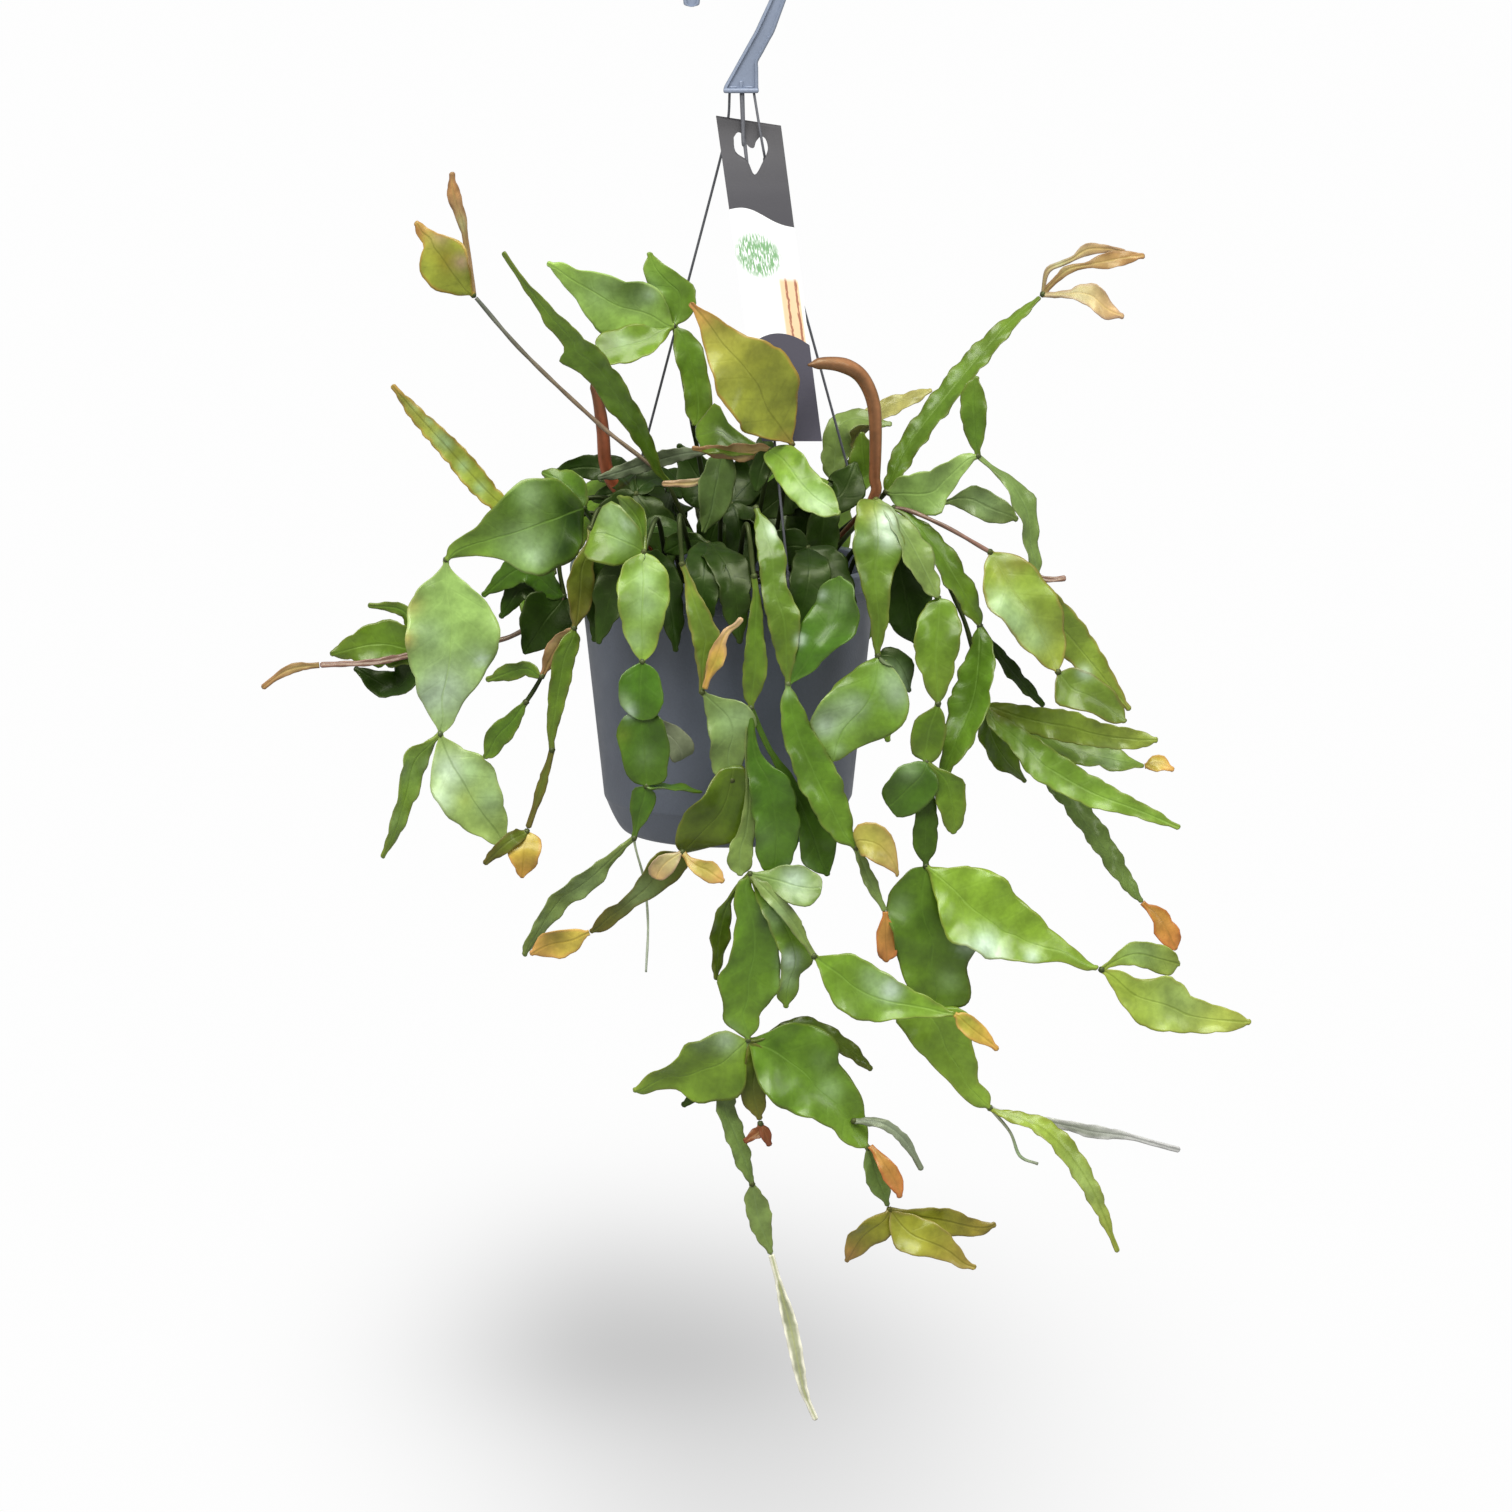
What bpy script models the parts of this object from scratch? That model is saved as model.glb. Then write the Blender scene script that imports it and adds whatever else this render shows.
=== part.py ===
"""A rhipsalis with flat, scalloped stem segments in a round hanging pot.

Metres, +Z up, +X to the right, the viewer at -Y. The origin is the point under the
hook's crown that bears on the rail, so the whole plant hangs below it.

Places on the plant are written in millimetres on an upright layout sheet that is looked
at from the front and a little from above: across from its left edge, down from its top
edge, and toward the viewer from the plane of the hook. sheet_point turns them into metres.
"""

import math

import bmesh
import bpy
import numpy as np
from mathutils import Matrix, Vector

MM = 0.001
GAP = 0.0003
YOUNG_GAP = 0.00036
MERGE = 0.00001

# The layout sheet
SHEET_MIDDLE = 378.0
VIEW_TILT = math.radians(10.5)
VIEW_DISTANCE = 3.0
BEARING_ON_SHEET = (368.0, -25.3)

# The pot
POT_ACROSS = 364.0
RIM_DOWN = 281.0
FLOOR_DOWN = 414.0
RIM_RADIUS = 0.0750
RIM_LIP = 0.0035
RIM_BAND = 0.0090
WALL_FOOT_RADIUS = 0.0620
FOOT_HEIGHT = 0.0165
FLOOR_RADIUS = 0.0510
FOOT_RING = 0.0050
FOOT_RECESS = 0.0020
POT_WALL = 0.0020
WALL_STEP = 0.0010
FOOT_CURVE = (0.0040, 0.0080)
FOOT_FLARE = (0.0030, 0.0015)
POT_FACETS = 36

# The soil
SOIL_BELOW_RIM = 0.0140
SOIL_CROWN = 0.0040
SOIL_CLEARANCE = 0.0006
SHOULDER_RADIUS = 0.0450
SHOULDER_SHARE = 0.6
STEM_HOLE_DEPTH = 0.0120
STEM_HOLE_GAP = 0.0004
HOLE_FACETS = 4
HOLE_CUTTER_ABOVE = 0.020
STALK_STRAIGHT = 0.0010

# The hook and its strands
HOOK_INNER_RADIUS = 0.0177
HOOK_WIDTH = 0.0080
HOOK_THICKNESS = 0.0060
HOOK_GROOVE = 0.0014
HOOK_FLANGE = 0.0017
HOOK_TIP_DROP = 0.0100
YOKE_WIDTH = 0.0165
YOKE_TOP_WIDTH = 0.0090
YOKE_HEIGHT = 0.0160
YOKE_FLANGE = 0.0045
YOKE_DEPTH = 0.0100
STRAND_RADIUS = 0.0009
CLIP_SIZE = (0.0080, 0.0070, 0.0110)
CLIP_LEG = 0.0080
YOKE_SHIFT = 0.0030
YOKE_ON_SHEET = (370.3, 46)
ARM_ON_SHEET = [(372.5, 36, 0), (375, 29, 0), (380, 20, 0), (385.5, 10, 0)]
CROWN_START = -8
CROWN_POINTS = 12
CLIP_SEAT_IN = 0.0028
STRAND_ANGLES = {"strand_left": 136.6, "strand_right": 20.0, "strand_front": -67.0}
STRAND_STARTS = {
    "strand_left": [(364.8, 46, -3), (364, 60, -5), (360, 80, -8.5)],
    "strand_right": [(377, 46, 2.5), (379, 59, 5.5), (381, 71, 8.2), (382.3, 78, 7.2), (385, 92, 0)],
    "strand_front": [(371, 46, 2), (371.5, 62, 5), (371.8, 72, 7.2), (373.2, 79, 8.6)],
}

# The hanging label: how it bows forward (down, toward) and its sides at top and bottom
LABEL_THICKNESS = 0.0008
LABEL_COLUMNS = 2
LABEL_LINE = [(58, -1.0), (66, 3.0), (78, 11.0), (90, 16.5), (105, 21.5), (145, 32.5), (190, 45.0),
              (220.5, 53.0)]
LABEL_TOP = (358.0, 390.5)
LABEL_BOTTOM = (381.0, 411.0)
LABEL_TOP_SLOPE = 5.0
LABEL_HOLE = [(367, 68.5), (369, 66), (371.5, 67), (373.5, 71.5), (375.5, 73.5), (377.5, 73.5), (378.5, 70.5),
              (381, 68), (383.5, 69.5), (384.5, 75), (382, 81), (377.8, 87.5), (374, 80.5), (368, 76)]
LABEL_CUT_FROM = 45
LABEL_CUT_TO = -30

# The plant
RIB_HALF_THICKNESS = 0.00085
NECK_HALF_WIDTH = 0.0012
TIP_HALF_WIDTH = 0.0009
SCALLOP = 0.14
SHORT_SEGMENT = 0.042
LONG_SEGMENT = 0.085
SPECK = 0.006
KEPT_FACES = (0.62, 0.70, 0.78, 0.86)
MANY_FACES = 150
SEAM = 0.0000002
TIP_FLATNESS = 0.8
FACE_UP = 0.35
CUP = 0.16
WAVE = 0.0009
KNUCKLE_RADIUS = 0.0022
SIBLING_STEP = 0.00013
BASE_ROLL = 20.0
SIBLING_ROLL = 31.0
FOLLOWS_PARENT = 0.4
STALK_WIDTH = 3.0

# A segment's outline: where it is widest (below 1 nearer the base) and how full it is
KINDS = {
    "ovate": (0.86, 0.72),
    "lance": (0.95, 0.88),
    "round": (1.00, 0.42),
    "strap": (0.66, 0.50),
    "late": (1.55, 0.85),
    "stalk": (1.00, 0.00),
}

COLOURS = {
    "leaf green": (0.105, 0.235, 0.035),
    "deep green": (0.045, 0.120, 0.018),
    "sage green": (0.190, 0.280, 0.120),
    "lime": (0.380, 0.440, 0.080),
    "amber": (0.560, 0.320, 0.070),
    "rust": (0.300, 0.105, 0.035),
    "pale": (0.520, 0.600, 0.300),
    "slate": (0.085, 0.095, 0.135),
    "hook slate": (0.260, 0.300, 0.380),
    "charcoal": (0.045, 0.043, 0.046),
    "soil": (0.022, 0.014, 0.009),
}


def sheet_point(across, down, toward):
    """A place on the layout sheet, in metres from the hook's bearing point.

    The sheet is seen from VIEW_DISTANCE, tilted down by VIEW_TILT, so a place that
    comes toward the viewer sits higher than it looks.
    """
    sine, cosine = math.sin(VIEW_TILT), math.cos(VIEW_TILT)
    right = (across - SHEET_MIDDLE) * MM
    above = (SHEET_MIDDLE - down) * MM
    back = -toward * MM
    height = (above + (above * cosine / VIEW_DISTANCE - sine) * back)
    height /= cosine + above * sine / VIEW_DISTANCE
    away = back * cosine - height * sine
    return Vector((right * (1 + away / VIEW_DISTANCE), back, height)) - sheet_origin()


def sheet_origin():
    """The bearing point as the sheet places it, before the origin is moved there."""
    above = (SHEET_MIDDLE - BEARING_ON_SHEET[1]) * MM
    sine, cosine = math.sin(VIEW_TILT), math.cos(VIEW_TILT)
    height = above / (cosine + above * sine / VIEW_DISTANCE)
    right = (BEARING_ON_SHEET[0] - SHEET_MIDDLE) * MM
    return Vector((right * (1 - height * sine / VIEW_DISTANCE), 0.0, height))


POT_AXIS = sheet_point(POT_ACROSS, RIM_DOWN, 0)
RIM_Z = POT_AXIS.z
FLOOR_Z = sheet_point(POT_ACROSS, FLOOR_DOWN, 0).z
SOIL_Z = RIM_Z - SOIL_BELOW_RIM

# The plant, stem by stem. A stem gives its colour, its root on the soil (millimetres to
# the right of the pot's axis and toward the viewer), the places its stalk bends at, and
# its segments: kind, width, turn of the face away from the viewer at the base and at the
# tip in degrees, and the line it follows. A segment that starts where another ends grows
# from that one. A stem without a root is a young shoot on the end of another stem.
STEMS = {
    "stem_reach_left": ("leaf green", (-12, 4), [], [
        ("stalk", 2.2, (0, 0), [(334, 241, 12), (300, 212.5, 6), (262, 176.5, 0), (238, 149, -4)]),
        ("lance", 26, (20, 35),
         [(334, 241, 12), (318, 210, 28), (296, 182, 36), (270, 155, 38), (251.5, 126, 36)]),
    ]),
    "young_reach_left": ("lime", None, [], [
        ("ovate", 24, (25, -10), [(238, 149, -4), (224, 134, 2), (207.5, 111, 0)]),
        ("lance", 9, (10, 10), [(238, 149, -4), (236, 128, -10), (230, 104, -10), (226, 86, -8)]),
    ]),
    "stem_fan_top": ("leaf green", (-8, -14), [], [
        ("ovate", 35, (10, 20), [(337, 163, -6), (305, 148, 0), (273.5, 131.5, 4)]),
        ("ovate", 20, (-25, -35), [(337, 163, -6), (318, 173, 2), (299, 177, 6)]),
        ("ovate", 21, (15, 0), [(337, 163, -6), (339, 146, -8), (324.5, 126, -10)]),
        ("lance", 18, (10, 10), [(337, 163, -6), (343, 188, -2), (347, 213, 2)]),
    ]),
    "stem_front_upright": ("leaf green", (12, 30), [], [
        ("ovate", 26, (10, 25), [(385, 225, 59), (402, 242, 77), (420, 257, 86)]),
        ("ovate", 20, (-10, -40), [(385, 225, 59), (370, 216, 54), (350, 219, 44)]),
        ("ovate", 10, (55, 60), [(385, 225, 59), (370, 226, 58), (346, 224, 54)]),
        ("lance", 12, (0, 0), [(385, 225, 59), (381, 233, 60), (378, 246, 62)]),
    ]),
    "young_leaf_upright": ("lime", (22, 27), [], [
        ("ovate", 50, (-30, 0), [(396, 222, 61), (390, 212, 67), (374, 188, 77), (345, 151.5, 74)]),
    ]),
    "stem_centre": ("sage green", (-4, 16), [], [
        ("lance", 19, (15, 25), [(361, 227, 28), (360, 245, 34), (351.5, 266.5, 36)]),
        ("late", 12, (40, 40), [(361, 227, 28), (335, 233, 28), (306, 237, 24)]),
        ("late", 10, (30, 30), [(361, 227, 28), (340, 243, 30), (314, 251, 30)]),
        ("ovate", 12, (20, 20), [(361, 227, 28), (374, 226, 30), (381, 245, 30)]),
    ]),
    "stem_front_long": ("leaf green", (17, 49), [], [
        ("lance", 17, (15, -10), [(378, 254, 70), (386, 279, 88), (391, 308, 97), (394, 342, 99)]),
        ("late", 30, (20, 30), [(394, 342, 99), (404, 323, 101), (420, 288, 98)]),
        ("lance", 24, (10, 20), [(394, 342, 99), (405, 375, 103), (416, 402, 105), (428, 424, 106)]),
        ("stalk", 2.4, (0, 0), [(428, 424, 106), (435, 441, 106), (442.5, 455.5, 106)]),
    ]),
    "young_amber_side": ("amber", None, [], [
        ("ovate", 18, (10, 30), [(428.6, 422.6, 108.2), (438, 423, 111), (449, 438, 112)]),
    ]),
    "young_amber_low": ("amber", None, [], [
        ("lance", 11, (20, 20), [(442.5, 455.5, 106), (442.8, 468, 105), (443, 481, 104)]),
    ]),
    "stem_front_right": ("leaf green", (46, 34), [], [
        ("lance", 25, (10, 0), [(438, 250, 58), (438, 272, 78), (438, 300, 88), (439, 328, 92)]),
        ("ovate", 46, (-15, 20), [(439, 328, 92), (431, 350, 97), (413, 374, 98)]),
        ("ovate", 15, (30, 30), [(439, 328, 92), (448, 330, 90), (455, 346, 86)]),
        ("late", 16, (25, 35), [(438, 250, 58), (449, 262, 70), (459, 280, 78), (469, 299, 80)]),
        ("ovate", 22, (5, 10), [(469, 299, 80), (471, 325, 90), (469, 352, 94)]),
        ("ovate", 16, (0, 0), [(469, 352, 94), (464, 366, 95), (463, 381, 95)]),
        ("round", 27, (10, 10), [(463, 381, 95), (456, 392, 99), (443, 402, 100)]),
        ("ovate", 15, (0, 10), [(463, 381, 95), (474, 394, 96), (477, 417, 97)]),
        ("lance", 13, (20, 0), [(463, 381, 95), (463, 405, 94), (463, 433, 94)]),
        ("ovate", 44, (10, 10), [(463, 433, 94), (463, 470, 97), (466, 505, 98)]),
        ("ovate", 46, (15, 35), [(463, 433, 94), (495, 452, 100), (525, 472, 100), (549, 484, 96)]),
        ("lance", 36, (10, 10), [(466, 505, 98), (476, 525, 98), (486, 543, 98), (495, 554, 97)]),
        ("lance", 6, (0, 0), [(495, 554, 97), (530, 561, 94), (560, 568, 90), (590, 575, 86)]),
        ("lance", 12, (10, 30), [(495, 554, 97), (522, 565, 100), (543, 590, 102), (559, 626, 102)]),
        ("stalk", 2.0, (0, 0), [(495, 554, 97), (505, 566, 96), (510, 578, 96), (519, 582, 96)]),
        ("late", 26, (-30, -30), [(438, 250, 58), (449, 280, 62), (458, 322, 66)]),
    ]),
    "stem_right_upper": ("leaf green", (42, 2), [], [
        ("strap", 15, (15, 30),
         [(443, 246, 30), (455, 222, 26), (480, 191, 20), (502, 165, 14), (520, 148.5, 10)]),
        ("ovate", 26, (-10, 10), [(443, 246, 30), (464, 236, 36), (489, 228, 38)]),
        ("lance", 15, (10, 20), [(489, 228, 38), (491, 207, 38), (488.5, 188, 36)]),
        ("late", 13, (35, 50), [(489, 228, 38), (499, 239, 38), (514, 258, 40), (519, 288, 44)]),
        ("lance", 3, (0, 0), [(519, 288, 44), (524, 290, 45), (533, 289, 45)]),
        ("late", 18, (10, 10), [(443, 246, 30), (462, 246, 24), (480, 252, 22), (509, 260, 26)]),
    ]),
    "young_right_trio": ("amber", None, [], [
        ("late", 11, (30, -30), [(520, 148.5, 10), (531, 135, 8), (548, 124, 4), (571.5, 127, 2)]),
        ("late", 11, (10, 30), [(520, 148.5, 10), (537, 136.5, 12), (553, 134, 14), (571, 130, 12)]),
        ("late", 15, (20, 20), [(520, 148.5, 10), (538, 146, 16), (552, 148, 20), (562.5, 159, 20)]),
    ]),
    "stem_right_front": ("leaf green", (55, 22), [], [
        ("stalk", 2.2, (0, 0), [(447, 254, 46), (470, 262, 54), (495, 276, 56)]),
        ("ovate", 47, (20, 30), [(495, 276, 56), (509, 303, 64), (529, 336, 66)]),
        ("lance", 32, (0, 10), [(495, 276, 56), (515, 296, 52), (538, 322, 50), (565, 355, 50)]),
        ("ovate", 24, (20, 30), [(529, 336, 66), (545, 346, 68), (563, 361, 66)]),
        ("late", 17, (20, 30), [(447, 254, 46), (466, 272, 54), (480, 294, 58), (490, 313, 62)]),
        ("lance", 22, (-20, -30), [(490, 313, 62), (488, 345, 76), (478, 372, 84), (469, 394, 88)]),
        ("late", 9, (20, 20), [(490, 313, 62), (505, 335, 56), (522, 353, 54)]),
    ]),
    "stem_right_lime": ("lime", (60, 2), [(452, 262, 6), (480, 305, 20)], [
        ("strap", 25, (-10, 0), [(492, 352, 34), (525, 362, 46), (553, 368, 50), (579, 370, 50)]),
        ("strap", 26, (15, 20), [(492, 352, 34), (525, 376, 56), (560, 400, 62), (590, 414, 62)]),
        ("late", 18, (30, 40), [(492, 352, 34), (530, 373, 34), (555, 380, 36), (572, 383, 38)]),
        ("ovate", 20, (30, 30), [(492, 352, 34), (498, 374, 26), (513, 391, 24)]),
        ("late", 14, (10, 20), [(492, 352, 34), (522, 385, 28), (545, 415, 30), (571, 451, 30)]),
    ]),
    "young_ochre_tip": ("amber", None, [], [
        ("lance", 9, (10, 10), [(572, 383, 38), (579, 382, 38), (587, 385, 38)]),
    ]),
    "young_orange_right": ("amber", None, [], [
        ("late", 13, (0, 20), [(571, 451, 30), (580, 460, 30), (588, 475, 30)]),
    ]),
    "young_right_pair": ("lime", None, [], [
        ("ovate", 18, (-20, -40), [(549, 484, 96), (567, 472, 94), (590, 482, 90)]),
        ("ovate", 34, (10, 20), [(549, 484, 96), (580, 500, 98), (605, 508, 96), (625.5, 511, 94)]),
    ]),
    "stem_front_chain": ("leaf green", (5, 56), [(373, 262, 80)], [
        ("lance", 13, (10, 0), [(377, 288, 91), (377, 320, 96), (375.5, 354, 98)]),
        ("ovate", 27, (0, 20), [(375.5, 354, 98), (386, 382, 102), (389, 410, 103), (386, 437, 104)]),
        ("late", 19, (20, 30), [(375.5, 354, 98), (395, 392, 96), (408, 415, 96), (414, 438, 95)]),
        ("lance", 8, (10, 10), [(375.5, 354, 98), (371, 380, 107), (372, 410, 109), (375, 437, 109)]),
        ("ovate", 21, (10, 30), [(375, 437, 109), (393, 436, 111), (411, 444, 111)]),
        ("ovate", 15, (20, 40), [(375, 437, 109), (361, 460, 105), (358, 490, 105)]),
        ("lance", 31, (5, 5), [(375, 437, 109), (370, 470, 108), (372, 500, 108), (374, 520, 108)]),
        ("ovate", 32, (15, 30), [(375, 437, 109), (393, 460, 111), (398, 485, 109), (393, 504, 107)]),
        ("lance", 6, (0, 0), [(375, 437, 109), (392, 455, 115), (407, 478, 115)]),
        ("ovate", 33, (10, 20), [(407, 478, 115), (430, 486, 116), (455, 498, 116), (477, 507, 115)]),
        ("ovate", 36, (10, 30), [(374, 520, 108), (350, 524, 112), (333, 535, 112), (316.5, 545, 110)]),
        ("lance", 16, (20, 0), [(374, 520, 108), (378, 540, 105), (380, 560, 105)]),
        ("ovate", 48, (15, 30), [(374, 520, 108), (400, 528, 104), (420, 548, 104), (434, 574, 104)]),
        ("late", 10, (20, 20), [(374, 520, 108), (400, 512, 96), (420, 522, 94), (436, 535, 94)]),
        ("late", 8, (20, 20), [(374, 520, 108), (358, 540, 100), (341, 553, 98)]),
        ("late", 12, (10, 30), [(374, 520, 108), (362, 548, 104), (369, 572, 104), (376, 592, 104)]),
        ("lance", 13, (0, 10), [(376, 592, 104), (379, 608, 104), (385.5, 627, 104)]),
        ("lance", 13, (10, 20), [(434, 574, 104), (439, 590, 104), (444, 603, 104)]),
        ("lance", 6, (0, 0), [(427, 560.5, 104), (441, 562, 108), (452, 570, 109), (461, 585, 109)]),
    ]),
    "young_orange_low": ("amber", None, [], [
        ("ovate", 13, (20, 20), [(434.8, 572.8, 106.2), (445, 580, 110), (450, 599, 111)]),
    ]),
    "young_chain_tip": ("amber", None, [], [
        ("lance", 13, (10, 20), [(477, 507, 115), (487, 513, 116), (499, 525, 115)]),
    ]),
    "young_brown_tip": ("rust", None, [], [
        ("lance", 6, (10, 10), [(380, 560, 105), (379, 566, 106), (372, 571, 107)]),
        ("lance", 6, (10, 10), [(380, 560, 105), (382, 566, 106), (385, 573, 106)]),
    ]),
    "young_low_trio": ("lime", None, [], [
        ("ovate", 21, (20, 40), [(444, 603, 104), (430, 611, 108), (423, 631, 108)]),
        ("ovate", 29, (10, 20), [(444, 603, 104), (463, 613, 110), (487, 634, 110)]),
        ("ovate", 17, (-20, -30), [(444, 603, 104), (470, 605, 102), (497, 611, 98)]),
    ]),
    "young_pale_tail": ("pale", None, [], [
        ("lance", 11, (10, 10), [(385.5, 627, 104), (391, 650, 104), (399, 680, 104), (408, 710, 104)]),
    ]),
    "stem_front_mid": ("sage green", (-16, 50), [(340, 258, 80)], [
        ("lance", 16, (5, 15), [(341, 282, 90), (345, 310, 95), (351, 346, 97)]),
        ("ovate", 27, (0, 10), [(351, 346, 97), (362, 366, 98), (366, 390, 98)]),
        ("ovate", 34, (10, 30), [(366, 390, 98), (356, 406, 99), (341, 427, 101)]),
        ("lance", 18, (20, 30), [(341, 427, 101), (322, 445, 103), (295, 466, 103)]),
    ]),
    "young_olive_node": ("amber", None, [], [
        ("ovate", 13, (0, 0), [(342.6, 425, 104.7), (336, 430, 109), (329, 440, 110)]),
        ("ovate", 13, (20, 20), [(342.6, 425, 104.7), (350, 430, 109), (362, 441, 110)]),
    ]),
    "young_curl": ("amber", None, [], [
        ("late", 11, (20, -20), [(352.2, 344.4, 98.6), (359, 333, 104), (366, 320, 107), (371, 309, 108)]),
    ]),
    "young_bottom_left": ("amber", None, [], [
        ("ovate", 14, (10, 10), [(295, 466, 103), (281, 469, 104), (265, 477, 104)]),
    ]),
    "stem_front_left": ("leaf green", (-30, 44), [(322, 256, 70)], [
        ("ovate", 28, (5, 10), [(322, 276, 84), (320, 302, 94), (321, 331, 97)]),
        ("ovate", 32, (-10, -20), [(322, 276, 84), (310, 271, 84), (295, 268, 80)]),
        ("ovate", 23, (20, 30), [(322, 276, 84), (319, 262, 74), (309, 248, 66)]),
        ("ovate", 17, (20, 20), [(322, 276, 84), (333, 293, 87), (338, 326, 89)]),
        ("ovate", 19, (-20, -10), [(322, 276, 84), (309, 290, 80), (299, 322, 80)]),
        ("round", 25, (10, 0), [(321, 331, 97), (320, 346, 98), (320, 360, 98)]),
        ("ovate", 28, (0, 10), [(320, 360, 98), (321, 376, 99), (323, 393, 99)]),
        ("round", 15, (20, 20), [(320, 360, 98), (333, 362, 94), (340, 380, 90)]),
        ("lance", 18, (20, 10), [(323, 393, 99), (321, 406, 99), (317, 419, 99)]),
        ("ovate", 9, (50, 50), [(323, 393, 99), (336, 394, 96), (351, 396, 90)]),
        ("lance", 16, (20, 30), [(317, 419, 99), (302, 430, 98), (282, 443, 97), (262, 478, 96)]),
        ("stalk", 1.4, (0, 0), [(317, 419, 99), (322, 440, 96), (324, 462, 95), (323, 486, 95)]),
    ]),
    "stem_left_drop": ("leaf green", (-44, 30), [(302, 256, 56)], [
        ("lance", 18, (20, 30), [(295, 264, 66), (286, 290, 76), (287, 314, 78)]),
        ("lance", 10, (30, 30), [(287, 314, 78), (279, 322, 76), (271, 338, 74)]),
        ("stalk", 2.2, (0, 0), [(271, 338, 74), (267, 345, 73), (263, 351, 72)]),
        ("lance", 13, (10, 10), [(263, 351, 72), (253, 360, 72), (242, 379, 72)]),
        ("lance", 8, (40, 40), [(271, 338, 74), (262, 336, 70), (243, 340, 66)]),
        ("lance", 13, (20, 0), [(287, 314, 78), (281, 345, 80), (276, 375, 80)]),
        ("lance", 5, (0, 0), [(276, 375, 80), (271, 393, 80), (264, 414, 78)]),
    ]),
    "young_left_pair": ("lime", None, [], [
        ("lance", 12, (10, 30), [(264, 414, 78), (254, 421, 82), (242, 432, 82)]),
        ("ovate", 18, (0, 20), [(264, 414, 78), (262, 426, 84), (261, 439, 84)]),
    ]),
    "stem_left_arch": ("leaf green", (-50, 14), [], [
        ("ovate", 47, (0, 20), [(292, 254, 32), (266, 256, 50), (243, 266, 56), (223, 280, 56)]),
        ("ovate", 44, (5, 15), [(223, 280, 56), (222, 310, 62), (223, 340, 64), (220, 367, 62)]),
        ("ovate", 18, (20, 40), [(220, 367, 62), (204, 385, 64), (197, 405, 64), (191, 429, 62)]),
        ("ovate", 36, (10, 10), [(220, 367, 62), (234, 390, 68), (253, 421, 68)]),
        ("ovate", 16, (20, 20), [(292, 254, 32), (283, 242, 26), (271, 236, 20)]),
    ]),
    "stem_left_low": ("deep green", (-58, -8), [(299, 258, -6), (284, 263, -5), (279.5, 280, -3)], [
        ("ovate", 27, (15, 25), [(282, 298, 0), (272, 311, 6), (262, 327, 8)]),
        ("lance", 16, (20, 20), [(282, 298, 0), (262, 284, 4), (241, 298, 6)]),
        ("ovate", 14, (10, 20), [(282, 298, 0), (262, 294, 0), (250, 309, 2)]),
        ("stalk", 2.6, (0, 0), [(282, 298, 0), (256, 318, -4), (230, 322, -4), (212, 326, -4)]),
        ("ovate", 23, (15, 25), [(212, 326, -4), (190, 322, -2), (165, 327, -2)]),
        ("ovate", 18, (-10, -20), [(212, 326, -4), (198, 344, -8), (177, 334, -10)]),
        ("lance", 8, (40, 40), [(212, 326, -4), (203, 306, -6), (184, 302.5, -8)]),
        ("lance", 4, (0, 0), [(212, 326, -4), (188, 331, 6), (160, 332.5, 8)]),
    ]),
    "young_twig_left": ("rust", None, [], [
        ("lance", 5, (20, 20), [(160, 332.5, 8), (144, 335, 8), (131, 344, 8)]),
    ]),
    "stem_left_yellow": ("lime", (-40, -14), [(306, 250, -10)], [
        ("strap", 14, (10, 30), [(262, 258, -4), (248, 250, -4), (222, 222, -6), (196, 192.5, -8)]),
    ]),
    "stem_inner_right": ("deep green", (30, 13), [], [
        ("ovate", 18, (10, 10), [(412, 250, 38), (411, 266, 42), (410, 286, 41)]),
        ("ovate", 20, (-20, 0), [(412, 250, 38), (421, 247, 34), (428, 231, 28)]),
        ("ovate", 21, (10, 20), [(412, 250, 38), (396, 246, 30), (376, 260, 26)]),
        ("ovate", 20, (10, 20), [(412, 250, 38), (402, 262, 30), (398, 284, 27)]),
    ]),
    "stem_inner_left": ("deep green", (-22, 10), [], [
        ("ovate", 16, (20, 20), [(318, 247, 14), (302, 230, 8), (286, 232, 4), (270, 242, 2)]),
        ("ovate", 13, (20, 20), [(318, 247, 14), (308, 241, 12), (296, 247, 10)]),
        ("ovate", 18, (20, 20), [(318, 247, 14), (330, 240, 2), (341, 249, -2)]),
        ("ovate", 20, (10, 10), [(318, 247, 14), (328, 263, 18), (336, 284, 20)]),
        ("ovate", 20, (10, 10), [(318, 247, 14), (307, 262, 12), (297, 280, 8)]),
    ]),
    "stem_inner_middle": ("deep green", (2, -9), [], [
        ("ovate", 24, (20, 20), [(366, 252, -10), (352, 242, -24), (339, 222, -30)]),
        ("ovate", 22, (10, 10), [(366, 252, -10), (378, 236, -12), (384, 216, -14)]),
        ("ovate", 24, (10, 10), [(366, 252, -10), (384, 256, -4), (404, 270, 2)]),
        ("ovate", 20, (0, 0), [(366, 252, -10), (358, 262, -5), (352, 282, -4)]),
        ("ovate", 22, (20, 20), [(366, 252, -10), (370, 268, 0), (372, 290, 8)]),
    ]),
    "stem_rim_left": ("deep green", (-32, 22), [], [
        ("ovate", 21, (10, 10), [(318, 268, 48), (304, 281, 66), (297, 321, 69)]),
        ("ovate", 14, (30, 30), [(318, 268, 48), (332, 264, 44), (350, 270, 42)]),
    ]),
    "stem_rim_middle": ("deep green", (-4, 42), [], [
        ("ovate", 19, (10, 10), [(354, 272, 62), (352, 290, 83), (350, 322, 86)]),
        ("ovate", 19, (10, 10), [(354, 272, 62), (366, 290, 84), (370, 322, 86)]),
        ("late", 12, (30, 30), [(354, 272, 62), (344, 270, 56), (332, 276, 56)]),
    ]),
    "stem_rim_right": ("deep green", (27, 41), [], [
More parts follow.
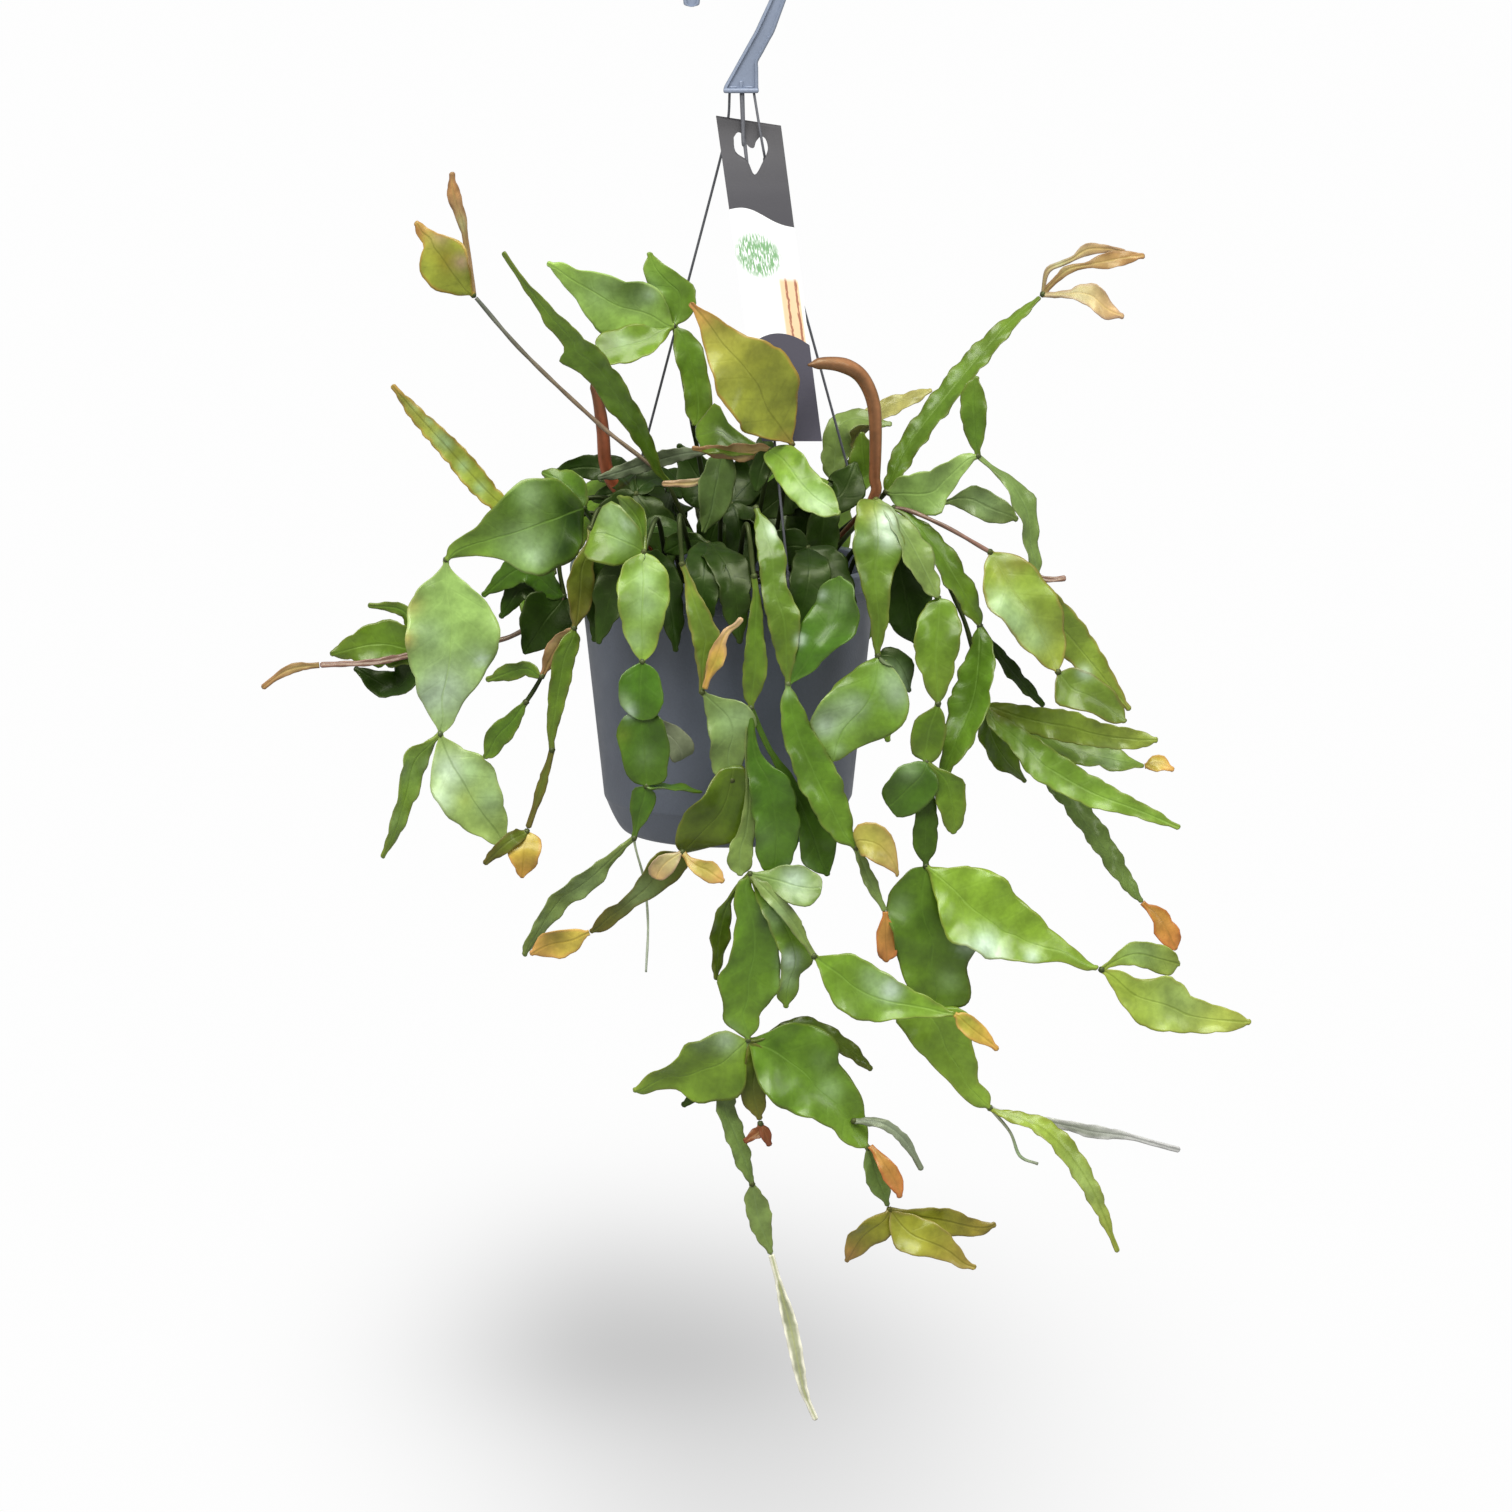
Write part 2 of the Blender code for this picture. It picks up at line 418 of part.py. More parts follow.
        ("ovate", 20, (10, 10), [(404, 274, 62), (404, 290, 80), (398, 320, 84)]),
        ("ovate", 22, (10, 10), [(404, 274, 62), (416, 290, 72), (424, 320, 76)]),
        ("ovate", 18, (20, 20), [(404, 274, 62), (392, 274, 60), (382, 286, 62)]),
    ]),
    "stem_back_right": ("leaf green", (36, -18), [], [
        ("ovate", 16, (10, 20), [(416, 240, -36), (422, 212, -38), (446, 212, -38)]),
        ("ovate", 20, (0, 10), [(416, 240, -36), (431, 238, -34), (431, 216, -34)]),
        ("late", 9, (20, 20), [(416, 240, -36), (430, 216, -43), (442, 205, -45), (466, 195, -46)]),
    ]),
}

# Stems on the far side: the angle about the pot's axis in degrees, and for each segment
# its kind, width, end (out from the axis, below the rim, degrees round) and whether the
# next one grows from it
BACK_ROOT_RADIUS = 0.026
BACK_CREST = (0.045, -0.030)
BACK_BOW_OUT = 0.006
BACK_BOW_UP = 0.012
BACK_STEMS = {
    "stem_back_1": (50, [
        ("ovate", 30, 0.094, 0.012, 2, True), ("ovate", 20, 0.110, 0.050, 12, False),
        ("ovate", 28, 0.100, 0.066, 1, True), ("lance", 20, 0.094, 0.118, 4, False),
        ("ovate", 17, 0.108, 0.104, -9, False),
    ]),
    "stem_back_2": (71, [
        ("lance", 26, 0.092, 0.004, 0, True), ("ovate", 21, 0.108, 0.036, 13, False),
        ("ovate", 30, 0.097, 0.056, -1, True), ("ovate", 22, 0.091, 0.108, 0, False),
        ("lance", 14, 0.106, 0.090, -10, False),
    ]),
    "stem_back_3": (92, [
        ("ovate", 30, 0.096, 0.014, 1, True), ("ovate", 19, 0.112, 0.044, 12, False),
        ("lance", 26, 0.098, 0.070, -1, True), ("ovate", 24, 0.092, 0.124, 1, False),
        ("lance", 15, 0.108, 0.102, -9, False),
    ]),
    "stem_back_4": (113, [
        ("lance", 28, 0.092, 0.006, 0, True), ("ovate", 21, 0.110, 0.040, 11, False),
        ("ovate", 29, 0.098, 0.054, 2, True), ("ovate", 22, 0.092, 0.100, 2, False),
        ("lance", 14, 0.108, 0.086, -9, False),
    ]),
    "stem_back_5": (158, [
        ("ovate", 27, 0.095, 0.008, 0, True), ("ovate", 21, 0.110, 0.036, -10, False),
        ("lance", 22, 0.098, 0.044, 2, False),
    ]),
}

# The rolled shoots: the foot on the soil, the places they run through, and the radius
# at each place, in millimetres
COPPER_SHOOTS = {
    "copper_shoot_right": (
        (46, 12),
        [(436, 251, 34), (437.5, 238, 38), (438, 215, 44), (436.5, 200, 48), (431, 188.5, 52),
         (423, 183, 56), (413, 181.5, 60), (404, 182.5, 64)],
        [2.1, 2.3, 2.8, 3.1, 3.4, 3.7, 4.1, 2.6],
    ),
    "copper_shoot_left": (
        (-34, -10),
        [(315, 251, -6), (307, 242, -5), (303, 232, -4), (301.5, 215, -3), (299, 200, -2), (296, 190, -2)],
        [2.6, 3.6, 3.4, 3.6, 3.4, 2.2],
    ),
}


def remove_scene_objects():
    """Empties the scene that the script is run in."""
    for thing in list(bpy.data.objects):
        bpy.data.objects.remove(thing, do_unlink=True)


def make_collection(name):
    """A new collection in the scene."""
    collection = bpy.data.collections.new(name)
    bpy.context.scene.collection.children.link(collection)
    return collection


def make_material(name, colour, roughness=0.45, metallic=0.0):
    """A plain Principled material."""
    material = bpy.data.materials.new(name)
    material.use_nodes = True
    shader = material.node_tree.nodes["Principled BSDF"]
    shader.inputs["Base Color"].default_value = (*colour, 1.0)
    shader.inputs["Roughness"].default_value = roughness
    shader.inputs["Metallic"].default_value = metallic
    material.diffuse_color = (*colour, 1.0)
    return material


remove_scene_objects()
PARTS = make_collection("potted_rhipsalis")
CUTTERS = make_collection("cutters")
MATERIALS = {name: make_material(name, colour) for name, colour in COLOURS.items()}


def mesh_object(name, vertices, faces, collection=PARTS):
    """A mesh object from vertices and faces, its faces pointing outwards."""
    mesh = bpy.data.meshes.new(name)
    mesh.from_pydata([tuple(v) for v in vertices], [], faces)
    shape = bmesh.new()
    shape.from_mesh(mesh)
    bmesh.ops.recalc_face_normals(shape, faces=shape.faces)
    shape.to_mesh(mesh)
    shape.free()
    thing = bpy.data.objects.new(name, mesh)
    collection.objects.link(thing)
    return thing


def set_finish(thing, finish):
    """Gives an object one material and shades it smooth up to its sharp edges."""
    thing.data.materials.clear()
    thing.data.materials.append(MATERIALS[finish])
    thing.data.shade_smooth()
    thing.data.set_sharp_from_angle(angle=math.radians(35))


def hide_cutter(thing):
    """Marks an object as a cutter that isn't part of the plant."""
    thing.hide_render = True
    thing.display_type = "WIRE"


def islands(shape):
    """The connected pieces of a mesh, as lists of vertices."""
    left = set(shape.verts)
    found = []
    while left:
        piece = [left.pop()]
        for vertex in piece:
            for edge in vertex.link_edges:
                other = edge.other_vert(vertex)
                if other in left:
                    left.remove(other)
                    piece.append(other)
        found.append(piece)
    return found


def remove_specks(mesh):
    """Removes the sealed specks that crossing segments leave inside a joined body."""
    shape = bmesh.new()
    shape.from_mesh(mesh)
    for piece in islands(shape):
        places = np.array([tuple(vertex.co) for vertex in piece])
        if np.ptp(places, axis=0).max() < SPECK:
            bmesh.ops.delete(shape, geom=piece, context="VERTS")
    shape.to_mesh(mesh)
    shape.free()


def frozen(thing, merge=False, collection=PARTS):
    """A plain mesh object made from what thing evaluates to, which then goes."""
    bpy.context.view_layer.update()
    evaluated = thing.evaluated_get(bpy.context.evaluated_depsgraph_get())
    mesh = bpy.data.meshes.new_from_object(evaluated)
    if merge:
        shape = bmesh.new()
        shape.from_mesh(mesh)
        bmesh.ops.remove_doubles(shape, verts=shape.verts, dist=MERGE)
        bmesh.ops.recalc_face_normals(shape, faces=shape.faces)
        shape.to_mesh(mesh)
        shape.free()
    name = thing.name
    matrix = thing.matrix_world.copy()
    bpy.data.objects.remove(thing, do_unlink=True)
    result = bpy.data.objects.new(name, mesh)
    result.matrix_world = matrix
    collection.objects.link(result)
    return result


def boolean(thing, other, operation, solver="EXACT"):
    """Applies one Boolean with another object, which then goes."""
    step = thing.modifiers.new("join", "BOOLEAN")
    step.operation = operation
    step.object = other
    step.solver = solver
    result = frozen(thing)
    bpy.data.objects.remove(other, do_unlink=True)
    return result


def is_closed(mesh):
    """Whether a mesh stays closed when vertices nearer than SEAM count as one."""
    shape = bmesh.new()
    shape.from_mesh(mesh)
    bmesh.ops.remove_doubles(shape, verts=shape.verts, dist=SEAM)
    answer = all(edge.is_manifold for edge in shape.edges)
    shape.free()
    return answer


def thinned(thing):
    """A body with the short edges of its joints collapsed, as far as it stays closed."""
    thin = thing.modifiers.new("fewer faces", "DECIMATE")
    for share in KEPT_FACES:
        thin.ratio = share
        bpy.context.view_layer.update()
        evaluated = thing.evaluated_get(bpy.context.evaluated_depsgraph_get())
        if is_closed(evaluated.data):
            return frozen(thing)
    thing.modifiers.remove(thin)
    return thing


def union_of(name, pieces):
    """Joins a list of closed mesh objects into one body with one Boolean on a collection."""
    if len(pieces) == 1:
        pieces[0].name = name
        return pieces[0]
    repeats = make_collection(name + "_repeats")
    for piece in pieces[1:]:
        for collection in list(piece.users_collection):
            collection.objects.unlink(piece)
        repeats.objects.link(piece)
    step = pieces[0].modifiers.new("join", "BOOLEAN")
    step.operation = "UNION"
    step.operand_type = "COLLECTION"
    step.collection = repeats
    step.solver = "MANIFOLD"
    pieces[0].name = name
    result = frozen(pieces[0])
    remove_specks(result.data)
    if len(result.data.polygons) > MANY_FACES:
        result = thinned(result)
    for piece in list(repeats.objects):
        bpy.data.objects.remove(piece, do_unlink=True)
    bpy.data.collections.remove(repeats)
    result.name = name
    return result


def turned(name, profile, facets):
    """A solid of revolution about +Z from a profile of (radius, height) pairs.

    The profile runs from the axis up the inner side, over the top, and down the outer
    side back to the axis.
    """
    mesh = bpy.data.meshes.new(name)
    points = [(radius, 0.0, height) for radius, height in profile]
    mesh.from_pydata(points, [(i, i + 1) for i in range(len(points) - 1)], [])
    thing = bpy.data.objects.new(name, mesh)
    PARTS.objects.link(thing)
    screw = thing.modifiers.new("turn", "SCREW")
    screw.steps = facets
    screw.render_steps = facets
    screw.use_merge_vertices = True
    screw.merge_threshold = MERGE
    screw.use_smooth_shade = False
    return thing


def smooth_line(points, start_direction=None, samples=33):
    """Points along a smooth curve through the given points, spaced evenly by length.

    Each span is a Catmull-Rom cubic. The first span leaves in start_direction if one
    is given, otherwise straight towards the second point.
    """
    path = [Vector(p) for p in points]
    first = path[0] - (path[1] - path[0])
    if start_direction is not None:
        first = path[1] - Vector(start_direction) * 2 * (path[1] - path[0]).length
    path = [first] + path + [path[-1] + (path[-1] - path[-2])]
    fine = []
    for k in range(1, len(path) - 2):
        a, b, c, d = path[k - 1:k + 3]
        for step in range(samples):
            t = step / samples
            fine.append(0.5 * (2 * b + (c - a) * t + (2 * a - 5 * b + 4 * c - d) * t ** 2
                               + (3 * b - a - 3 * c + d) * t ** 3))
    fine.append(path[-2])
    fine = np.array([tuple(p) for p in fine])
    lengths = np.concatenate([[0], np.cumsum(np.linalg.norm(np.diff(fine, axis=0), axis=1))])
    return fine, lengths


def along(fine, lengths, stations):
    """The points at the given lengths along a sampled curve."""
    return np.stack([np.interp(stations, lengths, fine[:, k]) for k in range(3)], axis=1)


def unit(vectors):
    """Vectors scaled to length 1."""
    return vectors / np.linalg.norm(vectors, axis=-1, keepdims=True)


def segment(name, kind, width, turn, points, start_direction, sibling, is_tip, foot=None):
    """One flat stem segment: a loft of four-cornered rings along its line.

    Each ring has a left edge, a right edge, and the rib's two faces between them. The
    half-width follows sin(pi * s^skew)^fullness, with every second ring drawn in for
    the notch between two scallops, and both faces are split along the same diagonals.
    Segments that share a knuckle start a little apart and rolled, so that no two faces
    coincide. A stalk may have a foot, which its first ring stands straight above.
    """
    fine, lengths = smooth_line(points, start_direction)
    total = lengths[-1]
    rings = 5 if total < SHORT_SEGMENT else 7 if total < LONG_SEGMENT else 9
    if kind == "stalk":
        rings = (rings + 1) // 2
    fractions = np.linspace(0, 1, rings)
    centres = along(fine, lengths, fractions * total)
    ends = along(fine, lengths, [0, total * 0.02, total * 0.98, total])
    tangents = unit(np.gradient(centres, axis=0))
    tangents[0] = unit(ends[1] - ends[0])
    tangents[-1] = unit(ends[3] - ends[2])
    centres[0] += tangents[0] * SIBLING_STEP * sibling

    facing = np.array([0.0, -math.cos(VIEW_TILT), math.sin(VIEW_TILT) + FACE_UP])
    normals = unit(facing - (tangents @ facing)[:, None] * tangents)
    sides = np.cross(normals, tangents)
    degrees = turn[0] + (turn[1] - turn[0]) * fractions
    degrees[0] += BASE_ROLL + SIBLING_ROLL * sibling
    angles = np.radians(degrees)[:, None]
    faces_out = normals * np.cos(angles) + sides * np.sin(angles)
    edges_out = sides * np.cos(angles) - normals * np.sin(angles)

    if kind == "stalk":
        half = np.full(rings, width * MM / 2)
        rib = half.copy()
        cup = np.zeros(rings)
        wave = np.zeros(rings)
    else:
        skew, fullness = KINDS[kind]
        outline = np.sin(np.pi * fractions ** skew) ** fullness
        notch = np.where(np.arange(rings) % 2 == 0, 1 - SCALLOP, 1.0)
        half = np.maximum(width * MM / 2 * outline * notch, NECK_HALF_WIDTH)
        rib = np.full(rings, RIB_HALF_THICKNESS)
        cup = CUP * half * np.sin(np.pi * fractions)
        wave = np.where(np.arange(rings) % 4 == 1, WAVE, -WAVE) * outline
    half[-1] = TIP_HALF_WIDTH if is_tip else NECK_HALF_WIDTH
    rib[-1] = half[-1] * TIP_FLATNESS

    left = centres - edges_out * half[:, None] + faces_out * (cup + wave)[:, None]
    right = centres + edges_out * half[:, None] + faces_out * (cup - wave)[:, None]
    front = centres + faces_out * rib[:, None]
    back = centres - faces_out * rib[:, None]
    corners = np.stack([left, front, right, back], axis=1)
    if foot is not None:
        corners = np.concatenate([corners[:1] + (np.array(foot) - centres[0]), corners])
    faces = [(0, 1, 2), (0, 2, 3)]
    for ring in range(len(corners) - 1):
        here, there = ring * 4, ring * 4 + 4
        for edge in (0, 2):
            for rib_corner in (1, 3):
                faces.append((here + edge, here + rib_corner, there + rib_corner))
                faces.append((here + edge, there + rib_corner, there + edge))
    last = len(corners) * 4 - 4
    faces += [(last, last + 1, last + 2), (last, last + 2, last + 3)]
    return mesh_object(name, corners.reshape(-1, 3), faces)


def key(place):
    """A place rounded to a micrometre, to look segments' ends up by."""
    return tuple(round(value, 6) for value in place)


def placed(segments):
    """Segments with the places on the layout sheet turned into metres."""
    return [(kind, width, turn, [sheet_point(*point) for point in points])
            for kind, width, turn, points in segments]


def back_segments(angle, steps):
    """A chain of segments that hangs down the pot's far side, with side segments.

    Each step is kind, width, how far out from the pot's axis and below the rim it ends,
    how far round it leans, and whether the next step grows from it.
    """
    at = (*BACK_CREST, 0.0)
    segments = []
    for kind, width, out, below, lean, carries_on in steps:
        ends = []
        for share in (0, 0.5, 1):
            bow = 1 if share == 0.5 else 0
            radius = at[0] + share * (out - at[0]) + bow * BACK_BOW_OUT
            height = RIM_Z - at[1] - share * (below - at[1]) + bow * BACK_BOW_UP
            turn = math.radians(angle + at[2] + share * (lean - at[2]))
            ends.append(Vector((POT_AXIS.x + radius * math.cos(turn), radius * math.sin(turn), height)))
        segments.append((kind, width, (180, 180), ends))
        if carries_on:
            at = (out, below, lean)
    return segments


def stem_layout():
    """Every stem: name, colour, the stalk's foot and bends, and its segments, in metres."""
    layout = []
    for name, (colour, root, bends, segments) in STEMS.items():
        foot = None
        if root is not None:
            foot = Vector((POT_AXIS.x + root[0] * MM, -root[1] * MM, SOIL_Z - STEM_HOLE_DEPTH))
        layout.append((name, colour, foot, [sheet_point(*bend) for bend in bends], placed(segments)))
    for name, (angle, steps) in BACK_STEMS.items():
        turn = math.radians(angle)
        foot = Vector((POT_AXIS.x + BACK_ROOT_RADIUS * math.cos(turn), BACK_ROOT_RADIUS * math.sin(turn),
                       SOIL_Z - STEM_HOLE_DEPTH))
        layout.append((name, "leaf green", foot, [], back_segments(angle, steps)))
    return layout


def stalk_line(foot, bends, node):
    """The stalk's line from just above the soil to the stem's first node."""
    return [foot + Vector((0, 0, STEM_HOLE_DEPTH + SOIL_CROWN + STALK_STRAIGHT))] + bends + [node]


def growth_directions(layout):
    """The direction in which each segment ends, by the place where it ends."""
    directions = {}
    for _, _, foot, bends, segments in layout:
        lines = [points for _, _, _, points in segments]
        if foot is not None:
            lines = [stalk_line(foot, bends, segments[0][3][0])] + lines
        for line in lines:
            directions[key(line[-1])] = np.array((line[-1] - line[-2]).normalized())
    return directions


def knuckle(name, centre):
    """The small knot that the segments of one node grow from."""
    shape = bmesh.new()
    bmesh.ops.create_icosphere(shape, subdivisions=1, radius=KNUCKLE_RADIUS)
    bmesh.ops.translate(shape, vec=centre, verts=shape.verts)
    mesh = bpy.data.meshes.new(name)
    shape.to_mesh(mesh)
    shape.free()
    thing = bpy.data.objects.new(name, mesh)
    PARTS.objects.link(thing)
    return thing


def build_stem(name, colour, foot, bends, segments, directions):
    """One leafy stem or young shoot as a single body: segments, knuckles and stalk.

    A young shoot stands a gap beyond the segment that it grows from.
    """
    starts = [key(points[0]) for _, _, _, points in segments]
    base = segments[0][3][0]
    if foot is None:
        crowded = starts.count(starts[0]) > 1
        along_parent = Vector(directions.get(starts[0], (segments[0][3][1] - base).normalized()))
        base = base + along_parent * (YOUNG_GAP + (KNUCKLE_RADIUS if crowded else 0))
    pieces = []
    if foot is not None:
        line = stalk_line(foot, bends, base)
        pieces.append(segment(name + "_0", "stalk", STALK_WIDTH, (0, 0), line, (0, 0, 1), 0, False, foot))
    for number, (kind, width, turn, points) in enumerate(segments):
        sibling = starts[:number].count(starts[number])
        if starts[number] == starts[0]:
            points = [base] + points[1:]
        if sibling == 0 and (number > 0 or foot is not None or crowded):
            pieces.append(knuckle(name, points[0]))
        own = (points[1] - points[0]).normalized()
        parent = Vector(directions.get(starts[number], own))
        leaving = (own + parent * FOLLOWS_PARENT).normalized()
        pieces.append(segment(f"{name}_{number + 1}", kind, width, turn, points, leaving, sibling,
                              key(points[-1]) not in starts))
    stem = union_of(name, pieces)
    set_finish(stem, colour)
    return stem


def build_pot():
    """The round pot: straight tapered wall, band under the lip, drawn-in foot."""
    radius_at_band = RIM_RADIUS - WALL_STEP
    foot_z = FLOOR_Z + FOOT_HEIGHT
    inner_floor = FLOOR_Z + FOOT_RECESS + POT_WALL
    profile = [
        (0.0, inner_floor),
        (FLOOR_RADIUS - POT_WALL, inner_floor),
        (WALL_FOOT_RADIUS - POT_WALL, foot_z + WALL_STEP),
        (radius_at_band - POT_WALL, RIM_Z),
        (RIM_RADIUS + RIM_LIP, RIM_Z),
        (RIM_RADIUS + RIM_LIP, RIM_Z - RIM_BAND),
        (radius_at_band, RIM_Z - RIM_BAND - WALL_STEP),
        (WALL_FOOT_RADIUS, foot_z + WALL_STEP),
        (WALL_FOOT_RADIUS - WALL_STEP, foot_z),
        (WALL_FOOT_RADIUS - FOOT_CURVE[0], foot_z - FOOT_CURVE[1]),
        (FLOOR_RADIUS + FOOT_FLARE[0], FLOOR_Z + FOOT_FLARE[1]),
        (FLOOR_RADIUS, FLOOR_Z),
        (FLOOR_RADIUS - FOOT_RING, FLOOR_Z),
        (FLOOR_RADIUS - FOOT_RING - WALL_STEP, FLOOR_Z + FOOT_RECESS),
        (0.0, FLOOR_Z + FOOT_RECESS),
    ]
    pot = turned("pot", profile, POT_FACETS)
    pot.location = (POT_AXIS.x, 0, 0)
    set_finish(pot, "slate")
    return pot


def inner_radius(height):
    """The pot's inner radius at a height between its foot and its rim."""
    foot_z = FLOOR_Z + FOOT_HEIGHT + WALL_STEP
    share = (height - foot_z) / (RIM_Z - foot_z)
    low = WALL_FOOT_RADIUS - POT_WALL
    return low + share * (RIM_RADIUS - WALL_STEP - POT_WALL - low)


def build_soil(feet):
    """The soil filling the pot, with a plain hole for the foot of each stem."""
    foot_z = FLOOR_Z + FOOT_HEIGHT + WALL_STEP
    floor = FLOOR_Z + FOOT_RECESS + POT_WALL + GAP
    profile = [
        (0.0, SOIL_Z + SOIL_CROWN),
        (SHOULDER_RADIUS, SOIL_Z + SOIL_CROWN * SHOULDER_SHARE),
        (inner_radius(SOIL_Z) - SOIL_CLEARANCE, SOIL_Z),
        (inner_radius(foot_z) - SOIL_CLEARANCE, foot_z),
        (FLOOR_RADIUS - POT_WALL - SOIL_CLEARANCE, floor),
        (0.0, floor),
    ]
    soil = turned("soil", profile, POT_FACETS)
    soil.location = (POT_AXIS.x, 0, 0)
    soil = frozen(soil, merge=True)
    holes = []
    length = STEM_HOLE_DEPTH + HOLE_CUTTER_ABOVE
    radius = (STALK_WIDTH * MM / 2 + STEM_HOLE_GAP) / math.cos(math.pi / HOLE_FACETS)
    for foot in feet:
        middle = foot + Vector((0, 0, length / 2 - GAP))
        bpy.ops.mesh.primitive_cylinder_add(vertices=HOLE_FACETS, radius=radius, depth=length,
                                            location=middle)
        hole = bpy.context.object
        for collection in list(hole.users_collection):
            collection.objects.unlink(hole)
        CUTTERS.objects.link(hole)
        hide_cutter(hole)
        holes.append(hole)
    cut = soil.modifiers.new("stem holes", "BOOLEAN")
    cut.operation = "DIFFERENCE"
    cut.operand_type = "COLLECTION"
    cut.collection = CUTTERS
    cut.solver = "MANIFOLD"
    soil = frozen(soil)
    for hole in holes:
        bpy.data.objects.remove(hole, do_unlink=True)
    set_finish(soil, "soil")
    return soil


def tube(name, points, radii, foot=None):
    """A round rod through points, with a radius at each, closed at both ends.

    With a foot, it starts there and rises straight to the first point.
    """
    curve = bpy.data.curves.new(name, "CURVE")
    curve.dimensions = "3D"
    curve.bevel_depth = 1.0
    curve.bevel_resolution = 1
    curve.use_fill_caps = True
    spline = curve.splines.new("POLY")
    count = 2 * len(points)
    fine, lengths = smooth_line(points, None if foot is None else (0, 0, 1))
    places = along(fine, lengths, np.linspace(0, lengths[-1], count))
    thickness = np.interp(np.linspace(0, 1, count), np.linspace(0, 1, len(radii)), radii)
    if foot is not None:
        places = np.concatenate([[foot], places])
        thickness = np.concatenate([[radii[0]], thickness])
    spline.points.add(len(places) - 1)
    for point, place, radius in zip(spline.points, places, thickness):
        point.co = (*place, 1.0)
        point.radius = radius
    thing = bpy.data.objects.new(name, curve)
    PARTS.objects.link(thing)
    return frozen(thing, merge=True)


def box(name, size, centre, turn=0.0):
    """A plain block, turned about +Z."""
    shape = bmesh.new()
    bmesh.ops.create_cube(shape, size=1.0)
    bmesh.ops.scale(shape, vec=size, verts=shape.verts)
    bmesh.ops.rotate(shape, matrix=Matrix.Rotation(turn, 3, "Z"), verts=shape.verts)
    bmesh.ops.translate(shape, vec=centre, verts=shape.verts)
    mesh = bpy.data.meshes.new(name)
    shape.to_mesh(mesh)
    shape.free()
    thing = bpy.data.objects.new(name, mesh)
    PARTS.objects.link(thing)
    return thing


def hook_line():
    """The hook's centre line: up the slanted arm, round the crown, down to the free tip."""
    radius = HOOK_INNER_RADIUS + HOOK_WIDTH / 2
    arm = [sheet_point(*place) for place in ARM_ON_SHEET]
    centre = Vector((0, 0, -HOOK_INNER_RADIUS))
    angles = np.radians(np.linspace(CROWN_START, 180, CROWN_POINTS))
    crown = [centre + Vector((math.cos(a), 0, math.sin(a))) * radius for a in angles]
    tip = centre + Vector((-radius, 0, -HOOK_TIP_DROP))
    return arm + crown + [tip]


def build_hook():
    """The flat hook with a groove down each face, and the yoke that the strands leave."""
    half, deep = HOOK_WIDTH / 2, HOOK_THICKNESS / 2
    rib, flange = deep - HOOK_GROOVE, half - HOOK_FLANGE
    section = [(-deep, -half), (-deep, -flange), (-rib, -flange), (-rib, flange), (-deep, flange),
               (-deep, half), (deep, half), (deep, flange), (rib, flange), (rib, -flange),
               (deep, -flange), (deep, -half)]
    outline = bpy.data.curves.new("hook_section", "CURVE")
    outline.dimensions = "2D"
    ring = outline.splines.new("POLY")
    ring.points.add(len(section) - 1)
    for point, (x, y) in zip(ring.points, section):
        point.co = (x, y, 0, 1)
    ring.use_cyclic_u = True
    outline_object = bpy.data.objects.new("hook_section", outline)
    CUTTERS.objects.link(outline_object)
    hide_cutter(outline_object)

    curve = bpy.data.curves.new("hook", "CURVE")
    curve.dimensions = "3D"
    curve.bevel_mode = "OBJECT"
    curve.bevel_object = outline_object
    curve.use_fill_caps = True
    line = hook_line()
    spline = curve.splines.new("POLY")
    spline.points.add(len(line) - 1)
    for point, place in zip(spline.points, line):
        point.co = (*place, 1.0)
    arm = bpy.data.objects.new("hook", curve)
    PARTS.objects.link(arm)
    arm = frozen(arm, merge=True)
    bpy.data.objects.remove(outline_object, do_unlink=True)

    base = sheet_point(*YOKE_ON_SHEET, 0)
    corners = []
    for height, width, shift in ((0, YOKE_WIDTH, 0), (YOKE_FLANGE, YOKE_WIDTH, 0),
                                 (YOKE_HEIGHT, YOKE_TOP_WIDTH, YOKE_SHIFT)):
        for x, y in ((-1, -1), (1, -1), (1, 1), (-1, 1)):
            corners.append((base.x + shift + x * width / 2, y * YOKE_DEPTH / 2, base.z + height))
    faces = [(3, 2, 1, 0), (8, 9, 10, 11)]
    for level in (0, 4):
        for k in range(4):
            n = (k + 1) % 4
            faces.append((level + k, level + n, level + 4 + n, level + 4 + k))
    yoke = mesh_object("yoke", corners, faces)
    hook = boolean(arm, yoke, "UNION")
    hook.name = "hook"
    set_finish(hook, "hook slate")
    return hook


def rim_point(angle):
    """The middle of the lip's top face at an angle about the pot's axis."""
    middle = RIM_RADIUS + RIM_LIP - CLIP_SEAT_IN
    return Vector((POT_AXIS.x + middle * math.cos(angle), middle * math.sin(angle), RIM_Z))


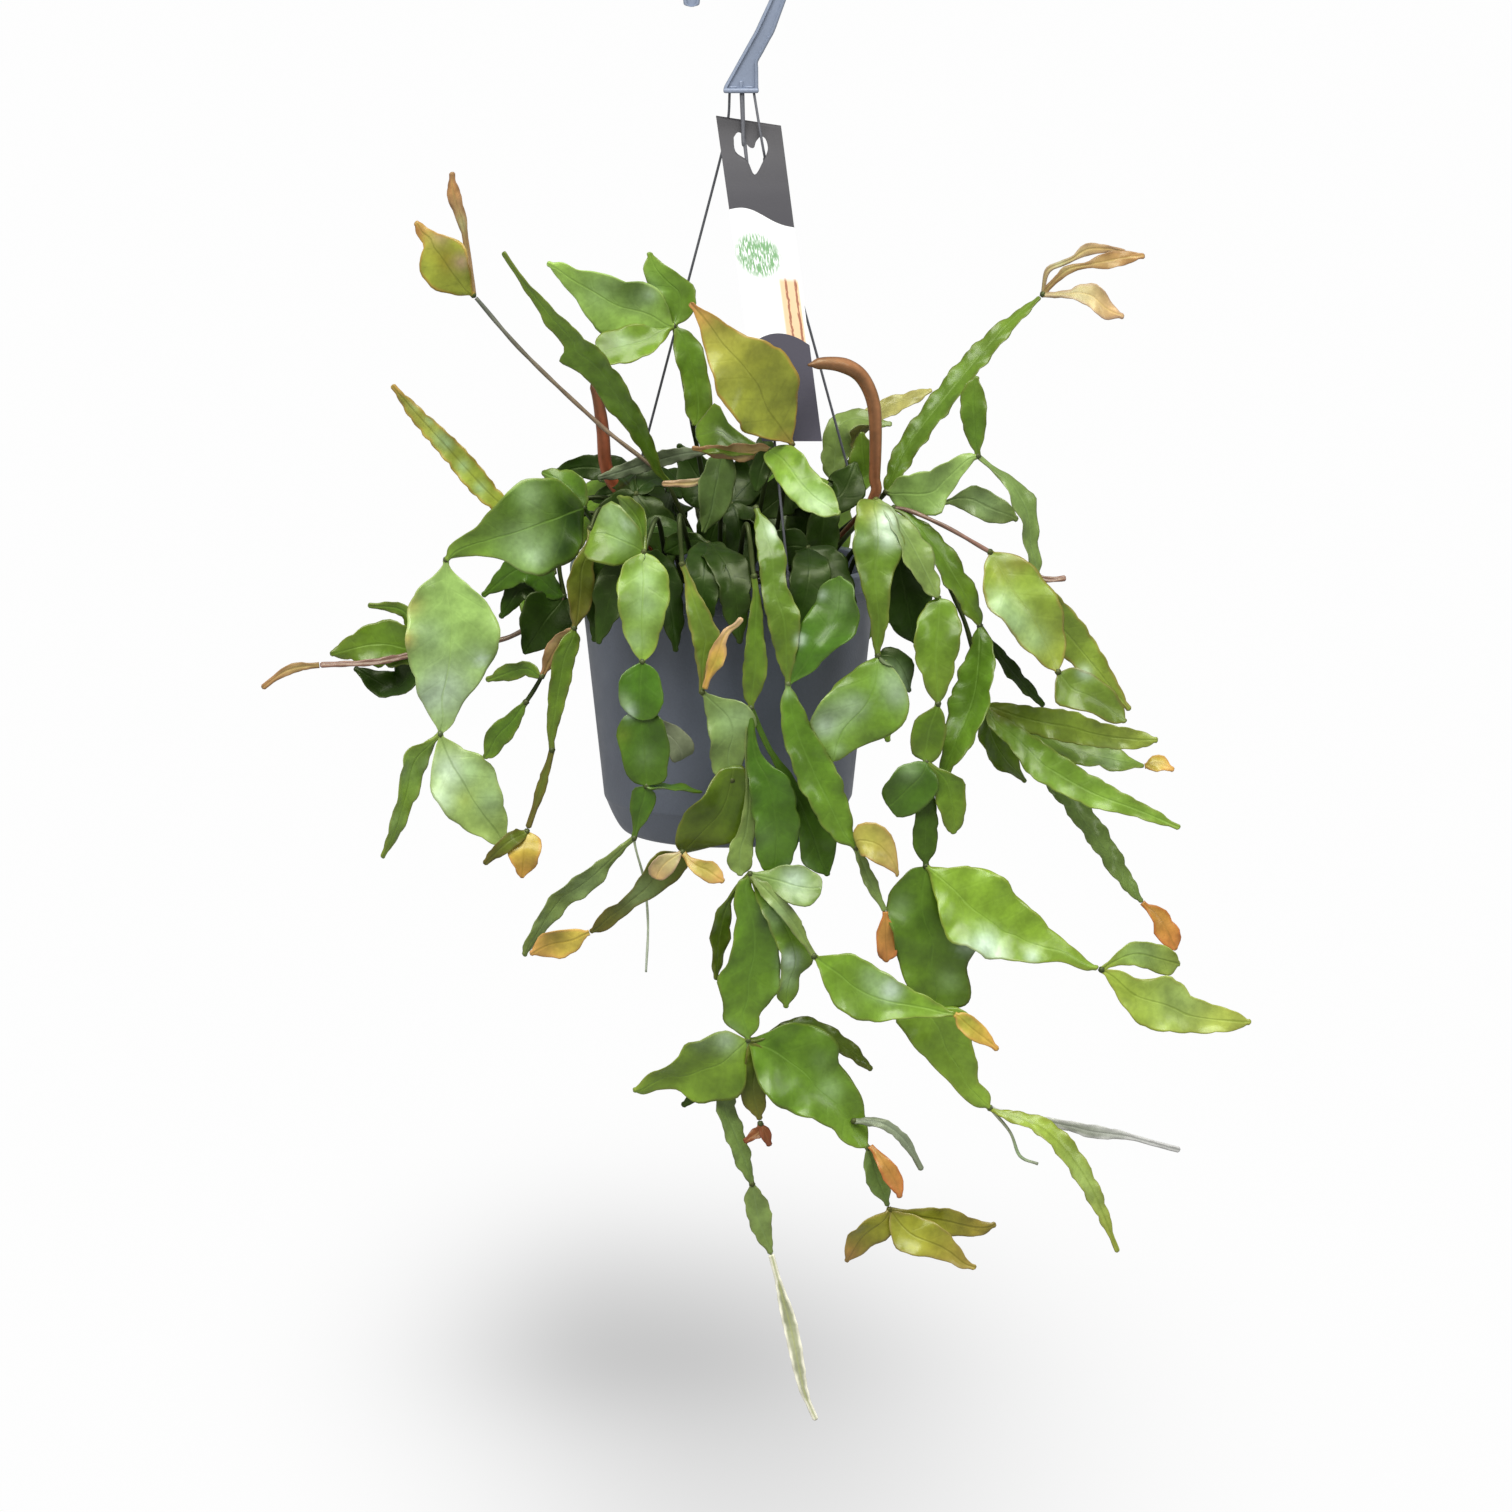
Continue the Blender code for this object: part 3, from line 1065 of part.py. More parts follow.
def build_strand(name):
    """A strand from the yoke down to its clip, which straddles the pot's lip."""
    angle = math.radians(STRAND_ANGLES[name])
    seat = rim_point(angle)
    width, depth, height = CLIP_SIZE
    clip_top = seat.z + GAP + height - CLIP_LEG
    start = [sheet_point(*p) for p in STRAND_STARTS[name]]
    start[0].z -= 2 * GAP
    end = Vector((seat.x, seat.y, clip_top - STRAND_RADIUS))
    line = start + [start[-1].lerp(end, 0.5), end]
    strand = tube(name, line, [STRAND_RADIUS] * len(line))
    clip = box("clip", (depth, width, height), (seat.x, seat.y, clip_top - height / 2), angle)
    slot_depth = (RIM_LIP + WALL_STEP + POT_WALL) + 2 * GAP
    lip_middle = RIM_RADIUS + RIM_LIP - slot_depth / 2 + GAP
    slot = box("slot", (slot_depth, width * 2, CLIP_LEG * 2),
               (POT_AXIS.x + lip_middle * math.cos(angle), lip_middle * math.sin(angle),
                seat.z + GAP - CLIP_LEG), angle)
    clip = boolean(clip, slot, "DIFFERENCE")
    strand = boolean(strand, clip, "UNION")
    strand.name = name
    set_finish(strand, "slate")
    return strand


def build_label():
    """The long card that hangs on the strands, bowed forward by them."""
    vertices = []
    for down, toward in LABEL_LINE:
        share = (down - LABEL_LINE[0][0]) / (LABEL_LINE[-1][0] - LABEL_LINE[0][0])
        left = LABEL_TOP[0] + share * (LABEL_BOTTOM[0] - LABEL_TOP[0])
        right = LABEL_TOP[1] + share * (LABEL_BOTTOM[1] - LABEL_TOP[1])
        for column in range(LABEL_COLUMNS + 1):
            t = column / LABEL_COLUMNS
            slope = LABEL_TOP_SLOPE * (1 - share)
            vertices.append(sheet_point(left + t * (right - left), down + slope * t, toward))
    faces = []
    across = LABEL_COLUMNS + 1
    for row in range(len(LABEL_LINE) - 1):
        for column in range(LABEL_COLUMNS):
            corner = row * across + column
            faces.append((corner, corner + 1, corner + across + 1, corner + across))
    mesh = bpy.data.meshes.new("hanging_label")
    mesh.from_pydata([tuple(v) for v in vertices], [], faces)
    label = bpy.data.objects.new("hanging_label", mesh)
    PARTS.objects.link(label)
    wall = label.modifiers.new("card", "SOLIDIFY")
    wall.thickness = LABEL_THICKNESS
    wall.offset = 0.0
    label = frozen(label, merge=True)
    front = [sheet_point(*place, LABEL_CUT_FROM) for place in LABEL_HOLE]
    rear = [sheet_point(*place, LABEL_CUT_TO) for place in LABEL_HOLE]
    count = len(LABEL_HOLE)
    faces = [tuple(range(count)), tuple(range(2 * count - 1, count - 1, -1))]
    faces += [(k, (k + 1) % count, count + (k + 1) % count, count + k) for k in range(count)]
    hole = mesh_object("label_hole", front + rear, faces, CUTTERS)
    label = boolean(label, hole, "DIFFERENCE")
    label.name = "hanging_label"
    set_finish(label, "charcoal")
    return label


def build_copper_shoots():
    """The two thick copper-brown shoots, each rolled into a tube."""
    for name, (root, line, radii) in COPPER_SHOOTS.items():
        foot = Vector((POT_AXIS.x + root[0] * MM, -root[1] * MM, SOIL_Z - STEM_HOLE_DEPTH))
        line = stalk_line(foot, [sheet_point(*p) for p in line[:-1]], sheet_point(*line[-1]))
        radii = [STALK_WIDTH * MM / 2 * 0.95] + [radius * MM for radius in radii]
        shoot = tube(name, line, radii, foot)
        set_finish(shoot, "rust")


def build_plant():
    """The soil and every stem, young shoot and copper shoot that stands in it."""
    layout = stem_layout()
    feet = [foot for _, _, foot, _, _ in layout if foot is not None]
    for root, _, _ in COPPER_SHOOTS.values():
        feet.append(Vector((POT_AXIS.x + root[0] * MM, -root[1] * MM, SOIL_Z - STEM_HOLE_DEPTH)))
    build_soil(feet)
    directions = growth_directions(layout)
    for name, colour, foot, bends, segments in layout:
        build_stem(name, colour, foot, bends, segments, directions)
    build_copper_shoots()


build_pot()
build_hook()
for strand_name in STRAND_ANGLES:
    build_strand(strand_name)
build_label()
build_plant()
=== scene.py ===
"""A rhipsalis with flat, scalloped stem segments in a round hanging pot, dressed for a picture.

Metres, +Z up, the viewer at -Y. The origin is the point under the hook's crown that bears on
the rail. Places are written in millimetres on an upright layout sheet that is seen from the
front and a little from above: across, down, and toward the viewer from the hook's plane.
"""

import math

import bmesh
import bpy
import numpy as np
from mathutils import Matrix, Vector
from mathutils.geometry import delaunay_2d_cdt


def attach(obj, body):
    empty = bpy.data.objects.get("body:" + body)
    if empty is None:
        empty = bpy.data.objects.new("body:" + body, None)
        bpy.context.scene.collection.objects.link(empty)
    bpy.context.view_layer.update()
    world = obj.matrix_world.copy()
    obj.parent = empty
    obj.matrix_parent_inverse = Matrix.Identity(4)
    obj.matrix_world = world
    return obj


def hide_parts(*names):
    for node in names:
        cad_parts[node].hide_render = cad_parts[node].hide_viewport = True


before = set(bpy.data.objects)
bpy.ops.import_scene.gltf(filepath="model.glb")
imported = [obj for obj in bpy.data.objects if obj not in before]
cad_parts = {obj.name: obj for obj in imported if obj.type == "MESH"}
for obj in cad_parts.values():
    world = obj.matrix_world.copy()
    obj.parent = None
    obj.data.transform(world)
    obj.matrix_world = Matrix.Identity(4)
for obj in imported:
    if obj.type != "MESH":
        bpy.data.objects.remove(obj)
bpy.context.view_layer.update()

MM = 0.001

# The layout sheet and the camera that sees it square
SHEET_MIDDLE = 378.0
VIEW_TILT = math.radians(10.5)
VIEW_DISTANCE = 3.0
BEARING_ON_SHEET = (368.0, -25.3)
CAMERA_TARGET = (0.00976, 0.0, -0.4002)
SHEET_ACROSS = 0.756
SENSOR_WIDTH = 36.0

# The pale ground, and the plant's soft shadow painted on it: centre, reach to -X, +X, -Y and +Y, how dark
FLOOR_Z = -0.735
GROUND_SPAN = 90.0
GROUND_PALE = 0.988
GROUND_SHADOWS = [((-0.062, 0.112), (0.098, 0.165, 0.166, 0.248), 0.34),
                  ((0.002, -0.133), (0.117, 0.150, 0.300, 0.240), 0.21)]

# The pot
POT_ACROSS = 364.0
RIM_DOWN = 281.0
POT_FLOOR_DOWN = 414.0
RIM_RADIUS = 0.0750
RIM_LIP = 0.0035
RIM_BAND = 0.0090
WALL_FOOT_RADIUS = 0.0620
FOOT_HEIGHT = 0.0165
FLOOR_RADIUS = 0.0510
FOOT_RING = 0.0050
FOOT_RECESS = 0.0020
POT_WALL = 0.0020
WALL_STEP = 0.0010
POT_COLUMNS = 192
CORNER_STEPS = 6

# The soil
SOIL_BELOW_RIM = 0.0140
SOIL_CROWN = 0.0040
SOIL_SUNK = 0.0016
SOIL_LUMP = 0.0007
SOIL_CLEAR = 0.0008
STEM_HOLE_DEPTH = 0.0120
STALK_STRAIGHT = 0.0010
CRUMBS = 1100
PERLITE_SHARE = 0.17
CRUMB_SIZES = (0.0006, 0.0019)
SOIL_ROWS = 48
SOIL_COLUMNS = 150

# The hook, its strands and the label; the yoke's ridges by middle, half-width, foot and top
HOOK_INNER_RADIUS = 0.0177
HOOK_WIDTH = 0.0080
HOOK_THICKNESS = 0.0060
HOOK_GROOVE = 0.0012
HOOK_TIP_DROP = 0.0100
YOKE_DEPTH = 0.0100
YOKE_RIDGES = [(370.5, 0.8, 44.2, 40.3), (366.5, 1.9, 43.9, 43.0), (374.5, 1.9, 43.9, 43.0)]
STRAND_RADIUS = 0.0008
STRAND_THIN = 0.8
STRAND_THICK_START = 1.5
STRAND_COLUMNS = 14
COLLAR_HEIGHT = 0.0035
COLLAR_RADIUS = 0.0016
CLIP_SIZE = (0.0080, 0.0070, 0.0110)
CLIP_LEG = 0.0080
CLIP_SEAT_IN = 0.0028
GAP = 0.0003
LABEL_THICKNESS = 0.0008

# Stalks, knuckles and blades: FAR_REACH stands for the millimetres to a rib or margin that a round
# piece doesn't have
NECK_HALF_WIDTH = 0.0015
TIP_HALF_WIDTH = 0.0007
RIB_HALF_THICKNESS = 0.00080
BLADE_HALF_THICKNESS = 0.00040
EDGE_HALF_THICKNESS = 0.00018
KNUCKLE_RADIUS = 0.0016
YOUNG_GAP = 0.00036
FOLLOWS_PARENT = 0.4
FACE_UP = 0.35
STALK_WIDTH = 2.4
STALK_COLUMNS = 12
KNUCKLE_ROWS = 7
RIB_SPREAD = 0.0022
RIB_SHOWS = 0.42
FAR_REACH = 5.0

# A blade's grid: rows crowd toward its ends, and drawn margins are read at so many places and
# lean no steeper than this
ROW_SPACING = 0.0016
ROWS_CROWD = 0.085
COLUMNS = 15
MARGIN_SAMPLES = 81
STEEPEST = 1.2

# The notches of a margin: their spacing for a blade's half-width, how many there are at most, and
# their depth at most and as a part of the half-width; and how much a margin swells by slow waves.
# A drawn margin has so much of the depth and of the swelling.
NOTCH_SPACINGS = ([0.003, 0.010, 0.022], [0.0055, 0.0095, 0.0120])
MOST_NOTCHES = 40
NOTCH_DEPTH = 0.0016
NOTCH_PART = 0.14
SWELL = 0.10
DRAWN_NOTCH = 0.6
DRAWN_SWELL = 0.02

# The relief of a blade's face: its trough, a slow arch, the waves of its margins, and the quilting
CUP = 0.24
ARCH = 0.045
LEAST_WAVE = 0.0005
WAVE = 0.085
QUILT = 0.00022


def sheet_origin():
    """The bearing point as the sheet places it, before the origin is moved there."""
    above = (SHEET_MIDDLE - BEARING_ON_SHEET[1]) * MM
    sine, cosine = math.sin(VIEW_TILT), math.cos(VIEW_TILT)
    height = above / (cosine + above * sine / VIEW_DISTANCE)
    right = (BEARING_ON_SHEET[0] - SHEET_MIDDLE) * MM
    return np.array([right * (1 - height * sine / VIEW_DISTANCE), 0.0, height])


def sheet_point(across, down, toward):
    """A place on the layout sheet, in metres from the hook's bearing point.

    The sheet is seen from VIEW_DISTANCE, tilted down by VIEW_TILT, so a place that
    comes toward the viewer sits higher than it looks.
    """
    sine, cosine = math.sin(VIEW_TILT), math.cos(VIEW_TILT)
    right = (np.asarray(across, float) - SHEET_MIDDLE) * MM
    above = (SHEET_MIDDLE - np.asarray(down, float)) * MM
    back = -np.asarray(toward, float) * MM
    height = above + (above * cosine / VIEW_DISTANCE - sine) * back
    height /= cosine + above * sine / VIEW_DISTANCE
    away = back * cosine - height * sine
    place = np.stack([right * (1 + away / VIEW_DISTANCE), back + 0 * height, height], axis=-1)
    return place - sheet_origin()


def places_in(text):
    """Places that are written one after another, each as its numbers with commas between."""
    return [[float(number) for number in place.split(",")] for place in text.split()]


POT_AXIS = sheet_point(POT_ACROSS, RIM_DOWN, 0)
POT_MIDDLE = np.array([POT_AXIS[0], 0, 0])
RIM_Z = POT_AXIS[2]
POT_FLOOR_Z = sheet_point(POT_ACROSS, POT_FLOOR_DOWN, 0)[2]
SOIL_Z = RIM_Z - SOIL_BELOW_RIM

# Tissue colours, linear, in thousandths: at the base, at the tip, along the margin, along the rib,
# and how much the margin shows
TINTS = {
    "leaf": ((88, 175, 12), (108, 190, 16), (140, 135, 28), (112, 215, 22), 0.35),
    "bright": ((138, 250, 22), (158, 270, 28), (210, 215, 45), (160, 290, 36), 0.35),
    "fresh": ((215, 360, 90), (235, 375, 100), (270, 320, 100), (240, 400, 100), 0.3),
    "veined": ((235, 345, 80), (250, 350, 90), (250, 290, 80), (75, 125, 25), 0.3),
    "spring": ((280, 480, 85), (290, 490, 95), (290, 390, 100), (300, 510, 100), 0.3),
    "drab": ((220, 230, 20), (270, 210, 36), (230, 165, 55), (100, 95, 5), 0.5),
    "khaki": ((330, 300, 130), (440, 290, 120), (330, 230, 150), (480, 370, 110), 0.6),
    "moss": ((66, 118, 6), (80, 116, 8), (115, 100, 20), (85, 130, 12), 0.4),
    # dark: deep green darkened nearly to black, partly painted shade
    "dark": ((14, 34, 3), (22, 52, 5), (30, 40, 8), (24, 52, 6), 0.3),
    "deep": ((42, 98, 7), (54, 116, 10), (62, 80, 14), (58, 120, 14), 0.3),
    "ripe": ((200, 300, 34), (225, 290, 36), (260, 160, 48), (230, 310, 56), 0.5),
    "sage": ((140, 215, 52), (142, 215, 48), (160, 175, 60), (150, 230, 70), 0.3),
    "grey": ((180, 220, 130), (165, 205, 115), (180, 180, 120), (210, 250, 160), 0.3),
    "lime": ((210, 300, 34), (255, 315, 50), (230, 230, 40), (125, 190, 12), 0.4),
    "olive": ((100, 130, 14), (135, 125, 20), (135, 85, 25), (120, 140, 30), 0.45),
    "flushed": ((105, 175, 18), (105, 165, 20), (190, 130, 40), (130, 210, 40), 0.45),
    "yellow": ((265, 305, 34), (290, 270, 45), (380, 190, 45), (120, 130, 10), 0.6),
    "forest": ((50, 125, 8), (62, 135, 10), (80, 110, 16), (70, 150, 14), 0.25),
    "gold": ((420, 330, 50), (540, 310, 70), (500, 240, 80), (330, 230, 25), 0.5),
    "ochre": ((330, 280, 60), (390, 270, 90), (400, 200, 80), (260, 210, 30), 0.5),
    "cream": ((700, 430, 80), (640, 500, 300), (420, 240, 130), (560, 380, 60), 0.5),
    "amber": ((430, 220, 45), (470, 190, 50), (400, 120, 35), (300, 170, 35), 0.6),
    "rust": ((230, 75, 28), (180, 58, 24), (200, 50, 28), (280, 110, 50), 0.5),
    "tan": ((330, 225, 90), (400, 215, 85), (260, 130, 65), (400, 290, 90), 0.6),
    # pale: its near-white margin is partly a painted rim highlight
    "pale": ((330, 370, 240), (400, 430, 330), (860, 880, 780), (420, 480, 160), 0.9),
    "ash": ((240, 270, 200), (420, 440, 410), (500, 510, 480), (300, 330, 270), 0.5),
    "straw": ((360, 350, 110), (380, 370, 120), (420, 380, 140), (330, 330, 100), 0.4),
    # stalk: a green stalk darkened nearly to black, partly painted shade under the leaves
    "stalk": ((8, 13, 3), (35, 50, 14), (35, 40, 14), (25, 32, 10), 0.3),
    "twig": ((200, 140, 95), (115, 122, 100), (130, 130, 110), (200, 190, 170), 0.3),
    "pink": ((170, 95, 70), (230, 120, 90), (230, 120, 90), (200, 110, 80), 0.3),
    "knuckle": ((60, 75, 25), (60, 75, 25), (60, 75, 25), (60, 75, 25), 0),
}

# How much of the full gloss the duller tints have
DULL = {"dark": 0.30, "deep": 0.45, "stalk": 0.10, "twig": 0.2, "knuckle": 0.10, "olive": 0.6, "grey": 0.5}

# A segment's outline s^rise * (1 - s)^fall along its length s, scaled to a greatest value of 1
KINDS = {
    "ovate": (0.50, 0.80),
    "lance": (0.70, 0.95),
    "strap": (0.42, 0.62),
    "late": (1.05, 0.62),
}

# The record's material slot of each stem's colour, and the tint that its segments start from
SLOTS = {
    "leaf green": ("leaf_green", "leaf"),
    "deep green": ("deep_green", "dark"),
    "sage green": ("sage_green", "sage"),
    "lime": ("lime", "lime"),
    "amber": ("amber", "amber"),
    "rust": ("rust", "rust"),
    "pale": ("pale", "pale"),
}

# How strong the waxy coat is on each slot's tissue, and on the copper shoots
FULL_COAT = 0.5
WAXY_COATS = {"rust": 0.2, "pale": 0.3, "amber": 0.35, "lime": 0.4}
COPPER_COAT = 0.3

SEED = 7310

# Lights: the sun's and the sky's strength, and softboxes with place, size and power, which face
# one place on the plant
SUN_STRENGTH = 2.5
SUN_ANGLE = 38.0
SUN_FROM = (0.35, -0.75, 2.2)
SKY_STRENGTH = 0.30
SOFTBOXES_FACE = (0, 0, -0.35)
SOFTBOXES = [
    ("window", (-1.3, -1.5, 1.3), (0.9, 1.2), 26.0),
    ("side", (1.7, -1.3, 0.9), (0.5, 1.2), 8.0),
    ("panel", (-0.2, -2.0, 2.0), (2.2, 1.0), 34.0),
]

# Plain colours, linear
POT_COLOUR = (0.120, 0.136, 0.170)
HOOK_COLOUR = (0.230, 0.270, 0.350)
STRAND_COLOUR = (0.110, 0.113, 0.125)
SOIL_COLOUR = (0.022, 0.014, 0.009)
PERLITE_COLOUR = (0.620, 0.610, 0.560)

# Colours along the rolled shoots, base to tip, and where they stand
COPPER_STATIONS = [0.0, 0.2, 0.5, 0.8, 1.0]
COPPER_COLOURS = {
    "copper_shoot_right": [(0.112, 0.061, 0.035), (0.208, 0.076, 0.032), (0.256, 0.099, 0.042),
                           (0.288, 0.129, 0.056), (0.160, 0.076, 0.035)],
    "copper_shoot_left": [(0.128, 0.053, 0.028), (0.440, 0.099, 0.035), (0.272, 0.068, 0.028),
                          (0.224, 0.068, 0.032), (0.112, 0.053, 0.028)],
}

# Where the strands meet the rim, in degrees about the pot's axis, and the places they start through
STRAND_ANGLES = {"strand_left": 136.6, "strand_right": 20.0, "strand_front": -67.0}
STRAND_STARTS = {
    "strand_left": "364.8,46,-3 364,60,-5 360,80,-8.5",
    "strand_right": "377,46,2.5 379,59,5.5 381,71,8.2 382.3,78,7.2 385,92,0",
    "strand_front": "371,46,2 371.5,62,5 371.8,72,7.2 373.2,79,8.6",
}

# The label: how it bows forward (down, toward), its sides at top and bottom, and its hole
LABEL_LINE = [(58, -1), (66, 3), (78, 11), (90, 16.5), (105, 21.5), (145, 32.5), (190, 45), (220.5, 53)]
LABEL_HEAD = LABEL_LINE[0][0]
LABEL_FOOT = LABEL_LINE[-1][0]
LABEL_TOP = (358.0, 390.5)
LABEL_BOTTOM = (381.0, 411.0)
LABEL_WIDE = LABEL_TOP[1] - LABEL_TOP[0]
LABEL_TOP_SLOPE = 5.0
LABEL_HOLE = [(367, 68.5), (369, 66), (371.5, 67), (373.5, 71.5), (375.5, 73.5), (377.5, 73.5),
              (378.5, 70.5), (381, 68), (383.5, 69.5), (384.5, 75), (382, 81), (377.8, 87.5),
              (374, 80.5), (368, 76)]

# A copper shoot's grid
ROLL_ROWS = 90
ROLL_COLUMNS = 40

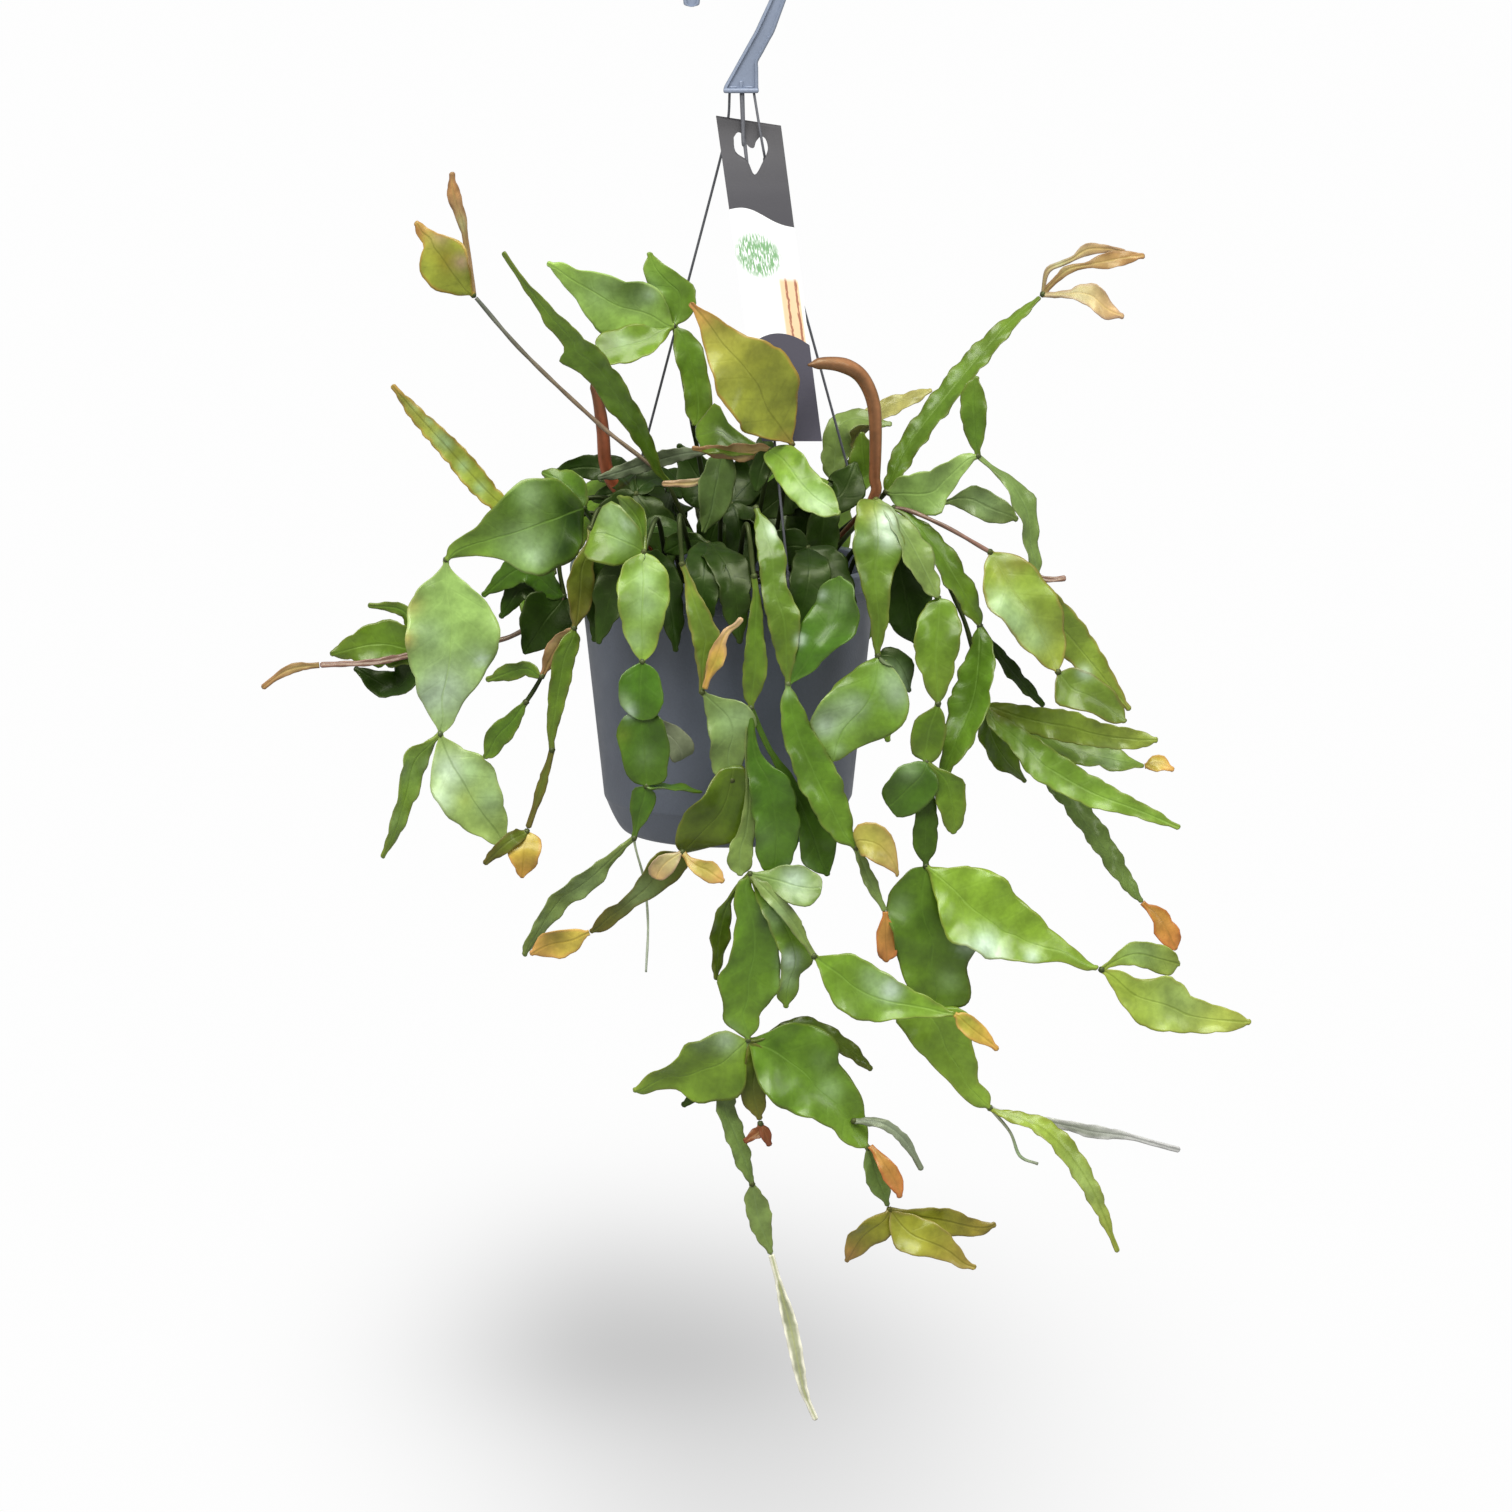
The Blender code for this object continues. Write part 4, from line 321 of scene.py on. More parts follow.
# The plant, stem by stem: the colour, the root on the soil (millimetres right of the pot's axis
# and toward the viewer), the places the stalk bends at, and the segments. Each has its kind, width,
# turn of the face at the base and at the tip in degrees, the line it follows, and its tint where it
# differs from the stem's. A drawn segment has no width: its line is followed by its two margins,
# across and down in half millimetres of the sheet. A segment that starts where another ends grows
# from that one. A stem without a root is a young shoot on the end of another stem.
STEMS = {
    "stem_reach_left": ("leaf green", (-12, 4), "", [
        ("stalk", 2.2, (0, 0), "334,241,12 300,212.5,6 262,176.5,0 238,149,-4", "twig"),
        ("drawn", (20, 35), "334,241,12 318,210,28 296,182,36 270,155,38 251.5,126,36",
         "662,468 656,448 648,424 640,408 630,388 620,372 606,352 590,338 574,326 557,310 543,297 530,284 "
         "515,267",
         "656,474 644,456 630,434 614,414 600,396 588,376 572,367 561,360 566,350 560,340 548,326 538,310 "
         "528,295 514,273"),
    ]),
    "young_reach_left": ("lime", None, "", [
        ("drawn", (25, -10), "238,149,-4 224,134,2 207.5,111,0",
         "461,298 445,292 428,284 421,272 420,258 424,246 416,235",
         "474,280 471,262 468,248 461,240 450,237 439,232 428,228 421,222", "yellow"),
        ("drawn", (10, 10), "238,149,-4 236,128,-10 230,104,-10 226,86,-8",
         "471,275 467,252 462,235 456,218 449,202 447,188",
         "474,278 471,258 469,240 468,222 464,205 460,190 455,178", "tan"),
    ]),
    "stem_fan_top": ("leaf green", (-8, -14), "", [
        ("drawn", (10, 20), "337,163,-6 305,148,0 273.5,131.5,4",
         "664,295 650,282 630,277 605,272 580,268 562,262",
         "664,336 640,338 615,338 600,331 587,314 573,296 559,280", "spring"),
        ("drawn", (-25, -35), "337,163,-6 318,173,2 299,177,6",
         "655,325 630,327 605,333 595,342",
         "664,342 652,356 634,363 616,368 603,365", "bright"),
        ("drawn", (15, 0), "337,163,-6 339,146,-8 324.5,126,-10",
         "665,305 661,292 650,286 643,270",
         "690,318 698,302 696,288 685,277 667,265", "bright"),
        ("drawn", (10, 10), "337,163,-6 343,188,-2 347,213,2",
         "673,346 675,362 681,378 683,397 686,414",
         "690,332 702,346 706,364 710,382 712,402 708,420"),
    ]),
    "stem_front_upright": ("leaf green", (12, 30), "", [
        ("drawn", (10, 25), "385,225,59 402,242,77 420,257,86",
         "786,444 802,453 812,468 824,482 836,495",
         "764,458 773,475 782,490 794,504 808,514 824,518", "bright"),
        ("drawn", (-10, -40), "385,225,59 370,216,54 350,219,44",
         "745,436 730,424 719,406 706,414 696,427",
         "750,456 725,457 704,454"),
        ("ovate", 10, (55, 60), "385,225,59 370,226,58 346,224,54", "tan"),
        ("lance", 12, (0, 0), "385,225,59 381,233,60 378,246,62", "dark"),
    ]),
    "young_leaf_upright": ("lime", (22, 27), "", [
        ("drawn", (-30, 0), "396,222,61 390,212,67 374,188,77 345,151.5,74",
         "762,438 742,432 732,422 726,410 717,399 713,384 708,365 703,345 698,325",
         "794,425 797,408 795,385 791,365 783,352 771,344 755,338 738,331 724,321 706,310", "yellow"),
    ]),
    "stem_centre": ("sage green", (-4, 16), "", [
        ("drawn", (15, 25), "361,227,28 360,245,34 351.5,266.5,36",
         "708,458 701,472 696,488 697,505 700,520",
         "732,458 735,475 733,492 726,510 715,524"),
        ("late", 9, (40, 40), "361,227,28 348,226,20 332,229,9 299,239,10", "grey"),
        ("late", 4, (30, 30), "361,227,28 351,240,34 331,242,32", "khaki"),
        ("ovate", 12, (20, 20), "361,227,28 374,226,30 381,245,30", "dark"),
    ]),
    "stem_front_long": ("leaf green", (17, 49), "", [
        ("drawn", (15, -10), "378,254,70 386,279,88 391,308,97 394,342,99",
         "754,530 757,555 760,580 763,603 768,625 773,645 779,666",
         "772,524 781,540 787,560 786,580 793,598 801,615 800,635 797,655 793,672"),
        ("drawn", (20, 30), "394,342,99 404,323,101 420,288,98",
         "793,664 797,648 802,630 811,612 818,596 826,582",
         "800,680 816,670 832,654 848,646 858,634 862,617 859,600 853,585", "forest"),
        ("drawn", (10, 20), "394,342,99 405,375,103 416,402,105 428,424,106",
         "781,698 780,722 784,745 790,765 798,788 810,808 821,826 836,842",
         "796,694 806,714 818,738 830,758 840,778 847,798 852,820"),
        ("lance", 7, (0, 20), "428,424,106 435,441,106 442.5,455.5,106", "sage"),
    ]),
    "young_amber_side": ("amber", None, "", [
        ("drawn", (10, 30), "428.6,422.6,108.2 438,423,111 449,438,112",
         "852,832 860,823 880,825 892,839 898,858",
         "861,856 874,864 889,870", "ochre"),
    ]),
    "young_amber_low": ("amber", None, "", [
        ("drawn", (20, 20), "442.5,455.5,106 442.8,468,105 443,481,104",
         "878,924 875,940 877,955",
         "892,924 896,940 896,954"),
    ]),
    "stem_front_right": ("leaf green", (46, 34), "", [
        ("drawn", (10, 0), "438,250,58 438,272,78 438,300,88 439,328,92",
         "858,502 855,520 851,545 855,565 860,585 866,605 870,625 872,644",
         "890,510 900,528 904,547 899,562 892,580 890,600 889,620 884,640"),
        ("drawn", (-15, 20), "439,328,92 431,350,97 415,381,98",
         "862,664 845,676 828,690 816,704 809,719 814,733 821,746",
         "890,663 902,680 910,700 904,721 890,732 872,742 853,750 840,760", "bright"),
        ("ovate", 15, (30, 30), "439,328,92 448,330,90 455,346,86", "dark"),
        ("late", 18, (25, 35), "438,250,58 449,262,70 459,280,80 469,299,84", "sage"),
        ("drawn", (5, 10), "469,299,80 471,325,90 469,352,94",
         "926,604 917,620 913,638 913,656 920,675 928,694",
         "952,602 960,618 961,638 957,658 952,678 945,696"),
        ("drawn", (0, 0), "469,352,94 464,366,95 463,381,95",
         "924,712 913,722 910,740 912,754",
         "944,714 947,730 942,750 934,762"),
        ("drawn", (10, 10), "463,381,95 456,392,99 443,402,100",
         "914,761 898,766 886,777 881,792",
         "936,776 936,792 926,805 912,815 897,817", "forest"),
        ("drawn", (0, 10), "463,381,95 474,394,96 477,417,97",
         "936,780 934,796 940,815 946,830",
         "950,772 964,780 966,800 963,824"),
        ("drawn", (20, 0), "463,381,95 463,405,94 463,433,94",
         "919,790 915,812 912,832 914,850",
         "934,790 937,812 938,835 935,852", "deep"),
        ("drawn", (10, 10), "463,433,94 463,470,97 466,505,98",
         "910,869 896,881 886,898 885,918 892,942 898,965 905,985 915,1002",
         "942,874 952,900 962,925 974,948 966,968 970,990 962,1006"),
        ("drawn", (15, 35), "463,433,94 495,452,100 525,472,100 549,484,96",
         "940,867 958,867 973,866 990,872 1002,880 1012,892 1025,906 1040,920 1052,930 1068,944 1083,956",
         "934,895 940,925 948,942 962,950 976,955 985,962 1000,960 1012,964 1035,965 1058,962 1075,968 "
         "1088,971", "bright"),
        ("drawn", (10, 10), "466,505,98 476,525,98 486,543,98 495,554,97",
         "896,1016 902,1032 916,1050 932,1066 946,1080 960,1095 974,1107",
         "958,1006 973,1022 971,1042 977,1060 978,1078 990,1094", "bright"),
        ("drawn", (0, 0), "495,554,97 530,561,94 560,568,90 590,575,86",
         "1000,1109 1048,1117 1079,1122 1103,1126 1127,1132 1144,1138 1163,1144",
         "1000,1116 1048,1126 1072,1132 1091,1138 1113,1139 1130,1140 1149,1144 1166,1148", "ash"),
        ("lance", 12, (10, 30), "495,554,97 522,565,100 543,590,102 559,626,102", "lime"),
        ("stalk", 1.6, (0, 0), "495,554,97 505,566,96 510,578,96 519,582,96", "pale"),
        ("late", 26, (-30, -30), "438,250,58 449,280,62 458,322,66", "dark"),
    ]),
    "stem_right_upper": ("leaf green", (42, 2), "", [
        ("strap", 15, (15, 30), "443,246,30 455,222,26 480,191,20 502,165,14 520,148.5,10"),
        ("drawn", (-10, 10), "443,246,30 464,236,36 489,228,38",
         "900,475 925,470 940,464 955,457 968,452",
         "900,508 925,516 942,512 947,500 955,488 966,472", "fresh"),
        ("drawn", (10, 20), "489,228,38 491,207,38 488.5,188,36",
         "967,440 962,420 960,400 966,384",
         "983,444 987,425 988,408 984,390"),
        ("drawn", (35, 50), "489,228,38 499,239,38 514,258,40 519,288,44",
         "990,470 1003,485 1010,505 1018,520 1023,545 1029,565",
         "1005,473 1022,485 1033,500 1036,515 1037,540 1041,560", "sage"),
        ("lance", 3, (0, 0), "519,288,44 524,290,45 533,289,45", "pink"),
        ("drawn", (10, 10), "443,246,30 462,246,24 480,252,22 509,260,26",
         "920,502 948,499 962,490 975,485 988,490 1000,497 1012,506",
         "920,510 948,505 965,512 985,522 1002,524", "sage"),
    ]),
    "young_right_trio": ("amber", None, "", [
        ("drawn", (20, 0), "520,148.5,10 528,133,9 545,123.5,5 563,126.5,2",
         "1044,270 1058,264 1071,258 1077,250 1087,243 1108,245 1120,249",
         "1046,277 1059,267 1077,260 1093,255 1108,253", "khaki"),
        ("drawn", (10, 20), "520,148.5,10 535,136,12 552,131,14 572.4,128,12",
         "1043,288 1051,280 1062,268 1071,265 1086,263 1093,258 1103,254 1117,251 1128,251 1138,253",
         "1046,294 1053,287 1065,278 1076,272 1090,269 1106,270 1120,267 1134,262", "tan"),
        ("drawn", (20, 20), "520,148.5,10 538,147,16 550,149,20 562,158.5,20",
         "1055,293 1070,291 1078,286 1090,284 1099,287 1107,296 1114,305",
         "1050,300 1058,300 1071,301 1080,304 1089,309 1095,315 1101,319 1110,320", "khaki"),
    ]),
    "stem_right_front": ("leaf green", (55, 22), "", [
        ("stalk", 2.2, (0, 0), "447,254,46 470,262,54 495,276,56", "pink"),
        ("drawn", (20, 30), "495,276,56 509,303,64 529,336,66",
         "984,565 981,585 983,600 990,615 1003,628 1018,645 1032,658 1046,668",
         "1005,552 1020,558 1034,570 1046,584 1056,602 1063,622 1065,642 1063,660", "ripe"),
        ("drawn", (0, 10), "495,276,56 515,296,52 538,322,50 565,355,50",
         "1000,580 1020,610 1045,640 1068,662 1090,682 1112,700",
         "1010,555 1035,572 1056,592 1080,618 1098,645 1112,670 1124,694", "ripe"),
        ("drawn", (20, 30), "529,336,66 545,346,68 563,361,66",
         "1075,668 1100,680 1115,695 1124,708",
         "1053,690 1056,706 1075,711 1095,717 1112,724", "flushed"),
        ("late", 17, (20, 30), "447,254,46 466,272,54 480,294,58 490,313,62"),
        ("lance", 22, (-20, -30), "490,313,62 488,345,76 478,372,84 469,394,88"),
        ("late", 9, (20, 20), "490,313,62 505,335,56 522,353,54", "dark"),
    ]),
    "stem_right_lime": ("lime", (60, 2), "452,262,6 480,305,20", [
        ("drawn", (10, 15), "492,352,34 525,362,46 553,368,50 579,370,50",
         "1000,702 1025,705 1050,708 1075,711 1090,718 1110,724 1130,728 1148,733",
         "1000,720 1030,734 1060,742 1090,747 1120,750 1145,748"),
        ("drawn", (15, 20), "492,352,34 525,376,56 560,400,62 590,414,62",
         "1005,718 1030,733 1060,754 1085,771 1110,785 1135,799 1160,812",
         "988,726 1004,742 1018,760 1030,778 1048,788 1070,800 1095,810 1125,815 1155,824", "bright"),
        ("late", 18, (20, 30), "492,352,34 530,373,34 555,380,36 572,383,38", "bright"),
        ("ovate", 20, (30, 30), "492,352,34 498,374,26 513,391,24", "leaf"),
        ("late", 14, (10, 20), "492,352,34 522,385,28 545,415,30 571,451,30", "sage"),
    ]),
    "young_ochre_tip": ("amber", None, "", [
        ("lance", 9, (10, 10), "572,383,38 579,382,38 587,385,38", "gold"),
    ]),
    "young_orange_right": ("amber", None, "", [
        ("late", 13, (0, 20), "571,451,30 580,460,30 588,475,30"),
    ]),
    "young_right_pair": ("lime", None, "", [
        ("drawn", (0, -10), "549,484,96 567,472,94 590,482,90",
         "1110,955 1125,943 1140,939 1158,943 1174,950",
         "1115,965 1135,965 1155,972 1171,974"),
        ("drawn", (10, 20), "549,484,96 580,500,98 605,508,96 625.5,511,94",
         "1115,968 1140,978 1165,975 1180,982 1192,996 1210,1003 1235,1011",
         "1108,985 1120,1005 1138,1025 1155,1031 1175,1033 1210,1034 1238,1030"),
    ]),
    "stem_front_chain": ("leaf green", (5, 56), "373,262,80", [
        ("drawn", (10, 0), "377,288,91 377,320,96 375.5,354,98",
         "752,596 749,612 746,635 743,660 742,680 744,698",
         "761,598 763,615 764,635 767,655 768,668 764,685 758,698"),
        ("drawn", (0, 20), "375.5,354,98 380,384,102 387,410,103 386,437,104",
         "748,725 747,745 746,766 749,797 752,822 755,850 761,868",
         "755,725 758,745 768,762 784,773 794,788 798,812 799,836 794,856 784,870", "forest"),
        ("drawn", (20, 30), "375.5,354,98 395,392,96 408,415,96 414,438,95",
         "764,745 785,790 795,830 804,866",
         "770,745 792,775 812,806 828,830 835,845 834,862", "deep"),
        ("drawn", (10, 10), "375.5,354,98 373,380,99 373.5,405,101 370,438,107",
         "744,740 745,770 744,800 737,832 729,845 727,865",
         "751,745 752,770 754,800 755,830 753,850 751,868", "sage"),
        ("drawn", (10, 30), "375,437,109 393,436,111 411,444,111",
         "765,870 785,865 802,866 815,872 822,880",
         "763,884 778,897 793,907 808,907 819,898", "sage"),
        ("drawn", (20, 40), "375,437,109 361,460,105 358,490,105",
         "738,884 727,898 715,912 709,932 711,952 712,968",
         "732,900 731,916 729,935 725,950 721,966", "moss"),
        ("drawn", (5, 5), "375,437,109 370,470,108 372,500,108 374,520,108",
         "738,882 733,900 735,920 731,942 727,960 716,980 722,1000 724,1022",
         "754,890 763,905 772,925 778,942 780,962 780,985 770,1002 762,1012 758,1028"),
        ("drawn", (15, 30), "375,437,109 393,460,111 398,485,109 393,504,107",
         "756,900 766,925 776,948 780,975 776,995",
         "765,890 782,905 795,915 804,930 811,950 810,963 800,976 796,994"),
        ("lance", 8, (0, 0), "375,437,109 392,455,115 407,478,115", "sage"),
        ("drawn", (10, 20), "407,478,115 430,486,116 455,498,116 477,507,115",
         "828,955 850,953 865,960 885,972 905,985 925,995 942,1005",
         "820,975 828,995 838,1010 855,1020 875,1023 900,1020 925,1018 942,1018", "bright"),
        ("drawn", (10, 30), "374,520,108 350,524,112 333,535,112 316.5,545,110",
         "736,1034 720,1029 700,1033 686,1040 678,1051 668,1062 653,1070 641,1081",
         "746,1070 738,1092 722,1098 705,1100 690,1096 678,1088 660,1090 643,1094", "bright"),
        ("drawn", (20, 0), "374,520,108 378,540,105 380,560,105",
         "744,1060 739,1085 744,1106",
         "764,1048 768,1066 766,1088 766,1106", "olive"),
        ("drawn", (15, 30), "374,520,108 400,528,104 420,548,104 434,574,104",
         "765,1033 785,1023 805,1023 825,1032 834,1046 836,1060 848,1076 857,1092 863,1108 868,1128",
         "752,1062 758,1086 767,1102 785,1112 805,1120 830,1129 840,1140 852,1148"),
        ("late", 10, (20, 20), "374,520,108 400,512,96 420,522,94 436,535,94", "moss"),
        ("late", 8, (20, 20), "374,520,108 358,540,100 341,553,98", "dark"),
        ("late", 12, (10, 30), "374,520,108 362,548,104 369,572,104 376,592,104", "sage"),
        ("lance", 13, (0, 10), "376,592,104 379,608,104 385.5,627,104", "sage"),
        ("lance", 13, (10, 20), "434,574,104 439,590,104 444,603,104", "sage"),
        ("lance", 6, (0, 0), "427,560.5,104 441,562,108 452,570,109 461,585,109", "grey"),
    ]),
    "young_orange_low": ("amber", None, "", [
        ("drawn", (20, 20), "434.8,572.8,106.2 445,580,110 450,599,111",
         "880,1151 892,1162 902,1176 903,1190",
         "875,1162 881,1177 891,1190"),
    ]),
    "young_chain_tip": ("amber", None, "", [
        ("drawn", (10, 20), "477,507,115 487,513,116 499,525,115",
         "965,1012 980,1022 990,1034",
         "957,1028 970,1040 986,1046", "gold"),
    ]),
    "young_brown_tip": ("rust", None, "", [
        ("lance", 6, (10, 10), "380,560,105 379,566,106 372,571,107"),
        ("lance", 6, (10, 10), "380,560,105 382,566,106 385,573,106"),
    ]),
    "young_low_trio": ("lime", None, "", [
        ("drawn", (20, 40), "444,603,104 430,611,108 423,631,108",
         "880,1210 868,1215 856,1221 848,1229 845,1240 844,1252",
         "893,1222 887,1233 878,1240 866,1249 855,1257", "drab"),
        ("drawn", (10, 20), "444,603,104 465,615,110 488,634,110",
         "905,1210 920,1215 935,1222 948,1232 954,1239 960,1247 966,1257",
         "888,1222 890,1236 896,1248 906,1254 925,1257 940,1260 950,1264 962,1269", "drab"),
        ("drawn", (0, 0), "444,603,104 470,605,102 498,612,98",
         "905,1206 920,1206 936,1205 950,1207 962,1212 972,1217 984,1221",
         "905,1215 920,1224 935,1231 952,1235 968,1236 982,1235 990,1231", "drab"),
    ]),
    "young_pale_tail": ("pale", None, "", [
        ("drawn", (10, 10), "385.5,627,104 391,650,104 399,680,104 408,710,104",
         "775,1284 780,1315 786,1341 792,1367 799,1391 807,1406",
         "780,1276 787,1294 795,1315 801,1341 805,1367 808,1388 811,1401"),
    ]),
    "stem_front_mid": ("sage green", (-16, 50), "340,258,80", [
        ("drawn", (5, 15), "341,282,90 345,310,95 351,346,97",
         "684,580 685,598 686,615 690,635 694,655 698,675",
         "692,578 700,595 708,608 714,622 720,636 712,652 706,672", "flushed"),
        ("drawn", (0, 10), "351,346,97 362,366,98 366,390,98",
         "704,705 706,722 709,740 709,758 714,774",
         "722,697 738,700 750,706 757,724 748,742 744,760 738,774"),
        ("drawn", (10, 30), "366,390,98 356,406,99 341,427,101",
         "722,768 712,778 702,791 690,801 681,813 676,828 674,844",
         "743,766 749,785 752,806 750,826 735,836 718,843 700,850", "moss"),
        ("drawn", (20, 30), "341,427,101 322,445,103 295,466,103",
         "672,850 660,851 648,860 638,875 632,888 618,900 605,909 595,921",
         "688,868 672,881 655,896 640,902 626,915 612,925 601,932", "olive"),
    ]),
    "young_olive_node": ("amber", None, "", [
        ("drawn", (0, 0), "342.6,425,104.7 336,430,109 329,440,110",
         "668,852 654,858 648,868 650,876",
         "680,862 672,874 664,880", "khaki"),
        ("drawn", (20, 20), "342.6,425,104.7 350,430,109 362,441,110",
         "700,859 714,861 722,871",
         "690,868 700,878 712,884", "ochre"),
    ]),
    "young_curl": ("amber", None, "", [
        ("drawn", (20, -20), "352.2,344.4,98.6 359,333,104 366,320,107 371,309,108",
         "705,674 708,656 712,645 718,637 725,628 735,624",
         "714,675 724,664 727,652 726,643 730,634 737,626", "cream"),
    ]),
    "young_bottom_left": ("amber", None, "", [
        ("drawn", (10, 10), "295,466,103 281,469,104 265,477,104",
         "582,929 565,928 550,929 538,937",
         "585,940 578,950 565,956 545,957", "gold"),
    ]),
    "stem_front_left": ("leaf green", (-30, 44), "329,260,66", [
        ("drawn", (5, 10), "322,276,84 320,302,94 321,331,97",
         "633,557 622,566 617,582 615,598 618,614 622,630 628,645 635,655",
         "655,557 665,569 670,587 669,603 664,618 661,632 656,648 650,657", "bright"),
        ("drawn", (-10, -20), "322,276,84 310,271,84 295,268,80",
         "640,530 628,514 614,502 603,506 597,520",
         "640,556 630,563 612,567 596,565 586,556"),
        ("drawn", (20, 30), "322,276,84 319,262,74 309,248,66",
         "636,530 622,512",
         "648,530 646,512 638,500 628,496"),
        ("ovate", 17, (20, 20), "322,276,84 332,290,76 338,326,84", "dark"),
        ("ovate", 19, (-20, -10), "322,276,84 309,290,80 299,322,80", "dark"),
        ("drawn", (10, 0), "321,331,97 320,346,100 320,360,101",
         "630,667 621,674 617,687 618,700 624,710 632,717",
         "652,667 660,677 663,690 663,704 657,716 648,720", "forest"),
        ("drawn", (0, 10), "320,360,98 321,376,99 323,393,99",
         "628,714 620,720 616,733 618,748 622,762 626,775 634,783",
         "655,714 663,720 668,735 670,750 668,766 666,778 658,784", "forest"),
        ("drawn", (20, 20), "320,360,98 333,362,94 340,380,90",
         "655,718 668,722 682,729 691,740 693,752",
         "650,735 664,750 672,762", "grey"),
        ("drawn", (20, 10), "323,393,99 321,406,99 317,419,99",
         "634,787 630,797 629,810 632,824",
         "652,790 657,797 653,808 645,822", "forest"),
        ("ovate", 9, (50, 50), "323,393,99 336,394,96 351,396,90", "forest"),
        ("drawn", (20, 30), "317,419,99 302,430,98 282,443,97 262,478,96",
         "618,846 604,857 588,866 570,879 553,892 541,908 532,927 523,944",
         "625,850 612,865 602,881 588,893 572,902 558,917 545,932 533,948", "sage"),
        ("stalk", 1.2, (0, 0), "317,419,99 322,440,96 324,462,95 323,486,95", "pale"),
    ]),
    "stem_left_drop": ("leaf green", (-44, 30), "302,256,56", [
        ("drawn", (20, 30), "295,264,66 286,290,76 287,314,78",
         "584,545 572,562 566,580 566,596 569,612",
         "596,548 592,570 594,592 588,610 581,622", "olive"),
        ("lance", 10, (30, 30), "287,314,78 279,322,76 271,338,74", "tan"),
        ("stalk", 2.2, (0, 0), "271,338,74 267,345,73 263,351,72", "stalk"),
        ("drawn", (10, 10), "263,351,72 253,360,72 242,379,72",
         "516,706 504,716 491,724 484,736",
         "524,715 516,732 505,745 495,757"),
        ("lance", 10, (40, 40), "271,338,74 262,334,70 243,340,66"),
        ("drawn", (20, 0), "287,314,78 281,345,80 276,375,80",
         "562,638 553,655 549,680 547,705 547,735",
         "581,640 576,655 571,680 566,700 560,722"),
        ("lance", 5, (0, 0), "276,375,80 271,393,80 264,414,78", "olive"),
    ]),
    "young_left_pair": ("lime", None, "", [
        ("strap", 8, (10, 30), "264,414,78 254,421,86 242,432,84", "olive"),
        ("ovate", 18, (0, 20), "264,414,78 262,426,84 261,439,84", "gold"),
    ]),
    "stem_left_arch": ("leaf green", (-50, 14), "", [
        ("drawn", (0, 20), "292,254,32 266,256,50 243,266,56 223,280,56",
         "578,497 563,484 545,477 527,477 510,484 497,496 487,510 478,524 463,534 449,545",
         "583,530 572,556 556,568 540,573 522,571 506,562 490,556 468,556", "bright"),
        ("drawn", (5, 15), "223,280,56 222,310,62 223,340,64 220,367,62",
         "437,572 420,586 409,601 405,622 403,642 408,662 413,680 417,695 427,712 434,724",
         "456,574 472,588 487,603 497,620 499,638 494,656 485,672 473,688 463,702 456,720 "
         "447,730", "fresh"),
        ("drawn", (20, 40), "220,367,62 204,385,64 197,405,64 191,429,62",
         "424,741 407,749 400,763 398,785 393,808 387,830",
         "433,750 425,768 418,790 409,812 398,838", "bright"),
        ("drawn", (10, 10), "220,367,62 234,390,68 253,421,68",
         "434,752 431,770 429,784 434,800 446,816 456,824 466,831 482,839 495,845",
         "452,741 468,750 484,757 493,766 499,784 504,802 508,822", "veined"),
        ("ovate", 16, (20, 20), "292,254,32 283,242,26 271,236,20"),
    ]),
    "stem_left_low": ("deep green", (-58, -8), "299,258,-6 284,263,-5 279.5,280,-3", [
        ("ovate", 27, (15, 25), "282,298,0 272,311,6 262,327,8"),
        ("lance", 16, (20, 20), "282,298,0 262,284,4 241,298,6", "forest"),
        ("ovate", 14, (10, 20), "282,298,0 262,294,0 250,309,2"),
        ("stalk", 2.6, (0, 0), "282,298,0 256,318,-4 230,322,-4 212,326,-4", "pink"),
        ("ovate", 23, (15, 25), "212,326,-4 190,322,-2 165,327,-2", "leaf"),
        ("ovate", 18, (-10, -20), "212,326,-4 198,344,-8 177,334,-10"),
        ("lance", 8, (40, 40), "212,326,-4 203,306,-6 184,302.5,-8", "leaf"),
        ("lance", 4, (0, 0), "212,326,-4 188,331,6 160,332.5,8", "pink"),
    ]),
    "young_twig_left": ("rust", None, "", [
        ("lance", 5, (20, 20), "160,332.5,8 144,335,8 131,344,8", "tan"),
    ]),
    "stem_left_yellow": ("lime", (-40, -14), "306,250,-10", [
        ("strap", 12, (10, 30), "262,258,-4 248,250,-4 222,222,-6 196,192.5,-8", "yellow"),
    ]),
    # The stems about the rim and inside the plant take the dark tint: deep green darkened by painted shade
    "stem_inner_right": ("deep green", (30, 13), "", [
        ("ovate", 18, (10, 10), "412,250,38 411,266,42 410,286,41"),
        ("ovate", 20, (-20, 0), "412,250,38 421,247,34 428,231,28"),
        ("ovate", 21, (10, 20), "412,250,38 396,246,30 376,260,26"),
        ("ovate", 20, (10, 20), "412,250,38 402,262,30 398,284,27"),
    ]),
    "stem_inner_left": ("deep green", (-22, 10), "", [
        ("ovate", 16, (20, 20), "318,247,14 306,236,-18 288,234,-22 270,242,-18"),
        ("late", 13, (20, 20), "318,247,14 310,246,-16 296,250,-20"),
        ("ovate", 18, (20, 20), "318,247,14 330,240,2 341,249,-2"),
        ("ovate", 20, (10, 10), "318,247,14 328,263,18 336,284,20"),
        ("ovate", 20, (10, 10), "318,247,14 307,262,12 297,280,8"),
    ]),
    "stem_inner_middle": ("deep green", (2, -9), "", [
        ("ovate", 24, (20, 20), "366,252,-10 352,242,-24 339,222,-30"),
        ("ovate", 22, (10, 10), "366,252,-10 378,236,-12 384,216,-14"),
        ("ovate", 24, (10, 10), "366,252,-10 384,256,-4 404,270,2"),
        ("ovate", 20, (0, 0), "366,252,-10 358,262,-5 352,282,-4"),
